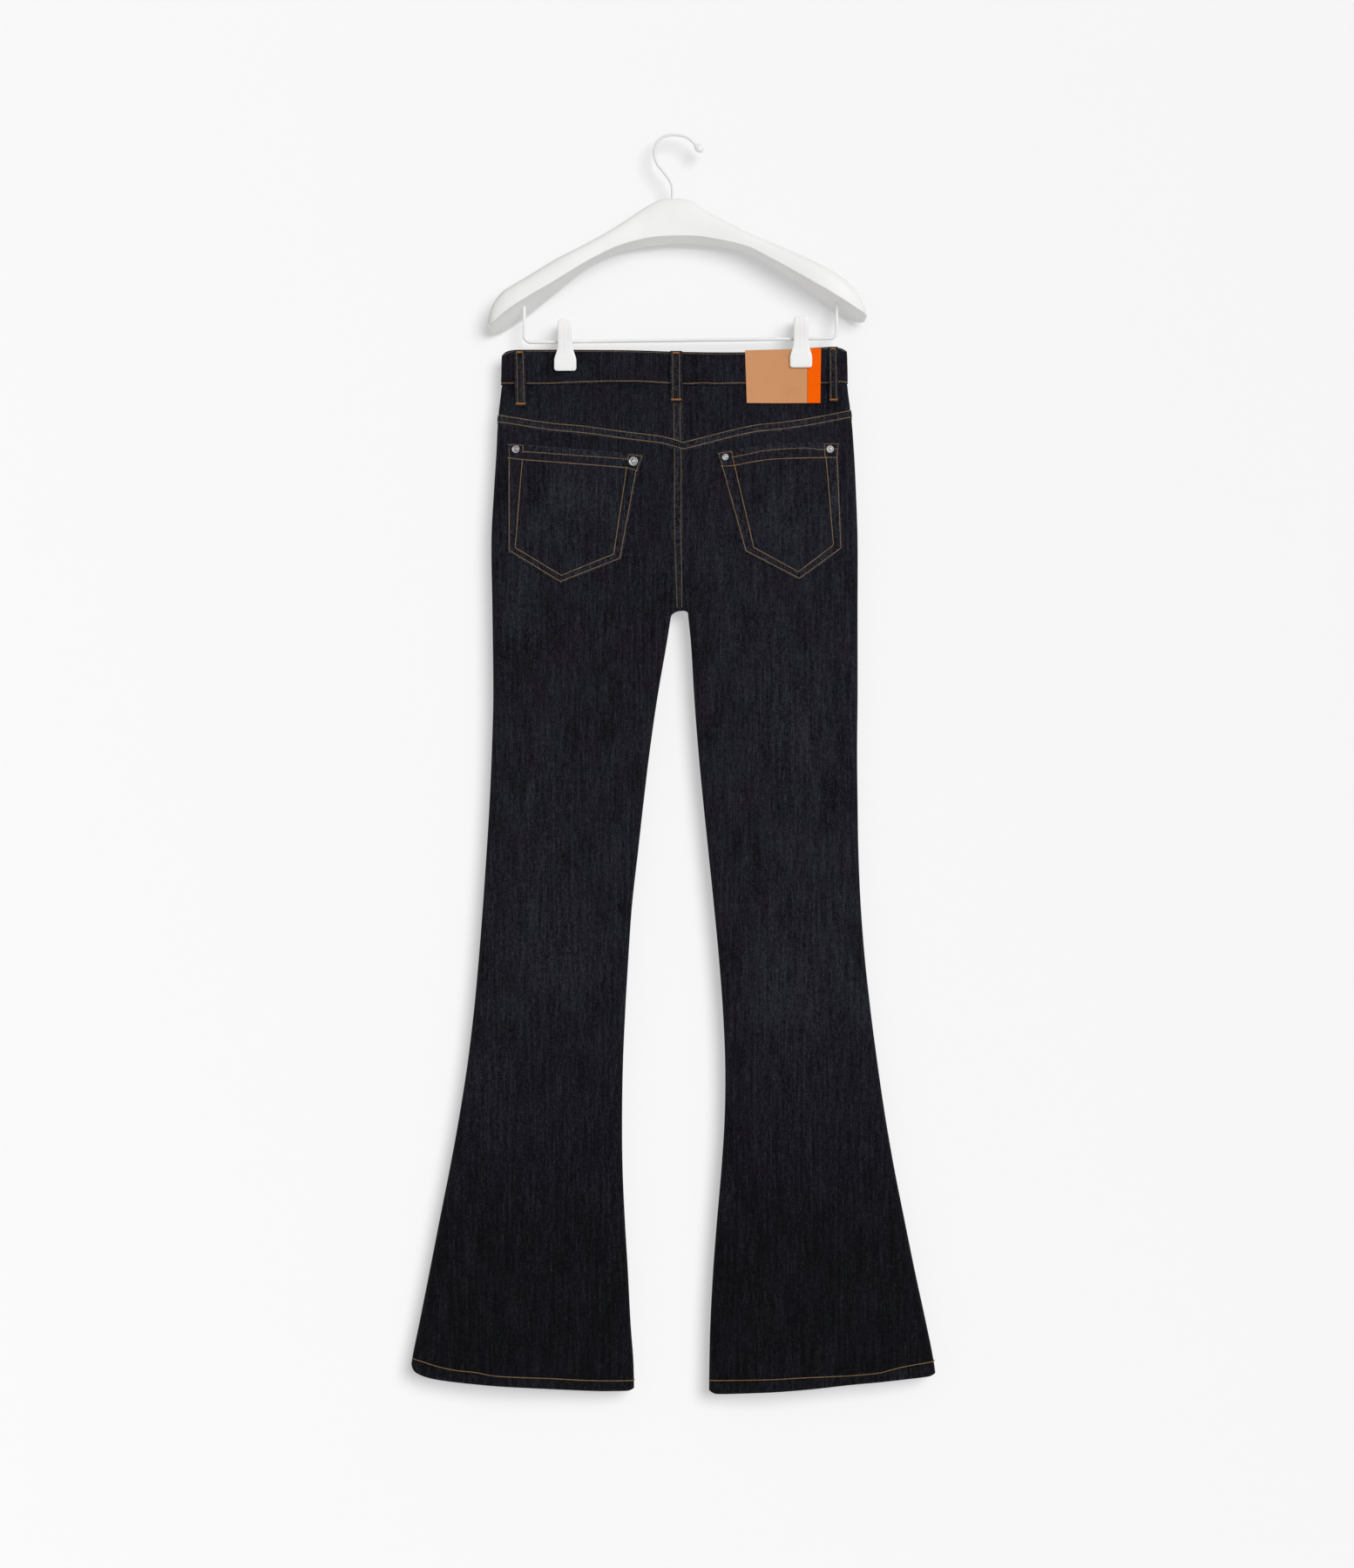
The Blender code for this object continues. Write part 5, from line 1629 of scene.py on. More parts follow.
@dataclass
class Sewing:
    """Gathers rows of stitches and sews each kind in one go."""

    finishes: Finishes
    rows: dict[tuple[str, str], list[tuple[Array, Array]]] = field(default_factory=dict)
    threads: dict[str, ThreadFinish] = field(default_factory=dict)
    step: float = 3.0
    # Height and dip of a stitch, in radii of its thread
    rise: float = 2.2
    sink: float = 1.1
    first_seed: int = 11

    def lay(self, points: Array, ways: Array, stitch: Stitch, thread: ThreadFinish) -> None:
        """Add a row through points that are already in place."""
        self.threads[thread.name] = thread
        self.rows.setdefault((stitch.name, thread.name), []).append((points, ways))

    def row(
        self,
        places: Sequence[Place],
        face: Face,
        lift: float,
        stitch: Stitch,
        thread: ThreadFinish,
        smooth: bool = False,
    ) -> None:
        """Add a row that is given on the cloth.

        Args:
            places: Corners of the row, each an x and a level.
            face: Side of the garment.
            lift: How far the row stands off the cloth's form.
            stitch: Kind of the row.
            thread: Finish of its thread.
            smooth: Whether the row curves through its corners.

        Returns:
            None.
        """
        if smooth:
            places = [(float(x), float(z)) for x, z in Table(tuple(places)).curve(8)]
        spots = evenly(places, self.step)
        self.lay(*FORM.point_and_way(spots[:, 0], spots[:, 1], face, lift), stitch, thread)

    def sew(self) -> None:
        """Make one piece for each kind of stitch and thread.

        Returns:
            None.
        """
        tree = SewingTree()
        for number, (kind, name) in enumerate(sorted(self.rows)):
            pitch, length, radius, turn = Stitch[kind].value
            lines = self.rows[kind, name]
            base = points_mesh(f"rows_{number}", [line for line, _ in lines], [way for _, way in lines])
            sizes = {
                "Pitch": pitch * METRE,
                "Stitch length": length * METRE,
                "Thread radius": radius * METRE,
                "Rise": radius * self.rise * METRE,
                "Sink": radius * self.sink * METRE,
                "Turn": math.radians(turn),
                "Seed": self.first_seed + number,
                "Thread": self.finishes.of(self.threads[name]),
            }
            hand_over(tree.run(f"stitches_{kind.lower()}_{name}", base, sizes), "denim")


# ------------------------------------------------------------ the garment


@dataclass(frozen=True)
class Fell:
    """Raised lap of a felled seam with its rows of stitches pulled in."""

    width: float = 10.6
    rise: float = 0.85
    rows: tuple[float, ...] = (1.6, 8.9)
    dip: float = 0.38
    pucker: float = 0.20
    phase: float = 0.0

    def strip(self, distance: Array, start: Place, end: Place) -> Array:
        """Share of the lap at a distance from its edge, eased at both of its sides.

        Args:
            distance: Distance from the seam's edge.
            start: Distances over which it begins.
            end: Distances past its width over which it ends.

        Returns:
            A share for each place.
        """
        low, high = self.width + end[0], self.width + end[1]
        return smoothstep(*start, distance) * (1.0 - smoothstep(low, high, distance))

    def wave(self, along: Array) -> Array:
        """Gather of the cloth along the seam, from -1 to 1."""
        return np.sin(along / 1.19 + 1.5 * np.sin(along / 11.0 + self.phase) + self.phase)

    def height(self, distance: Array, along: Array) -> Array:
        """Height over the cloth at a distance from the seam's edge.

        Args:
            distance: Distance from the seam's edge.
            along: Place along the seam.

        Returns:
            A height for each place.
        """
        body = self.strip(distance, (-0.2, 0.7), (-1.4, 1.4))
        dips = sum(hump(distance - row, 0.95) for row in self.rows)
        gather = self.wave(along) + 0.6 * np.sin(along / 2.31 + 2.0 * self.phase)
        span = self.strip(distance, (0.5, 2.0), (1.0, 5.0))
        return self.rise * body - self.dip * dips * (distance > -1.0) + self.pucker * gather * span

    def wear(self, distance: Array, along: Array) -> Array:
        """Wear of the lap, most on its edge and between its rows; the denim also paints shade from it in
        the troughs between puckers.
        """
        share = 0.5 + 0.5 * self.wave(along)
        return self.strip(distance, (-0.2, 0.6), (-1.0, 1.5)) * (0.34 + 0.42 * share)


@dataclass
class LegPanel:
    """One back or front panel, from the yoke or the waistband to the hem."""

    leg: Leg
    face: Face
    cut_size: Triple
    side_arc: float = 6.0
    hem_height: float = 12.6
    hem_wall: float = 2.4
    hem_rise_out: float = 0.42
    hem_groove: float = 0.45
    hem_rope: float = 0.16
    hem_dent: float = 0.25
    back_top: float = -330.0
    front_top: float = -280.0
    top_strip: float = 13.0
    row_step: float = 3.4
    pull_end: float = -490.0
    # Scale of the denim's colours, which paints side light: lighter on the right leg, darker on the left
    dye_and_side_light: float = 1.0
    hem_pull: tuple[float, float] = (-1380.0, -1250.0)
    centre_gap: float = 0.02
    scoop_width: float = 80.0
    scoop_drop: float = 68.0
    fly_underlap: float = 10.0
    fly_recess: float = WALL + SEAM_GAP
    fly_end: tuple[float, float] = (-430.0, -415.0)
    fly_recess_end: tuple[float, float] = (-460.0, -430.0)
    hem_levels: tuple[float, float] = (-1394.0, -1397.5)
    # Hem's rise above its lowest level, by the share of the width from the outer fold
    hem_rises: tuple[Table, Table] = (
        Table((
            (0.0, 28.0), (0.02, 21.0), (0.08, 15.0), (0.17, 11.5), (0.32, 8.0), (0.55, 4.5),
            (0.77, 1.0), (0.97, 0.0), (1.0, 1.5),
        )),
        Table((
            (0.0, 22.0), (0.03, 19.5), (0.13, 17.0), (0.36, 11.5), (0.58, 6.0), (0.80, 2.2),
            (0.97, 0.0), (1.0, 2.5),
        )),
    )
    # Rows that bend round the crotch's arch: level out in the leg, level at its inner edge
    arch_levels: tuple[Place, ...] = (
        (-490.0, -490.0), (-507.0, -514.0), (-517.0, -523.5), (-525.0, -528.0), (-531.0, -529.2),
        (-537.0, -531.5), (-544.0, -535.0), (-556.0, -548.0), (-585.0, -585.0),
    )

    @property
    def is_left(self) -> bool:
        """Whether the panel is on the wearer's left."""
        return self.leg is Leg.LEFT

    @property
    def top(self) -> float:
        """Level that the panel's first row has before it is pulled to its seam."""
        return self.back_top if self.face is Face.BACK else self.front_top

    @property
    def hem(self) -> float:
        """Lowest level of the hem."""
        return self.hem_levels[0 if self.is_left else 1]

    def columns(self) -> list[tuple[Lie, float]]:
        """List the columns from the side seam to the inner edge.

        Returns:
            How each column lies, and its value.
        """
        if self.face is Face.BACK:
            columns = [(Lie.LAP, t) for t in (0.0, 0.12, 0.3, 0.5, 0.75)]
            columns += [(Lie.TURN, t) for t in (0.0, 0.18, 0.36, 0.54, 0.70, 0.85, 1.0)]
            columns += [(Lie.ACROSS, t) for t in np.linspace(0.018, 0.88, 46)]
        else:
            columns = [(Lie.OPEN, t) for t in (0.0, 0.25, 0.55, 1.0)]
            angles = np.radians(np.linspace(8.5, 88.5, 21))
            columns += [(Lie.FROM_EDGE, self.scoop_width * math.sin(angle)) for angle in angles]
            columns += [(Lie.FROM_EDGE, self.scoop_width + 0.6)]
            columns += [(Lie.ACROSS, t) for t in np.linspace(0.53, 0.88, 19)]
        columns += [(Lie.FROM_INNER, d) for d in (17.0, 14.6, 12.8, 11.6, 10.4, 9.2, 8.2)]
        columns += [(Lie.TUCK, t) for t in (1.0, 0.86, 0.72, 0.58, 0.44, 0.30, 0.16, 0.0)]
        return columns

    def levels(self) -> Array:
        """List the rows: level out in the leg, level at its inner edge, thickness.

        Returns:
            An array with one row for each row of the panel.
        """
        edge = self.hem + self.hem_height
        first = self.top - self.top_strip
        spans = [(self.top, self.top, 14), (first, first, round((first - self.pull_end) / self.row_step))]
        spans += [(far, near, 3) for far, near in self.arch_levels[:-1]]
        spans += [(*self.arch_levels[-1], 150), (self.hem + 34.0, self.hem + 34.0, 10)]
        spans += [(edge + 6.0, edge + 6.0, 5), (edge + 1.0, edge + 1.0, 1), (edge, edge, 12)]
        spans += [(self.hem, self.hem, 1)]
        rows = []
        for (far, near, steps), (next_far, next_near, _) in zip(spans, spans[1:]):
            rows += [(mix(far, next_far, i / steps), mix(near, next_near, i / steps)) for i in range(steps)]
        rows.append((self.hem, self.hem))
        return np.array([(far, near, self.hem_wall if far <= edge + 0.01 else WALL) for far, near in rows])

    def place(self, column: tuple[Lie, float], z: Array) -> tuple[Array, int]:
        """Place a column across the leg.

        Args:
            column: How the column lies, and its value.
            z: Levels at which it is wanted.

        Returns:
            Its x at each level, and -1 where it lies past the outer fold or else 1.
        """
        lie, value = column
        outer, inner = FORM.outer_edge(self.is_left, z), FORM.inner_edge(self.is_left, z)
        fold, inward = FORM.depths.at(z, 1), self.leg.inward
        if lie in (Lie.LAP, Lie.OPEN, Lie.TURN):
            angle = {
                Lie.LAP: (1.0 - value) * (self.side_arc - HALF_GAP) / fold,
                Lie.OPEN: mix((self.side_arc + HALF_GAP) / fold, math.pi / 2, value),
                Lie.TURN: value * math.pi / 2,
            }[lie]
            return outer + inward * fold * (1.0 - np.cos(angle)), -1 if lie is Lie.LAP else 1
        if lie is Lie.FROM_EDGE:
            return outer + inward * np.maximum(value, fold), 1
        if lie is Lie.FROM_INNER:
            return inner - inward * value, 1
        if lie is Lie.TUCK:
            edge = fold * (1.0 - math.cos(value * math.pi / 2))
            edge = np.maximum(edge, np.where(z >= FORM.crotch_z, self.centre_gap, 0.0))
            return inner - inward * edge, 1
        return mix(outer + inward * fold, inner - inward * fold, value), 1

    def meet(self, column: tuple[Lie, float], edge: Callable[[Array], Array], start: float) -> float:
        """Find where a column meets an edge.

        Args:
            column: How the column lies, and its value.
            edge: Level of the edge at each x.
            start: Level near the edge.

        Returns:
            The level where they meet.
        """
        level = start
        for _ in range(5):
            level = float(edge(self.place(column, np.array(level))[0]))
        return level

    def upper_edge(self, x: Array) -> Array:
        """Level of the panel's top seam, with the front's pocket scoop.

        Args:
            x: Places across the garment.

        Returns:
            A level for each place.
        """
        if self.face is Face.BACK:
            return FORM.yoke_seam(x)
        outer = FORM.outer_edge(self.is_left, self.front_top)
        share = np.minimum(np.abs(x - outer) / self.scoop_width, 1.0)
        return FORM.band_foot(x, self.face) - self.scoop_drop * np.sqrt(1.0 - share * share)

    def grid(self) -> tuple[Array, Array, Array, Array, Array]:
        """Lay out the panel.

        Returns:
            Grids of x, level, face and distance below the top seam, and the
            thickness of each row.
        """
        far, near, thickness = self.levels().T
        xs, zs, faces, below = [], [], [], []
        for column in self.columns():
            lie, value = column
            nearness = 1.0 if lie in (Lie.TUCK, Lie.FROM_INNER) else 0.0
            nearness = float(smoothstep(0.45, 1.0, value)) if lie is Lie.ACROSS else nearness
            level = mix(far, near, nearness)
            seam = self.meet(column, self.upper_edge, self.top)
            pull = np.clip((level - self.pull_end) / (self.top - self.pull_end), 0.0, 1.0)
            z = level + pull * (seam - SEAM_GAP - self.top)
            rise = self.hem_rise(self.place(column, level)[0], level)
            z = z + (1.0 - smoothstep(*self.hem_pull, level)) * rise
            x, side = self.place(column, z)
            xs.append(x)
            zs.append(z)
            faces.append(np.full(len(z), int(self.face) * side))
            below.append(seam - SEAM_GAP - z)
        return (*(np.stack(part, axis=1) for part in (xs, zs, faces, below)), thickness)

    def hem_rise(self, x: Array, z: Array) -> Array:
        """Rise of the hem's edge above its lowest level.

        Args:
            x: Places across the garment.
            z: Levels.

        Returns:
            A rise for each place.
        """
        outer, inner = FORM.outer_edge(self.is_left, z), FORM.inner_edge(self.is_left, z)
        rises = self.hem_rises[0 if self.is_left else 1]
        return rises.at(np.clip((x - outer) / (inner - outer), 0.0, 1.0))

    def seams(self, x: Array, z: Array, below: Array, above_hem: Array) -> tuple[Array, Array]:
        """Work out the relief and wear along the panel's seams and hem.

        Args:
            x: Places across the garment.
            z: Levels.
            below: Distance below the panel's top seam.
            above_hem: Distance above the hem's edge.

        Returns:
            How far each place is lifted, and its wear from 0 to 1.
        """
        lift, wear = np.zeros_like(x), np.zeros_like(x)
        centred = smoothstep(FORM.crotch_z + 4.0, FORM.crotch_z + 24.0, z)
        middle = np.abs(FORM.centre_x - x)
        # Each fell: distance from its edge, place along it, share of its height and of its wear
        fells: list[tuple[Fell, Array, Array, Array | float, Array | float]] = []
        if self.face is Face.BACK:
            fells.append((Fell(phase=0.4 if self.is_left else 2.1), below, x, 1.0, 1.0))
            if self.is_left:
                fade = centred * smoothstep(9.0, 13.0, below)
                fells.append((Fell(10.4, 0.75, (2.5, 9.7), phase=1.3), middle, z, fade, fade))
        else:
            if self.is_left:
                lower = 1.0 - smoothstep(self.fly_end[0] - 6.0, self.fly_end[0] + 6.0, z)
                share = centred * lower
                fells.append((Fell(9.6, 0.55, (2.2, 8.4), phase=0.9), middle, z, share, share * 0.8))
                wear += 0.35 * hump(middle, 1.2) * (1.0 - lower)
            from_edge = np.abs(x - FORM.outer_edge(self.is_left, self.front_top))
            scoop = np.where(from_edge < self.scoop_width, 1.0, 0.0)
            fells.append((Fell(9.0, 0.35, (2.2, 8.0), 0.30, 0.12, 0.7), below, x, scoop, scoop * 0.9))
        for fell, distance, along, height_share, wear_share in fells:
            lift += fell.height(distance, along) * height_share
            wear += fell.wear(distance, along) * wear_share
        line = above_hem - self.hem_height + 0.6
        rope = np.sin((x + above_hem * 0.9) / 1.45 + 1.3 * np.sin(x / 17.0))
        inside = 1.0 - smoothstep(-0.8, 0.5, line)
        lift += self.hem_rise_out * inside - self.hem_groove * hump(line, 1.0)
        lift += self.hem_rope * rope * inside
        lift -= self.hem_dent * hump(line - 3.0, 2.5) * (0.6 + 0.4 * np.sin(x / 3.1))
        wear += inside * (0.10 + 0.16 * (0.5 + 0.5 * rope)) + 0.3 * hump(above_hem, 0.9)
        return lift, np.clip(wear, 0.0, 1.0)

    def build(self, finishes: Finishes) -> bpy.types.Object:
        """Build the panel and hand it to the frame.

        Args:
            finishes: Finishes that the pieces share.

        Returns:
            The piece.
        """
        x, z, face, below, thickness = self.grid()
        lift, wear = self.seams(x, z, below, z - (self.hem + self.hem_rise(x, z)))
        wear = np.clip(wear + FORM.rubbed(x, z, face), 0.0, 1.0)
        lift = lift * smoothstep(0.05, 0.6, FORM.edge_share(x, z) + (z > FORM.crotch_z) * 1.0)
        if self.face is Face.FRONT and not self.is_left:
            x[:, -1] -= self.fly_underlap * (z[:, -1] > self.fly_end[0] + 2.0)
            recess = self.fly_recess * smoothstep(*self.fly_recess_end, z)
            lift = lift - recess * (1.0 - smoothstep(FORM.centre_x + 1.0, FORM.centre_x + 8.0, x))
        outer = FORM.point(x, z, face, lift)
        inner = FORM.point(x, z, face, np.minimum(lift, 0.4) - thickness[:, None])
        seam = z[:, -1] <= FORM.crotch_z
        for grid in (outer, inner):
            grid[seam, -1, 1] = self.face * HALF_GAP
        side = self.face.name.lower()
        shift = (0.31 * self.leg.inward, 0.17 * self.face)
        finish = DenimFinish(f"indigo_denim_{side}_{self.leg.value}", dye_and_side_light=self.dye_and_side_light, shift=shift)
        cut, edging = self.cut_places(outer, x, z), Edging(0.14, 0.75, 0.12, 0.05)
        name = f"cloth_{side}_{self.leg.value}"
        piece = cloth_wall(name, outer, inner, cut, wear, finishes.of(finish), edging)
        hand_over(piece, "denim", f"{side}_panel_{self.leg.value}")
        return piece

    def cut_places(self, outer: Array, x: Array, z: Array) -> Array:
        """Unroll the panel: along each row by its length, and down by level.

        Args:
            outer: Grid of points on the outer side.
            x: Places across the garment.
            z: Levels.

        Returns:
            Grid of places in the flat cut.
        """
        run = np.linalg.norm(np.diff(outer, axis=1), axis=-1)
        along = np.concatenate([np.zeros((len(outer), 1)), np.cumsum(run, axis=1)], axis=1)
        along = along * self.leg.inward
        middle = outer.shape[1] // 2
        along = along - along[:, middle : middle + 1] + x[:, middle : middle + 1]
        return np.stack([along, z], axis=-1)


@dataclass
class Yoke:
    """One of the two yoke pieces under the back waistband."""

    leg: Leg
    cut_size: Triple
    rows: int = 26
    # Depth or height of each and how far it reaches
    foot_dip: Place = (0.35, 1.6)
    top_dip: Place = (0.30, 1.8)
    puckers: Place = (0.16, 6.0)
    seam_wear: Place = (0.12, 4.0)

    def build(self, finishes: Finishes) -> bpy.types.Object:
        """Build the yoke and hand it to the frame.

        Args:
            finishes: Finishes that the pieces share.

        Returns:
            The piece.
        """
        panel = LegPanel(self.leg, Face.BACK, self.cut_size)
        band_foot = partial(FORM.band_foot, face=Face.BACK)
        xs, zs, faces = [], [], []
        for column in panel.columns():
            top = panel.meet(column, band_foot, panel.front_top)
            foot = panel.meet(column, FORM.yoke_seam, panel.back_top)
            z = np.linspace(top - SEAM_GAP, foot, self.rows)
            x, side = panel.place(column, z)
            xs.append(x)
            zs.append(z)
            faces.append(np.full(self.rows, int(Face.BACK) * side))
        x, z, face = (np.stack(part, axis=1) for part in (xs, zs, faces))
        from_foot, from_top = z - FORM.yoke_seam(x), band_foot(x) - z
        lift = -self.foot_dip[0] * hump(from_foot, self.foot_dip[1])
        lift -= self.top_dip[0] * hump(from_top, self.top_dip[1])
        gather = np.sin(x / 1.9 + 1.2 * np.sin(x / 13.0))
        lift += self.puckers[0] * gather * hump(from_top, self.puckers[1])
        wear = self.seam_wear[0] * hump(from_foot, self.seam_wear[1])
        if self.leg is Leg.LEFT:
            seam = Fell(10.6, 0.75, (3.4, 10.6), phase=2.6)
            lift = lift + seam.height(FORM.centre_x - x, z)
            wear = wear + seam.wear(FORM.centre_x - x, z)
        outer = FORM.point(x, z, face, lift)
        inner = FORM.point(x, z, face, np.minimum(lift, 0.3) - WALL)
        name = f"yoke_{self.leg.value}"
        denim = finishes.of(DenimFinish(f"indigo_denim_{name}", shift=(0.52 * self.leg.inward, 0.43)))
        cut, edging = panel.cut_places(outer, x, z), Edging(0.12, 0.14, 0.12, 0.12)
        piece = cloth_wall(f"cloth_{name}", outer, inner, cut, wear, denim, edging)
        hand_over(piece, "denim", name)
        return piece


@dataclass
class Waistband:
    """One strip round the waist, open at the front where its ends lap."""

    wall: float = 2.4
    proud: float = 0.8
    flap_end: float = 9.0
    underlap_end: float = -28.0
    underlap_ramp: tuple[float, float] = (10.0, 26.0)
    turn_x: tuple[float, float] = (-187.0, 183.5)
    # Rows of stitches above its lower edge and below its upper one
    seam_row: float = 2.7
    edge_row: float = 1.9
    row_dip: float = 0.32
    pucker: float = 0.15
    edge_radius: float = 1.0
    step: float = 3.2
    cut_size: tuple[float, float] = (0.825, 0.039)

    def stations(self) -> list[tuple[Leg | None, float, Face]]:
        """List the places along the strip: a leg and its turn, or an x, and the face.

        Returns:
            A list of places from the lapped end to the one under it.
        """

        def straight(start: float, end: float, face: Face) -> list[tuple[Leg | None, float, Face]]:
            """List the places of a stretch between the sides."""
            count = max(2, round(abs(end - start) / self.step))
            return [(None, float(x), face) for x in np.linspace(start, end, count + 1)]

        turns = (1.0, 0.8, 0.6, 0.4, 0.2, 0.0)
        left, right = self.turn_x
        stations = straight(self.flap_end, left, Face.FRONT)
        stations += [(Leg.LEFT, turn, Face.FRONT) for turn in turns]
        stations += [(Leg.LEFT, turn, Face.BACK) for turn in turns[-2::-1]]
        stations += straight(left, right, Face.BACK)
        stations += [(Leg.RIGHT, turn, Face.BACK) for turn in turns]
        stations += [(Leg.RIGHT, turn, Face.FRONT) for turn in turns[-2::-1]]
        stations += straight(right, self.underlap_end, Face.FRONT)
        return stations

    def section(self) -> list[Triple]:
        """List the points round the strip: share down, distance past that, depth.

        Returns:
            A list of points.
        """
        outer = [(share, 0.0, 0.0) for share in np.linspace(0.07, 0.93, 13)]
        r, wall = self.edge_radius, self.wall
        foot = [(1.0, 0.5 * r, 0.06 * wall), (1.0, 0.10 * r, 0.24 * wall), (1.0, 0.0, 0.5 * wall)]
        foot += [(1.0, 0.15 * r, 0.78 * wall), (1.0, 0.6 * r, wall)]
        inner = [(share, 0.0, wall) for share in (0.8, 0.6, 0.4, 0.2)]
        top = [(0.0, -0.6 * r, wall), (0.0, -0.15 * r, 0.78 * wall), (0.0, 0.0, 0.5 * wall)]
        top += [(0.0, -0.10 * r, 0.24 * wall), (0.0, -0.5 * r, 0.06 * wall), (0.0, -1.6, 0.0)]
        return outer + [(1.0, 1.6, 0.0)] + foot + inner + top

    def build(self, finishes: Finishes) -> bpy.types.Object:
        """Build the strip and hand it to the frame.

        Args:
            finishes: Finishes that the pieces share.

        Returns:
            The piece.
        """
        stations = self.stations()
        share, past, depth = np.array(self.section()).T
        panels = {leg: LegPanel(leg, Face.BACK, NO_CUT) for leg in Leg}
        rings, cuts, wears = [], [], []
        along, before = 0.0, None
        for index, (leg, value, face) in enumerate(stations):
            if leg:
                turn = (Lie.TURN, value)
                top, foot = (
                    panels[leg].meet(turn, partial(edge, face=face), start)
                    for edge, start in ((FORM.band_top, -240.0), (FORM.band_foot, -280.0))
                )
                z = mix(top, foot, share) + past
                x = panels[leg].place(turn, z)[0]
            else:
                x = np.full(len(share), value)
                z = mix(FORM.band_top(x, face), FORM.band_foot(x, face), share) + past
            gather = np.sin(along / 1.25 + 1.4 * np.sin(along / 14.0)) + 0.5 * np.sin(along / 2.7)
            below, above = z.max() - z, z - z.min()
            lift = self.proud - depth
            if face is Face.FRONT and index > len(stations) / 2:
                lift = lift - (1.0 - smoothstep(*self.underlap_ramp, x)) * (self.wall + SEAM_GAP + 0.1)
            dip = hump(above - self.seam_row, 1.1)
            dip = dip + 0.6 * hump(below - self.edge_row, 0.9)
            puff = self.pucker * gather * hump(above - self.seam_row - 2.0, 4.0)
            points = FORM.point(x, z, face, lift + np.where(depth < 0.3, puff - self.row_dip * dip, 0.0))
            middle = points[6]
            if before is not None:
                along += float(np.linalg.norm(middle - before))
            before = middle
            rings.append(points)
            cuts.append(np.stack([np.full(len(share), along), z], axis=-1))
            edge_wear = 0.30 * hump(below, 1.0) + 0.22 * hump(above, 1.4)
            wears.append(np.clip(edge_wear * (0.7 + 0.3 * gather), 0.0, 1.0))
        denim = finishes.of(DenimFinish("indigo_denim_band", shift=(0.05, 0.71)))
        piece = loft("cloth_waistband", rings, denim, cut=cuts, wear=wears, sharp=60.0)
        hand_over(piece, "denim", "waistband")
        return piece


def distance_to(lines: Sequence[Sequence[Place]], x: Array, z: Array, closed: bool = False) -> Array:
    """Least distance from places to any of some lines.

    Args:
        lines: Corners of each line.
        x: Places across the garment.
        z: Levels.
        closed: Whether each line ends where it starts.

    Returns:
        A distance for each place.
    """
    best = np.full(np.shape(x), 1e9)
    for line in lines:
        ends = list(zip(line, line[1:])) + ([(line[-1], line[0])] if closed else [])
        for (ax, az), (bx, bz) in ends:
            run = (bx - ax) ** 2 + (bz - az) ** 2
            share = np.clip(((x - ax) * (bx - ax) + (z - az) * (bz - az)) / max(run, SMALLEST), 0.0, 1.0)
            best = np.minimum(best, np.hypot(x - mix(ax, bx, share), z - mix(az, bz, share)))
    return best


def along_line(points: Sequence[Place], share: Array) -> Array:
    """Places at shares of a line whose corners are evenly numbered."""
    keys = np.linspace(0.0, 1.0, len(points))
    return np.stack([np.interp(share, keys, [p[i] for p in points]) for i in range(2)], axis=-1)


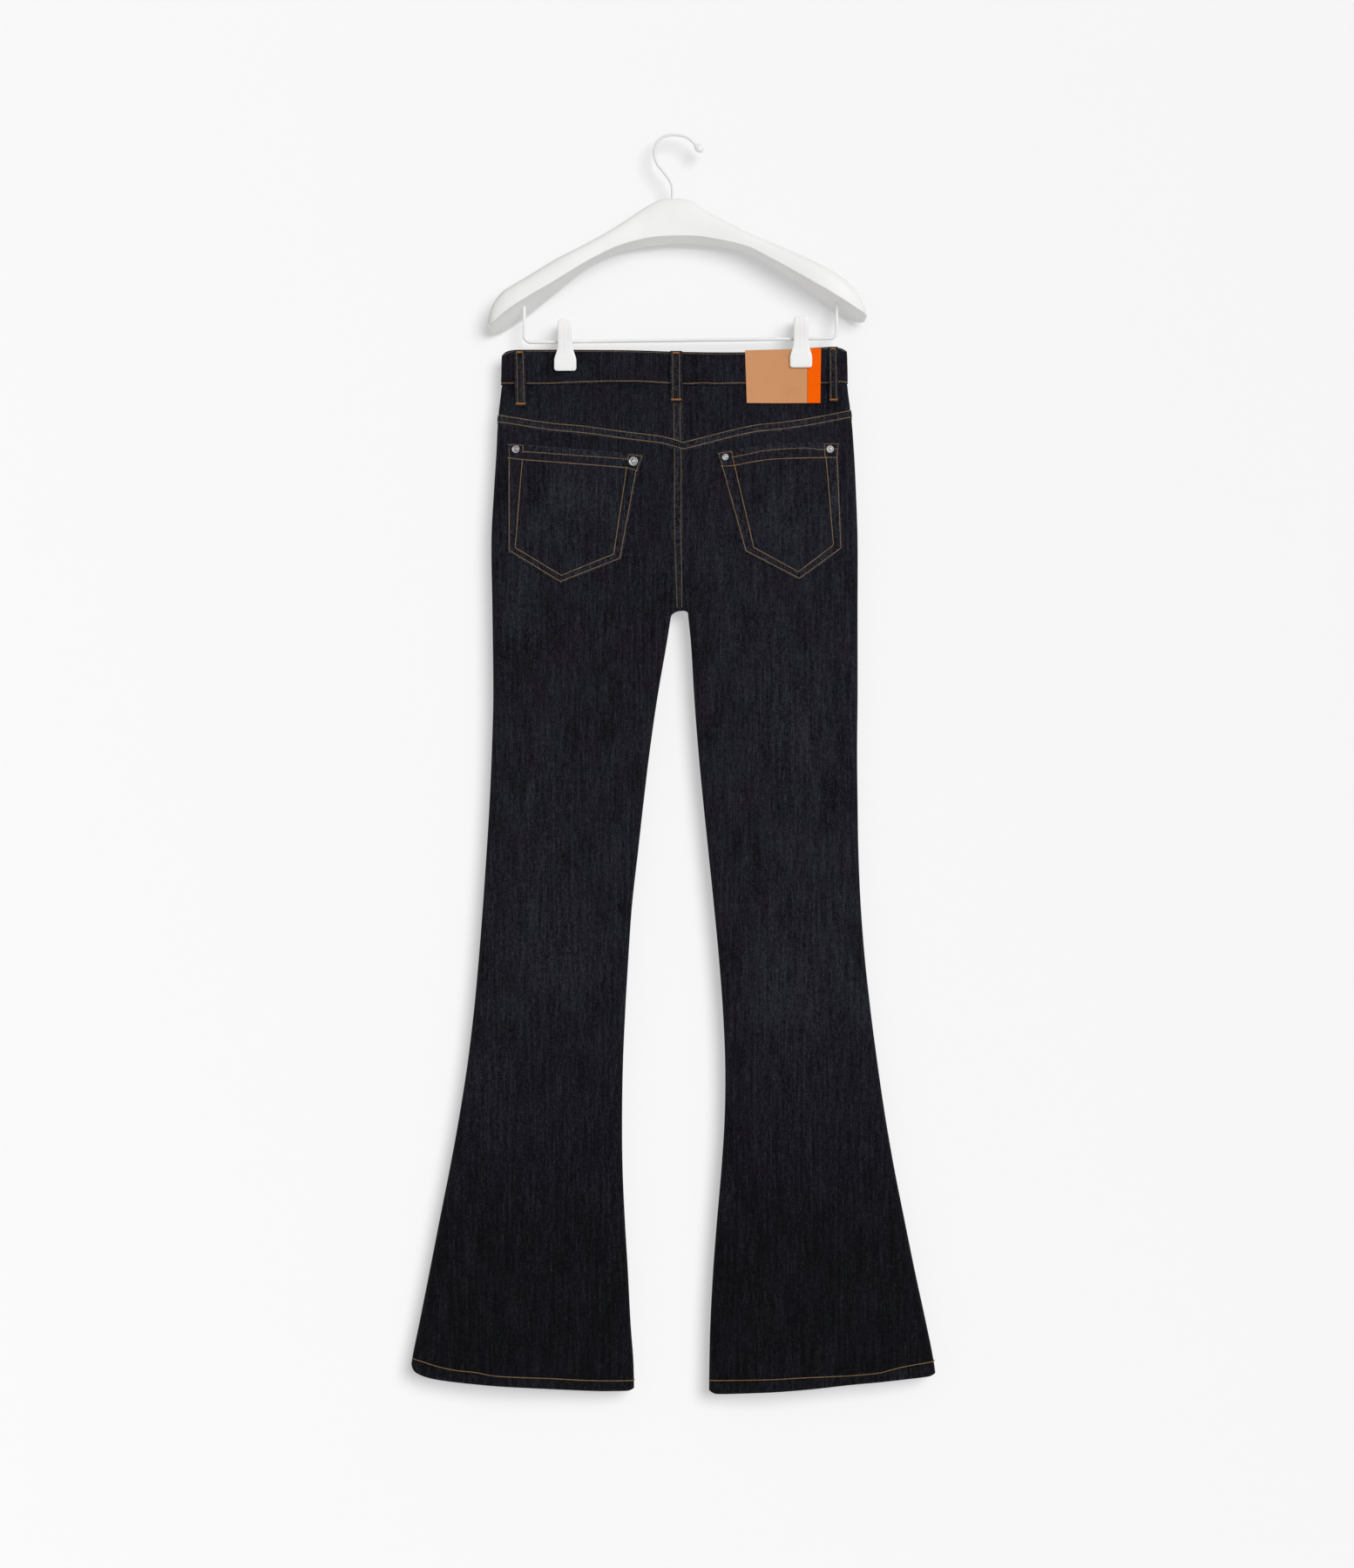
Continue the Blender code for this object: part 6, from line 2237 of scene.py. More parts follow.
@dataclass
class BackPocket:
    """A five-sided patch pocket, open along its top, with its rows of stitches."""

    leg: Leg
    top: tuple[Place, ...]
    hem: tuple[Place, ...]
    foot: tuple[Place, ...]
    rows: tuple[tuple[Place, ...], ...]
    tabs: tuple[tuple[Place, ...], ...]
    cut_size: Triple
    lift: float = 0.5
    wall: float = 1.2
    hem_wall: float = 1.8
    columns: int = 84
    lines: int = 92
    hem_lines: int = 16
    edge_wall: float = 0.25
    turned_rise: float = 0.42
    pucker: float = 0.14
    row_dip: float = 0.42
    blue: Colour = (0.0150, 0.0178, 0.0245)

    def build(self, finishes: Finishes, sewing: Sewing) -> bpy.types.Object:
        """Build the pocket, sew it and hand it to the frame.

        Args:
            finishes: Finishes that the pieces share.
            sewing: Gatherer of the rows of stitches.

        Returns:
            The piece.
        """
        share = np.linspace(0.0, 1.0, self.columns)
        top, hem, foot = (along_line(line, share) for line in (self.top, self.hem, self.foot))
        turned_down = np.linspace(1.0, 0.0, self.hem_lines)[:-1]
        below = np.linspace(0.0, 1.0, self.lines - self.hem_lines + 1)
        grid = np.stack([mix(hem, top, t) for t in turned_down] + [mix(hem, foot, t) for t in below])
        x, z = grid[..., 0], grid[..., 1]
        outline = [*self.top, self.hem[-1], *self.foot[::-1], self.hem[0]]
        border = distance_to([outline], x, z, closed=True)
        sewn = distance_to(self.rows, x, z)
        hem_line = np.interp(x, *zip(*self.rows[1]))
        in_hem = smoothstep(-0.8, 0.6, z - hem_line)
        turned = self.turned_rise * (1.0 - smoothstep(7.5, 9.5, border))
        round_edge = np.sqrt(1.0 - (1.0 - np.clip(border / 1.3, 0.0, 1.0)) ** 2)
        gather = np.sin((x + z) / 1.35 + 1.4 * np.sin((x - z) / 15.0)) + 0.5 * np.sin((x - 1.7 * z) / 2.9)
        puff = self.pucker * gather * (1.0 - smoothstep(7.0, 12.0, border))
        thick = mix(self.wall, self.hem_wall, in_hem) + turned + puff
        out = self.lift + self.edge_wall + (thick - self.edge_wall) * round_edge
        out = out - self.row_dip * hump(sewn, 0.95)
        edge_wear = (0.26 + 0.20 * gather) * (1.0 - smoothstep(7.5, 10.0, border))
        wear = 0.45 * hump(border, 1.5) + edge_wear
        wear = np.clip(wear + 0.10 * in_hem + FORM.rubbed(x, z, Face.BACK), 0.0, 1.0)
        outer = FORM.point(x, z, Face.BACK, out)
        inner = FORM.point(x, z, Face.BACK, self.lift)
        name, shift = f"pocket_{self.leg.value}", (0.77 * self.leg.inward, 0.11)
        denim = finishes.of(DenimFinish(f"indigo_denim_{name}", blue=self.blue, shift=shift))
        piece = cloth_wall(f"cloth_{name}", outer, inner, grid, wear, denim, Edging(0.2, 0.05, 0.05, 0.05))
        hand_over(piece, "denim", f"back_{name}")
        level = self.lift + self.wall + 0.15
        for index, line in enumerate(self.rows):
            smooth, height = index < 2 and self.leg is Leg.RIGHT, level + (0.35 if index == 0 else 0.1)
            sewing.row(line, Face.BACK, height, Stitch.TOPSTITCH, OCHRE_THREAD, smooth)
        for line in self.tabs:
            sewing.row(line, Face.BACK, level + 0.6, Stitch.EDGESTITCH, RUST_THREAD)
        return piece


@dataclass
class PocketFacing:
    """Cloth that shows in a front pocket's scoop."""

    leg: Leg
    cut_size: Triple = (0.084, 0.080, 0.0054)
    width: float = 93.0
    drop: float = 80.0

    def build(self, finishes: Finishes) -> bpy.types.Object:
        """Build the facing and hand it to the frame.

        Args:
            finishes: Finishes that the pieces share.

        Returns:
            The piece.
        """
        panel = LegPanel(self.leg, Face.FRONT, NO_CUT)
        outer_x = float(FORM.outer_edge(panel.is_left, panel.front_top))
        distance = np.linspace(4.0, 88.0, 30)[None, :]
        down = np.linspace(0.0, 1.0, 28)[:, None]
        x = outer_x + self.leg.inward * distance + 0.0 * down
        top = FORM.band_foot(x, Face.FRONT) - SEAM_GAP
        foot = top - self.drop * np.sqrt(1.0 - (distance / self.width) ** 2)
        z = mix(top, foot, down)
        lift = np.where(distance < 5.0, -1.9, -1.65) + 0.0 * down
        outer = FORM.point(x, z, Face.FRONT, lift)
        inner = FORM.point(x, z, Face.FRONT, lift - 1.0)
        name, cut = f"facing_{self.leg.value}", np.stack([x, z], axis=-1)
        denim = finishes.of(DenimFinish(f"indigo_denim_{name}", shift=(0.63 * self.leg.inward, 0.93)))
        piece = cloth_wall(f"cloth_{name}", outer, inner, cut, x * 0.0, denim)
        hand_over(piece, "denim", f"pocket_{name}")
        return piece


@dataclass
class BeltLoop:
    """A folded strip, tacked down at both ends and standing off between them."""

    name: str
    face: Face
    top_x: float
    foot_x: float
    half_width: float
    top: float
    foot: float
    wall: float = 1.8
    lifts: Table = Table((
        (0.0, 1.15), (0.07, 1.2), (0.22, 2.6), (0.45, 3.3), (0.68, 2.7), (0.9, 1.35), (1.0, 1.1),
    ))
    stations: int = 56
    # Where the two long rows lie, as a share of the half width
    row_share: float = 0.56
    row_dip: float = 0.26
    tack_dip: float = 0.40
    ripple: float = 0.07
    # Where the tacks cross the loop, and where its long rows run
    tacks: tuple[float, float] = (0.045, 0.955)
    long_row: tuple[float, float] = (0.035, 0.965)

    def outline(self) -> list[Place]:
        """Points round the strip's section: share of its half width, share of its wall.

        Returns:
            A list of points.
        """
        upper = [(-1.0, 0.42), (-0.99, 0.66), (-0.955, 0.86), (-0.88, 0.97)]
        upper += [(s, 1.0) for s in (-0.78, -0.68, -0.60, -0.52, -0.40, -0.2, 0.0)]
        upper += [(-s, h) for s, h in upper[-2::-1]]
        lower = [(0.93, 0.06), *((s, 0.0) for s in (0.8, 0.4, 0.0, -0.4, -0.8)), (-0.93, 0.06)]
        return upper + lower

    def build(self, finishes: Finishes, sewing: Sewing) -> bpy.types.Object:
        """Build the loop, sew it and hand it to the frame.

        Args:
            finishes: Finishes that the pieces share.
            sewing: Gatherer of the rows of stitches.

        Returns:
            The piece.
        """
        across, wall = np.array(self.outline()).T
        rings, cuts, wears = [], [], []
        for share in np.linspace(0.0, 1.0, self.stations):
            x = mix(self.top_x, self.foot_x, share) + across * self.half_width
            z = np.full(len(x), mix(self.top, self.foot, share))
            seam = hump(np.abs(across) - self.row_share, 0.11)
            tack = sum(hump(share - end, 0.03) for end in self.tacks)
            ripple = self.ripple * math.sin(share * 83.0 + 2.0 * math.sin(share * 9.0))
            lift = float(self.lifts.at(share)) + self.wall * wall
            sunk = self.row_dip * seam + self.tack_dip * tack - ripple
            lift = lift - np.where(wall > 0.9, sunk, 0.0)
            rings.append(FORM.point(x, z, self.face, lift, creased=False))
            cuts.append(np.stack([x, z], axis=-1))
            edge = np.where(wall > 0.3, smoothstep(0.72, 0.98, np.abs(across)), 0.0)
            wears.append(np.clip(0.30 + 0.40 * edge - 0.25 * seam + ripple * 2.5, 0.0, 1.0))
        denim = finishes.of(DenimFinish("indigo_denim_loops", shift=(0.02, 0.37)))
        piece = loft(f"cloth_{self.name}", rings, denim, cut=cuts, wear=wears, sharp=70.0)
        hand_over(piece, "denim", self.name)
        length = abs(self.top - self.foot) * METRE
        for side in (-self.row_share, self.row_share):
            long_row = np.linspace(*self.long_row, 30)
            self.sew(sewing, long_row, np.full(30, side), 0.10, Stitch.EDGESTITCH, LOOP_THREAD)
        for share, reach in ((0.035, 0.52), (0.955, 0.80)):
            across = np.linspace(-reach, reach, 9)
            self.sew(sewing, np.full(9, share), across, 0.20, Stitch.BAR_TACK, TACK_THREAD)
        return piece

    def sew(
        self, sewing: Sewing, share: Array, across: Array, sunk: float, stitch: Stitch, thread: ThreadFinish
    ) -> None:
        """Sew one row on the loop.

        Args:
            sewing: Gatherer of the rows.
            share: Share of the loop's length at each point.
            across: Share of its half width at each point.
            sunk: How far the row lies under the loop's outer face.
            stitch: Kind of the row.
            thread: Finish of its thread.

        Returns:
            None.
        """
        stations = np.linspace(0.0, 1.0, self.stations)
        lift = np.interp(share, stations, self.lifts.at(stations) + self.wall) - sunk
        x = mix(self.top_x, self.foot_x, share) + across * self.half_width
        z = mix(self.top, self.foot, share)
        sewing.lay(*FORM.point_and_way(x, z, self.face, lift, creased=False), stitch, thread)


@dataclass
class WaistPatch:
    """A flat board patch over the waistband, with a bare orange end."""

    top: tuple[Place, Place] = ((76.4, -238.9), (161.2, -236.0))
    foot: tuple[Place, Place] = ((78.2, -297.7), (160.4, -297.2))
    rows: tuple[float, ...] = (0.0, 0.3, 0.62, 0.8, 1.0)
    strip_start: float = 0.8236
    patch_end: float = 0.82
    fine_rows: int = 40
    lift: float = 1.2
    wall: float = 1.2
    rounding: float = 0.14

    def sheet_grid(self, start: float, end: float, coarse: int, fine: int) -> tuple[Array, Array]:
        """Grids of the board's underside and of the directions off it.

        Args:
            start: Share of the patch's width where the board starts.
            end: Share where it ends.
            coarse: Number of columns set on the cloth.
            fine: Number of columns in the grids.

        Returns:
            The two grids.
        """
        share = np.linspace(start, end, coarse)
        down = np.array(self.rows)
        upper, lower = along_line(self.top, share), along_line(self.foot, share)
        grid = upper[None] + (lower - upper)[None] * down[:, None, None]
        low, way = FORM.point_and_way(grid[..., 0], grid[..., 1], Face.BACK, self.lift, creased=False)
        keys, across = np.linspace(0.0, 1.0, coarse), np.linspace(0.0, 1.0, fine)
        fine_down = np.linspace(0.0, 1.0, self.fine_rows)
        dense = []
        for part in (low, way):
            rows = np.stack([
                Table(tuple((k, *p) for k, p in zip(keys, row))).at(across, c)
                for row in part for c in (1, 2, 3)
            ]).reshape(len(down), 3, fine)
            full = np.stack([
                np.interp(fine_down, down, rows[:, c, j]) for c in range(3) for j in range(fine)
            ]).reshape(3, fine, self.fine_rows)
            dense.append(full.transpose(2, 1, 0))
        return dense[0], dense[1]

    def build(self, finishes: Finishes) -> list[bpy.types.Object]:
        """Build the board and its end and hand them to the frame.

        Args:
            finishes: Finishes that the pieces share.

        Returns:
            Both pieces.
        """
        pieces = []
        for name, node, start, end, coarse, fine, finish, slot in (
            ("board_patch", "waist_patch", 0.0, self.patch_end, 7, 50, TAN_BOARD, "tan_patch"),
            ("board_patch_end", "patch_strip", self.strip_start, 1.0, 3, 16, ORANGE_BOARD, "orange_patch"),
        ):
            low, way = self.sheet_grid(start, end, coarse, fine)
            cut = np.stack([low[..., 0], low[..., 2]], axis=-1)
            round_off = np.zeros(low.shape[:2])
            round_off[[0, -1], :] = self.rounding
            round_off[:, 0 if name == "board_patch" else -1] = self.rounding
            outer = low + way * (self.wall - round_off)[..., None]
            edging = Edging(0.0, 0.0, 0.0, 0.0)
            piece = cloth_wall(name, outer, low, cut, cut[..., 0] * 0.0, finishes.of(finish), edging)
            pieces.append(hand_over(piece, slot, node))
        return pieces


@dataclass
class Trim:
    """Rivets, button and zip."""

    rivets: tuple[Place, ...] = ((-177.9, -349.2), (-47.6, -363.2), (54.4, -358.6), (170.8, -349.2))
    rivet_sizes: tuple[float, ...] = (0.98, 1.16, 0.82, 0.94)
    rivet_lift: float = 2.55
    rivet_profile: tuple[Place, ...] = (
        (4.3, -0.9), (4.45, 0.1), (4.5, 0.5), (4.42, 0.85), (4.15, 1.12), (3.8, 1.22), (3.4, 1.14),
        (3.1, 0.92), (2.85, 0.66), (2.45, 0.55), (2.05, 0.6), (1.8, 0.8), (1.66, 1.2), (1.45, 1.52),
        (1.1, 1.66), (0.7, 1.62), (0.3, 1.55), (0.02, 1.53),
    )
    button_x: float = -3.0
    button_profile: tuple[Place, ...] = (
        (2.9, 0.0), (3.0, 1.4), (3.4, 1.8), (7.4, 1.9), (8.1, 2.2), (8.5, 2.8), (8.45, 3.4), (8.1, 3.95),
        (7.5, 4.28), (6.8, 4.3), (6.3, 4.12), (5.9, 3.86), (4.6, 3.78), (3.1, 3.76), (1.7, 3.74),
        (0.7, 3.72), (0.05, 3.72),
    )
    button_lift: float = 1.2
    sides: int = 40
    button_sides: int = 56
    tape_inset: float = 10.6
    tape_width: float = 21.0
    tape_levels: tuple[float, float] = (-288.0, -408.0)
    tape_lifts: tuple[float, float] = (-1.55, -2.15)
    tape_grid: tuple[int, int] = (40, 12)
    # First and last level of the teeth and their pitch, and one tooth as half widths along it
    tooth_levels: Triple = (-292.0, -405.0, -1.35)
    tooth_inset: float = 5.0
    tooth_lift: float = -2.35
    tooth: tuple[Place, ...] = ((-1.6, 0.42), (-1.3, 0.46), (1.2, 0.46), (1.6, 0.3))

    def build_rivets(self, finishes: Finishes) -> None:
        """Stand the four rivets on the pockets' corners.

        Args:
            finishes: Finishes that the pieces share.

        Returns:
            None.
        """
        steel = finishes.of(RIVET_STEEL)
        form = loft("rivet_form", turned_rings(self.rivet_profile, self.sides), steel, sharp=60.0)
        tree = StudTree()
        for number, (size, (x, z)) in enumerate(zip(self.rivet_sizes, self.rivets), start=1):
            spot = FORM.point_and_way(np.array([x]), np.array([z]), Face.BACK, self.rivet_lift)
            piece = tree.stand(f"steel_rivet_{number}", form, spot, steel, size)
            hand_over(piece, "steel", f"rivet_{number}")
        bpy.data.objects.remove(form, do_unlink=True)

    def build_button(self, finishes: Finishes) -> None:
        """Stand the shank button on the waistband's front.

        Args:
            finishes: Finishes that the pieces share.

        Returns:
            None.
        """
        x = np.array([self.button_x])
        z = (FORM.band_top(x, Face.FRONT) + FORM.band_foot(x, Face.FRONT)) / 2
        spot = FORM.point_and_way(x, z, Face.FRONT, self.button_lift, creased=False)
        steel = finishes.of(RIVET_STEEL)
        form = loft("button_form", turned_rings(self.button_profile, self.button_sides), steel, sharp=50.0)
        hand_over(StudTree().stand("steel_waist_button", form, spot, steel), "steel", "waist_button")
        bpy.data.objects.remove(form, do_unlink=True)

    def build_zip(self, finishes: Finishes) -> None:
        """Build the zip's tape and the teeth along its edge.

        Args:
            finishes: Finishes that the pieces share.

        Returns:
            None.
        """
        right, width = FORM.centre_x - self.tape_inset, self.tape_width
        rows, columns = self.tape_grid
        x = np.linspace(right - width, right, columns)[None, :] + np.zeros((rows, 1))
        z = np.linspace(*self.tape_levels, rows)[:, None] + np.zeros((1, columns))
        outer, inner = (FORM.point(x, z, Face.FRONT, lift) for lift in self.tape_lifts)
        cut = np.stack([x, z], axis=-1)
        tape = cloth_wall("cloth_zip_tape", outer, inner, cut, x * 0.0, finishes.of(TapeFinish()))
        hand_over(tape, "zip_tape", "fly_zip")
        levels = np.arange(*self.tooth_levels)
        places = np.full(len(levels), right - self.tooth_inset)
        spots, ways = FORM.point_and_way(places, levels, Face.FRONT, self.tooth_lift)
        rings = [
            np.array([(u, -w, 0.0), (u, w, 0.0), (u, w * 0.8, 0.75), (u, -w * 0.8, 0.75)])
            for u, w in self.tooth
        ]
        metal = finishes.of(ZIP_METAL)
        form = loft("tooth_form", rings, metal)
        hand_over(StudTree().stand("zip_teeth", form, (spots, -ways), metal), "steel")
        bpy.data.objects.remove(form, do_unlink=True)


@dataclass
class Seams:
    """Rows of stitches on the panels, yokes and waistband."""

    sewing: Sewing
    band_row: tuple[Place, ...] = (
        (-192.6, -275.0), (-143.2, -275.0), (-121.9, -274.0), (-83.2, -272.8), (-57.4, -273.0),
        (-39.7, -273.4), (-7.7, -275.3), (13.5, -276.2), (29.7, -275.3), (45.8, -275.9), (74.8, -275.2),
        (163.5, -274.4), (181.9, -273.2), (188.6, -274.0),
    )
    yoke_row: tuple[Place, ...] = (
        (-196.5, -311.0), (-141.0, -319.5), (-100.5, -323.5), (-57.0, -330.0), (-19.5, -334.6),
        (0.5, -339.6), (7.6, -341.8),
    )
    yoke_row_right: tuple[Place, ...] = (
        (8.6, -341.8), (35.5, -335.0), (62.5, -328.0), (89.5, -322.0), (116.5, -319.0), (144.0, -315.0),
        (171.0, -310.0), (193.8, -305.6),
    )
    yoke_spacing: float = 7.3
    top_inset: float = 1.9
    foot_inset: float = 2.7
    hole_x: tuple[float, float] = (-10.0, 6.0)
    hole_level: float = -262.8
    centre_rows: tuple[tuple[Place, ...], ...] = (
        ((-1.7, -349.5), (-1.6, -450.0), (1.0, -523.0)),
        ((5.5, -349.5), (5.5, -450.0), (6.3, -523.0)),
    )
    yoke_centre_rows: tuple[tuple[Place, ...], ...] = (
        ((-2.6, -281.0), (-2.4, -337.0)),
        ((4.6, -281.0), (4.6, -338.0)),
    )
    hem_rows: tuple[tuple[Place, ...], ...] = (
        (
            (-291.6, -1359.4), (-281.5, -1362.1), (-265.1, -1366.9), (-244.8, -1370.8), (-222.5, -1372.9),
            (-202.2, -1376.2), (-176.1, -1377.8), (-139.3, -1379.6), (-102.5, -1382.2), (-47.6, -1383.4),
        ),
        (
            (37.8, -1383.4), (87.1, -1381.4), (143.2, -1378.6), (179.9, -1377.4), (198.3, -1376.4),
            (224.4, -1373.7), (236.1, -1371.0), (254.4, -1366.9), (286.6, -1362.1),
        ),
    )

    def sew_back(self) -> None:
        """Sew the rows that the back shows.

        Returns:
            None.
        """
        row = self.sewing.row
        row(self.band_row, Face.BACK, 0.75, Stitch.TOPSTITCH, OCHRE_THREAD, True)
        for line in (self.yoke_row, self.yoke_row_right):
            for drop in (0.0, self.yoke_spacing):
                lower = [(x, z - drop) for x, z in line]
                row(lower, Face.BACK, 0.72, Stitch.TOPSTITCH, OCHRE_THREAD, True)
        for line in self.yoke_centre_rows + self.centre_rows:
            row(line, Face.BACK, 0.62, Stitch.TOPSTITCH, OLIVE_THREAD)
        xs = np.linspace(-191.0, 187.0, 64)
        top = list(zip(xs, FORM.band_top(xs, Face.BACK) - self.top_inset))
        row(top, Face.BACK, 0.74, Stitch.EDGESTITCH, OLIVE_THREAD)

    def sew_hems(self) -> None:
        """Sew one row round each hem, back and front.

        Returns:
            None.
        """
        for line in self.hem_rows:
            for face in Face:
                self.sewing.row(line, face, 0.48, Stitch.HEMSTITCH, HEM_THREAD, True)

    def sew_front(self) -> None:
        """Sew the fly's curve, the scoops, the rise and the waistband.

        Returns:
            None.
        """
        row, centre = self.sewing.row, FORM.centre_x
        for leg in Leg:
            panel = LegPanel(leg, Face.FRONT, NO_CUT)
            outer = float(FORM.outer_edge(panel.is_left, panel.front_top))
            for inset in (2.2, 8.0):
                reach, drop = panel.scoop_width + inset * 0.6, panel.scoop_drop + inset
                angles = np.radians(np.linspace(8.0, 86.0, 26))
                xs = outer + leg.inward * reach * np.sin(angles)
                line = list(zip(xs, FORM.band_foot(xs, Face.FRONT) - drop * np.cos(angles)))
                row(line, Face.FRONT, 0.15, Stitch.TOPSTITCH, OCHRE_THREAD)
        for inset, foot in ((38.0, -398.0), (31.5, -391.0)):
            bend = foot + 30.0
            line = [(centre - inset, -286.0), (centre - inset, bend)]
            line += arc((centre - 2.5, bend), (2.5 - inset, -34.0), 10.0, 90.0, 9)
            row(line, Face.FRONT, 0.12, Stitch.TOPSTITCH, OCHRE_THREAD)
        for x in (centre - 2.2, centre - 8.4):
            row(((x, -432.0), (x, -521.0)), Face.FRONT, 0.42, Stitch.TOPSTITCH, OLIVE_THREAD)
        for start, end in ((-190.0, 7.0), (14.0, 187.0)):
            xs = np.linspace(start, end, 48)
            foot = list(zip(xs, FORM.band_foot(xs, Face.FRONT) + self.foot_inset))
            top = list(zip(xs, FORM.band_top(xs, Face.FRONT) - self.top_inset))
            row(foot, Face.FRONT, 0.75, Stitch.TOPSTITCH, OLIVE_THREAD)
            row(top, Face.FRONT, 0.74, Stitch.EDGESTITCH, OLIVE_THREAD)
        tack = ((centre - 3.0, -403.0), (centre - 11.0, -404.5))
        row(tack, Face.FRONT, 0.25, Stitch.BAR_TACK, TACK_THREAD)
        for rise in (1.2, -1.2):
            line = [(x, self.hole_level + rise) for x in self.hole_x]
            row(line, Face.FRONT, 0.80, Stitch.BUTTONHOLE, OLIVE_THREAD)


# ------------------------------------------------------------- the hanger


@dataclass
class HangerBody:
    """Arched body of moulded plastic with a rounded upper edge."""

    # x, upper edge, front lower edge, rear lower edge, half depth
    sections: Table = Table((
        (-209.0, -206.5, -209.6, -212.4, 3.4), (-207.6, -199.0, -210.0, -215.4, 7.6),
        (-203.5, -187.0, -208.5, -217.5, 13.5), (-193.0, -173.5, -199.3, -214.5, 18.0),
        (-180.0, -165.0, -190.0, -206.3, 19.8), (-168.0, -158.0, -182.5, -198.8, 20.0),
        (-132.0, -136.2, -161.2, -170.3, 18.5), (-97.5, -118.5, -139.8, -143.8, 15.5),
        (-66.0, -100.5, -124.0, -128.3, 12.5), (-38.5, -82.0, -115.5, -122.0, 10.0),
        (-23.0, -73.0, -112.8, -120.0, 9.2), (-14.0, -69.8, -112.0, -119.0, 9.0),
        (6.5, -69.5, -111.5, -118.0, 9.0), (17.0, -72.3, -111.7, -118.5, 9.2),
        (31.0, -81.5, -112.8, -119.5, 9.8), (76.0, -105.0, -122.8, -128.0, 12.5),
        (102.0, -116.5, -135.4, -140.4, 14.5), (139.5, -132.5, -156.6, -165.2, 18.5),
        (171.0, -148.0, -175.0, -189.0, 20.0), (187.5, -158.5, -184.8, -199.0, 18.5),
        (199.0, -168.8, -191.8, -204.6, 15.0), (206.0, -178.8, -195.6, -206.0, 11.0),
        (209.6, -189.0, -198.0, -205.2, 7.0), (211.3, -196.4, -199.6, -202.8, 3.4),
    ))
    # Upper side from the front edge to the rear one: share of depth, share down
    crown: Table = Table((
        (-1.0, 0.97), (-0.995, 0.8), (-0.97, 0.55), (-0.92, 0.36), (-0.82, 0.20), (-0.65, 0.085),
        (-0.42, 0.02), (0.0, 0.0), (0.42, 0.02), (0.65, 0.085), (0.84, 0.22), (0.94, 0.42),
        (0.98, 0.6), (0.995, 0.8), (1.0, 0.97),
    ))
    stations: int = 132
    # How much the stations crowd towards the ends, and the rounded ends: scale, bulge
    crowding: float = 0.8
    cap: tuple[Place, ...] = ((0.95, 0.25), (0.8, 0.55), (0.55, 0.8), (0.25, 0.95))

    def ring(self, x: float) -> Array:
        """Points round the body at one place.

        Args:
            x: The place.

        Returns:
            A ring of points.
        """
        top, front, rear, depth = (float(self.sections.at(x, column)) for column in (1, 2, 3, 4))
        points = []
        for across, down in self.crown.curve(3):
            side = mix(front, rear, 0.5 + 0.5 * across)
            points.append((x, across * depth, top - (top - side) * down))
        lip = min(1.6, max(depth - 3.5, 0.0) * 0.25)
        half = [(1.0, 0.0), (0.985, 0.0), (0.9, -0.35), (0.6, -0.9), (0.2, -1.2)]
        for across, hollow in half + [(-across, hollow) for across, hollow in reversed(half)]:
            side = mix(front, rear, 0.5 + 0.5 * across)
            rounding = lip * 0.35 if abs(across) == 1.0 else 0.0
            points.append((x, across * depth, side + rounding - hollow * lip * 0.55))
        return np.array(points)

    def build(self, finishes: Finishes) -> bpy.types.Object:
        """Build the body and hand it to the frame.

        Args:
            finishes: Finishes that the pieces share.

        Returns:
            The piece.
        """
        first, last = self.sections.rows[0][0], self.sections.rows[-1][0]
        middle, reach = (first + last) / 2, (last - first) / 2
        rings = []
        for share in np.arange(self.stations + 1) / self.stations:
            place = mix(share * 2.0 - 1.0, math.sin(math.pi * (share - 0.5)), self.crowding)
            rings.append(self.ring(middle + reach * place))
        for way in (1.0, -1.0):
            end = rings[-1]
            heart = end.mean(axis=0)
            rings += [heart + (end - heart) * scale + (way * bulge, 0.0, 0.0) for scale, bulge in self.cap]
            rings.reverse()
        piece = loft("plastic_hanger_body", rings, finishes.of(HANGER_PLASTIC), sharp=55.0)
        return hand_over(piece, "hanger_plastic", "hanger_body")

    def underside(self, x: float, y: float) -> float:
        """Level of the body's sloping underside."""
        front, rear, depth = (float(self.sections.at(x, column)) for column in (2, 3, 4))
        return mix(front, rear, 0.5 + 0.5 * y / depth)


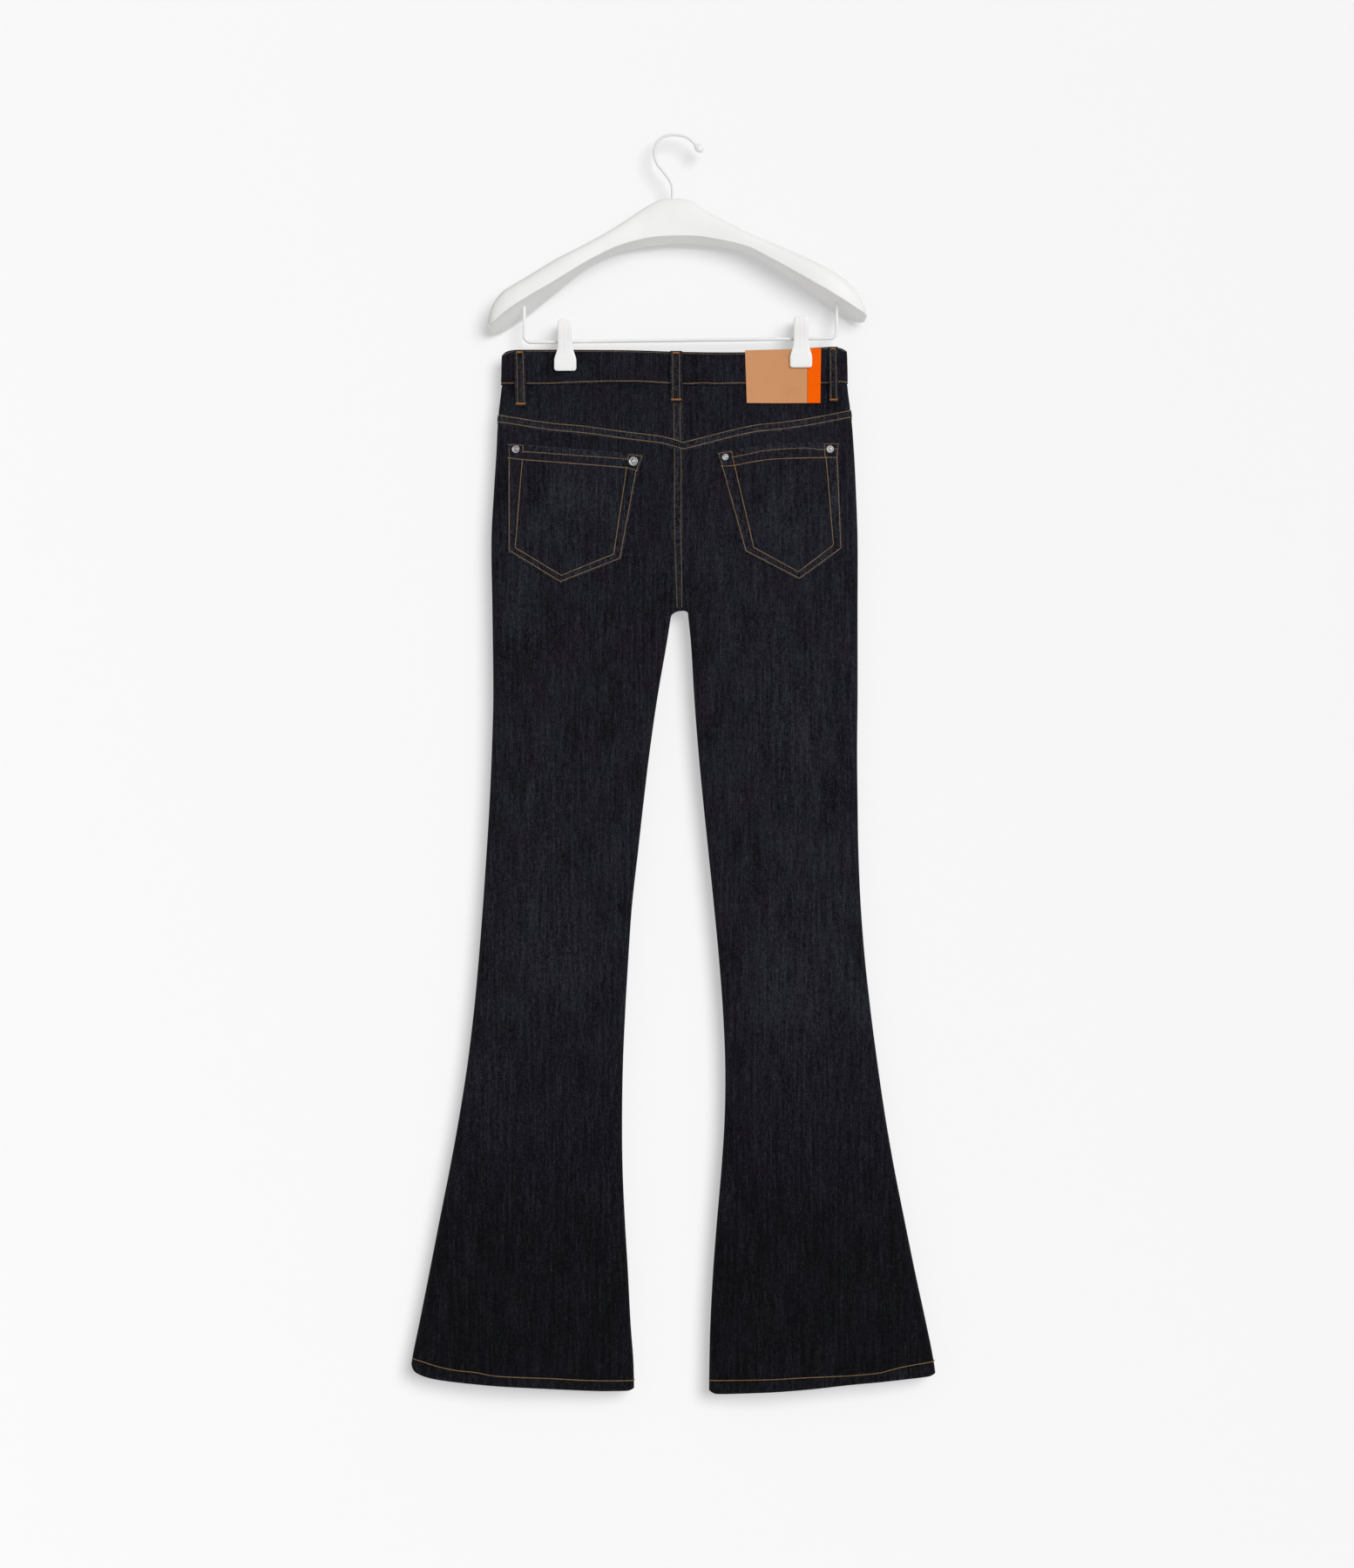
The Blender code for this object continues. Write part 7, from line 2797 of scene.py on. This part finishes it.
@dataclass
class HangerWires:
    """The hook and the bar that carries the clips."""

    body: HangerBody
    hook_route: Table = Table((
        (-4.5, -70.4), (-4.0, -60.0), (-5.0, -53.0), (-9.0, -46.0), (-15.5, -37.5), (-21.0, -30.5),
        (-24.0, -20.0), (-23.0, -12.0), (-20.0, -5.5), (-14.0, -0.7), (-7.0, 1.5), (0.0, 1.65),
        (8.0, 0.5), (14.5, -2.5), (20.5, -8.0), (25.0, -13.0), (30.5, -17.5),
    ))
    hook_wire: float = 1.65
    # Cap at the hook's tip: distance along, half width in the hook's plane, off it
    cap: Table = Table((
        (0.0, 1.65, 1.65), (1.2, 2.4, 1.85), (2.5, 3.4, 2.2), (4.2, 4.1, 2.45), (6.0, 4.3, 2.5),
        (8.0, 4.1, 2.4), (9.8, 3.3, 2.1), (10.9, 2.3, 1.6), (11.6, 1.2, 0.9),
    ))
    bar_wire: float = 1.8
    bar_left: Triple = (-169.0, -192.0, -229.3)
    bar_right: Triple = (178.6, -187.0, -224.8)
    bar_bend: float = 8.0
    steps: int = 8
    sides: int = 20

    def build_hook(self, finishes: Finishes) -> bpy.types.Object:
        """Build the hook with its flattened round cap.

        Args:
            finishes: Finishes that the pieces share.

        Returns:
            The piece.
        """
        route = [Vector((x, 0.0, z)) for x, z in self.hook_route.curve(self.steps)]
        ways = headings(route)
        ways[0] = Vector((0.0, 0.0, 1.0))
        cut = len(route) - 2 * self.steps
        wire = self.hook_wire
        rings = [wire_ring(p, d, wire, wire, self.sides) for p, d in zip(route[:cut], ways[:cut])]
        start, heading = route[cut], ways[cut]
        for ahead, in_plane, off_plane in self.cap.curve(3):
            rings.append(wire_ring(start + heading * ahead, heading, in_plane, off_plane, self.sides))
        piece = loft("enamelled_hook", rings, finishes.of(HOOK_ENAMEL), sharp=60.0)
        return hand_over(piece, "coated_wire", "hanger_hook")

    def bar_route(self) -> list[Vector]:
        """Points along the bar: down the left leg, across and up the right leg.

        Returns:
            A list of points.
        """
        bend, reach = self.bar_bend, (self.bar_bend, self.bar_bend)
        (left_x, left_top, left_foot), (right_x, right_top, right_foot) = self.bar_left, self.bar_right
        route = [(left_x, mix(left_top, left_foot + bend, t)) for t in (0.0, 0.25, 0.5, 0.75)]
        route += arc((left_x + bend, left_foot + bend), reach, 180.0, 270.0, 13)
        across = np.linspace(0.1, 0.9, 17)
        route += [(mix(left_x, right_x, t), mix(left_foot, right_foot, t)) for t in across]
        route += arc((right_x - bend, right_foot + bend), reach, 270.0, 360.0, 13)
        route += [(right_x, mix(right_foot + bend, right_top, t)) for t in (0.25, 0.5, 0.75, 1.0)]
        return [Vector((x, 0.0, z)) for x, z in route]

    def build_bar(self, finishes: Finishes) -> bpy.types.Object:
        """Build the bent wire with its ends under the body.

        Args:
            finishes: Finishes that the pieces share.

        Returns:
            The piece.
        """
        route, wire = self.bar_route(), self.bar_wire
        rings = [wire_ring(p, d, wire, wire, self.sides) for p, d in zip(route, headings(route))]
        for ring in (rings[0], rings[-1]):
            for point in ring:
                point[2] = self.body.underside(point[0], point[1]) + 1.0
        piece = loft("coated_bar", rings, finishes.of(WIRE_COAT), sharp=60.0)
        return hand_over(piece, "coated_wire", "hanger_bar")

    def bar_level(self, x: float) -> float:
        """Level of the bar's middle at a clip."""
        share = (x - self.bar_left[0]) / (self.bar_right[0] - self.bar_left[0])
        return mix(self.bar_left[2], self.bar_right[2], share)


@dataclass
class Clip:
    """Two jaws on the bar with a coil spring between them."""

    side: Leg
    x: float
    top: float
    back_stack: float
    wires: HangerWires
    # Distance below the top: half width, outer face, inner face
    jaw: Table = Table((
        (0.0, 4.6, 11.2, 9.6), (0.7, 6.3, 11.8, 9.6), (1.6, 7.2, 12.2, 9.6), (3.2, 7.9, 12.5, 9.6),
        (5.0, 8.2, 12.6, 9.6), (12.0, 8.4, 12.2, 8.6), (19.0, 8.4, 10.6, 5.8), (24.0, 8.4, 9.2, 4.8),
        (30.0, 8.5, 8.2, 4.6),
    ))
    # The grip: distance below the top, half width, outer face
    grip: Table = Table((
        (34.5, 9.3, 7.8), (37.5, 10.3, 7.8), (41.0, 11.5, 7.9), (44.0, 12.2, 8.1), (46.0, 12.35, 8.2),
        (50.0, 12.4, 8.15), (54.0, 12.35, 7.9), (55.4, 11.95, 7.6), (56.3, 11.3, 7.3), (56.8, 10.2, 7.0),
    ))
    pinched: tuple[float, float] = (1.8, 3.1)
    band_proud: float = 0.8
    grip_gap: float = 0.35
    pad_line: float = 44.3
    groove_depth: float = 0.35
    groove_width: float = 0.55
    rib_height: float = 0.22
    # Rows of a jaw: first and last distance below its top, number of rows
    spans: tuple[tuple[float, float, int], ...] = (
        (0.0, 5.0, 9), (5.0, 42.0, 34), (42.0, 46.6, 17), (46.6, 54.0, 8), (54.0, 56.8, 7),
    )
    # Distances below the top: where the inner face has closed in, where the ribs begin and end
    closed_in: float = 36.0
    ribs_begin: tuple[float, float] = (6.0, 10.0)
    ribs_end: tuple[float, float] = (32.0, 36.0)
    least_wall: float = 2.2
    corner: float = 1.5
    spring_radius: float = 3.35
    spring_length: float = 11.0
    spring_wire: float = 0.5

    def jaw_section(self, down: float, grip_face: float) -> Triple:
        """Half width, outer face and inner face at a distance below the jaw's top.

        Args:
            down: The distance.
            grip_face: Depth of the grip's inner face.

        Returns:
            Three lengths in millimetres.
        """
        neck, grip = self.jaw.rows[-1], self.grip.rows[0]
        if down <= neck[0]:
            return tuple(float(self.jaw.at(down, c)) for c in (1, 2, 3))
        inner = mix(neck[3], grip_face, float(smoothstep(neck[0], self.closed_in, down)))
        if down < grip[0]:
            share = (down - neck[0]) / (grip[0] - neck[0])
            return mix(neck[1], grip[1], share), mix(neck[2], grip[2], share), inner
        return float(self.grip.at(down, 1)), float(self.grip.at(down, 2)), inner

    def jaw_ring(self, down: float, face: Face, grip_face: float) -> Array:
        """Place the points round one jaw.

        Args:
            down: Distance below the jaw's top.
            face: Side of the garment that the jaw lies on.
            grip_face: Depth of the grip's inner face.

        Returns:
            A ring of points.
        """
        half, outer, inner = self.jaw_section(down, grip_face)
        outer = max(outer, inner + self.least_wall)
        r = min(self.corner, half * 0.4)
        shoulder = mix(inner, outer, 0.4)
        points = [(-half, inner), (-half, shoulder), *arc((r - half, outer - r), (r, r), 180.0, 90.0, 6)]
        ribbed = float(smoothstep(*self.ribs_begin, down) * (1.0 - smoothstep(*self.ribs_end, down)))
        for t in np.linspace(-0.82, 0.82, 15):
            rib = self.rib_height * math.cos(t * 3.0 * math.pi) * ribbed
            points.append((t * (half - r), outer + 0.05 + rib * (1.0 - abs(t))))
        points += [*arc((half - r, outer - r), (r, r), 90.0, 0.0, 6), (half, shoulder), (half, inner)]
        groove = self.groove_depth * math.exp(-(((down - self.pad_line) / self.groove_width) ** 2))
        level = self.top - down
        return np.array([
            (self.x + x, face * (y - (groove if y > inner + 1.0 else 0.0)), level) for x, y in points
        ])

    def build(self, finishes: Finishes) -> list[bpy.types.Object]:
        """Build both jaws and hand them to the frame.

        Args:
            finishes: Finishes that the pieces share.

        Returns:
            Both pieces.
        """
        pieces = []
        downs = np.concatenate([np.linspace(start, end, count)[:-1] for start, end, count in self.spans])
        downs = np.append(downs, self.spans[-1][1])
        for face in Face:
            depth = self.pinched[0 if face is Face.BACK else 1] + self.band_proud + self.grip_gap
            depth += self.back_stack if face is Face.BACK else 0.0
            rings = [self.jaw_ring(float(down), face, depth) for down in downs]
            name = f"clip_{self.side.value}_{face.name.lower()}"
            piece = loft(f"plastic_{name}", rings, finishes.of(CLIP_PLASTIC), sharp=50.0)
            pieces.append(hand_over(piece, "clip_plastic", name))
        return pieces

    def build_spring(self, finishes: Finishes) -> bpy.types.Object:
        """Wind the coil spring round the bar.

        Args:
            finishes: Finishes that the pieces share.

        Returns:
            The piece.
        """
        spot = np.array([(self.x, 0.0, self.wires.bar_level(self.x))])
        way = np.array([(0.0, 0.0, 1.0)])
        sizes = {
            "Coil radius": self.spring_radius * METRE,
            "Wire radius": self.spring_wire * METRE,
            "Length": (self.spring_length - 2.0 * self.spring_wire) * METRE,
            "Turns": 8.0,
            "Finish": finishes.of(SPRING_STEEL),
        }
        base = points_mesh("spring_spot", [spot], [way])
        piece = CoilTree().run(f"steel_spring_{self.side.value}", base, sizes)
        return hand_over(piece, "spring_steel", f"clip_{self.side.value}_spring")


# ------------------------------------------------------------- the studio


@dataclass(frozen=True)
class Lamp:
    """A broad soft lamp far away."""

    name: str
    strength: float
    spread: float
    aim: Triple
    for_wall: bool = False

    def hang(self, wall: bpy.types.Object) -> None:
        """Hang the lamp, for the wall alone or for all but the wall.

        Args:
            wall: The wall.

        Returns:
            None.
        """
        data = bpy.data.lights.new(self.name, "SUN")
        data.energy = self.strength
        data.angle = math.radians(self.spread)
        lamp = add_object(self.name, data)
        lamp.rotation_mode = "QUATERNION"
        lamp.rotation_quaternion = Vector(self.aim).to_track_quat("Z", "Y")
        reached = bpy.data.collections.new(f"{self.name}_reach")
        reached.objects.link(wall)
        reached.collection_objects[0].light_linking.link_state = "INCLUDE" if self.for_wall else "EXCLUDE"
        lamp.light_linking.receiver_collection = reached


@dataclass
class Studio:
    """Camera, soft lights, pale floor and pale wall."""

    distance: float = 4.12
    aim: tuple[float, float] = (0.001, -0.7207)
    lens: float = 85.0
    floor_level: float = -1.72
    floor_reach: float = 6.0
    wall_y: float = 0.025
    wall_reach: float = 3.0
    wall_top: float = 1.6
    pale: Colour = (0.90, 0.90, 0.90)
    wall_paint: Colour = (0.10, 0.10, 0.10)
    wall_glow: float = 0.455
    sky_strength: float = 0.50
    lamps: tuple[Lamp, ...] = (
        Lamp("wall_key", 15.6, 32.0, (0.42, -1.0, 0.34), True),
        Lamp("wall_soft", 3.0, 110.0, (0.0, -1.0, 0.0), True),
        Lamp("key", 1.55, 30.0, (0.50, -1.0, 0.42)),
        Lamp("fill", 2.00, 60.0, (-0.2, -0.5, -1.2)),
        Lamp("front_fill", 1.0, 50.0, (0.3, 1.0, 0.4)),
    )

    def set_camera(self) -> None:
        """Stand the camera level with the middle of the garment.

        Returns:
            None.
        """
        data = bpy.data.cameras.new("studio_camera")
        data.lens = self.lens
        data.sensor_width = 36.0
        camera = add_object("studio_camera", data)
        camera.location = (self.aim[0], -self.distance, self.aim[1])
        camera.rotation_euler = (math.pi / 2, 0.0, 0.0)
        bpy.context.scene.camera = camera

    def set_lights(self, wall: bpy.types.Object) -> None:
        """Light from the upper right with soft lamps and an even sky.

        Args:
            wall: The wall.

        Returns:
            None.
        """
        scene = bpy.context.scene
        scene.view_settings.view_transform = "Standard"
        world = bpy.data.worlds.new("even_sky")
        world.use_nodes = True
        background = world.node_tree.nodes["Background"]
        background.inputs["Color"].default_value = (1.0, 1.0, 1.0, 1.0)
        background.inputs["Strength"].default_value = self.sky_strength
        scene.world = world
        for lamp in self.lamps:
            lamp.hang(wall)

    def set_stage(self, finishes: Finishes) -> bpy.types.Object:
        """Lay the floor and stand the wall behind the garment.

        Args:
            finishes: Finishes that the pieces share.

        Returns:
            The wall.
        """
        level, reach = self.floor_level, self.floor_reach
        back, side, top = self.wall_y, self.wall_reach, self.wall_top
        floor = self.plane(
            "floor",
            [(x * reach, y * reach, level) for x, y in ((-1, -1), (1, -1), (1, 1), (-1, 1))],
            finishes.of(BackdropFinish("pale_floor", self.pale)),
        )
        wall = self.plane(
            "wall",
            [(-side, back, level), (side, back, level), (side, back, top), (-side, back, top)],
            finishes.of(BackdropFinish("pale_wall", self.wall_paint, self.wall_glow, one_sided=True)),
        )
        wall.visible_shadow = False
        wall.visible_diffuse = False
        wall.visible_glossy = False
        return wall

    def plane(self, name: str, corners: list[Triple], paint: bpy.types.Material) -> bpy.types.Object:
        """Make one flat face.

        Args:
            name: Name of what is made.
            corners: Its corners, in metres.
            paint: Its finish.

        Returns:
            The object.
        """
        mesh = bpy.data.meshes.new(name)
        mesh.from_pydata(corners, [], [(0, 1, 2, 3)])
        mesh.materials.append(paint)
        return add_object(name, mesh)


# ------------------------------------------------------------------- main


POCKETS = (
    BackPocket(
        Leg.LEFT,
        top=((-187.7, -341.6), (-111.5, -348.6), (-35.2, -355.3)),
        hem=((-186.8, -361.0), (-115.0, -367.5), (-42.3, -374.5)),
        foot=((-187.0, -463.8), (-128.2, -499.3), (-60.5, -472.3)),
        rows=(
            ((-169.3, -351.9), (-53.7, -360.8)),
            ((-186.0, -358.7), (-170.3, -360.8), (-53.7, -370.3), (-44.0, -373.3)),
            (
                (-185.1, -345.3), (-185.1, -360.8), (-184.9, -461.4), (-128.2, -496.4), (-62.4, -470.4),
                (-44.8, -374.4),
            ),
            ((-170.6, -360.8), (-178.3, -458.5), (-127.2, -489.6), (-69.2, -465.9), (-54.9, -370.5)),
        ),
        tabs=(
            ((-185.1, -344.0), (-170.0, -345.2), (-170.0, -352.1)),
            ((-53.6, -360.8), (-52.2, -355.6), (-37.6, -357.2), (-44.4, -373.4)),
        ),
        cut_size=(0.153, 0.158, 0.0192),
    ),
    BackPocket(
        Leg.RIGHT,
        top=((44.7, -352.2), (113.0, -342.2), (181.6, -341.0)),
        hem=((49.8, -371.0), (114.5, -362.0), (179.3, -359.5)),
        foot=((75.0, -463.8), (135.8, -495.8), (184.9, -459.6)),
        rows=(
            (
                (62.5, -358.6), (86.1, -353.7), (97.4, -351.3), (122.9, -349.0), (145.8, -348.2),
                (161.6, -349.8), (177.0, -348.9),
            ),
            ((50.8, -368.3), (64.8, -367.6), (88.4, -363.0), (119.0, -359.9), (177.2, -358.2)),
            (
                (47.4, -354.9), (51.3, -368.6), (77.3, -462.2), (136.4, -492.9), (182.5, -458.8),
                (178.5, -359.9), (179.3, -343.4),
            ),
            ((64.8, -368.1), (85.9, -458.5), (135.4, -485.7), (174.3, -455.6), (166.4, -359.9)),
        ),
        tabs=(
            ((47.4, -354.4), (61.4, -352.2), (62.5, -358.6), (64.6, -367.6)),
            ((165.2, -358.0), (164.6, -343.6), (179.2, -343.2)),
        ),
        cut_size=(0.138, 0.155, 0.0178),
    ),
)

LOOPS = (
    BeltLoop("belt_loop_back_left", Face.BACK, -174.0, -172.6, 6.2, -238.5, -300.9),
    BeltLoop("belt_loop_back_centre", Face.BACK, 0.0, 0.2, 6.6, -240.0, -296.8),
    BeltLoop("belt_loop_back_right", Face.BACK, 174.6, 175.3, 5.2, -234.7, -296.2),
    BeltLoop("belt_loop_front_left", Face.FRONT, -92.0, -92.0, 6.2, -241.6, -300.0),
    BeltLoop("belt_loop_front_right", Face.FRONT, 96.0, 96.0, 6.2, -241.2, -300.0),
)

# The right leg's panels are painted lighter and the left's darker, as side light that falls from the right
PANELS = (
    LegPanel(Leg.LEFT, Face.BACK, (0.272, 1.068, 0.214), dye_and_side_light=0.92),
    LegPanel(Leg.RIGHT, Face.BACK, (0.270, 1.068, 0.207), dye_and_side_light=1.06),
    LegPanel(Leg.LEFT, Face.FRONT, (0.252, 1.120, 0.198), dye_and_side_light=0.92),
    LegPanel(Leg.RIGHT, Face.FRONT, (0.256, 1.120, 0.192), dye_and_side_light=1.06),
)

YOKES = (
    Yoke(Leg.LEFT, (0.216, 0.066, 0.0098)),
    Yoke(Leg.RIGHT, (0.198, 0.064, 0.0084)),
)


def build_garment(finishes: Finishes) -> None:
    """Build every cloth piece, its sewing and the trim on it.

    Args:
        finishes: Finishes that the pieces share.

    Returns:
        None.
    """
    sewing = Sewing(finishes)
    for panel in PANELS:
        panel.build(finishes)
    for yoke in YOKES:
        yoke.build(finishes)
    Waistband().build(finishes)
    for pocket in POCKETS:
        pocket.build(finishes, sewing)
    for leg in Leg:
        PocketFacing(leg).build(finishes)
    for loop in LOOPS:
        loop.build(finishes, sewing)
    WaistPatch().build(finishes)
    trim = Trim()
    trim.build_rivets(finishes)
    trim.build_button(finishes)
    trim.build_zip(finishes)
    seams = Seams(sewing)
    seams.sew_back()
    seams.sew_hems()
    seams.sew_front()
    sewing.sew()


def build_hanger(finishes: Finishes) -> None:
    """Build the hanger with its wires and clips.

    Args:
        finishes: Finishes that the pieces share.

    Returns:
        None.
    """
    body = HangerBody()
    body.build(finishes)
    wires = HangerWires(body)
    wires.build_hook(finishes)
    wires.build_bar(finishes)
    for clip in (
        Clip(Leg.LEFT, -123.2, -204.6, 0.0, wires),
        Clip(Leg.RIGHT, 138.8, -201.0, 1.6, wires),
    ):
        clip.build(finishes)
        clip.build_spring(finishes)


def main() -> None:
    """Build the studio, the garment and the hanger.

    Returns:
        None.
    """
    logging.basicConfig(level=logging.INFO, format="%(message)s")
    finishes = Finishes()
    studio = Studio()
    studio.set_camera()
    studio.set_lights(studio.set_stage(finishes))
    build_garment(finishes)
    build_hanger(finishes)


if __name__ == "__main__":
    main()
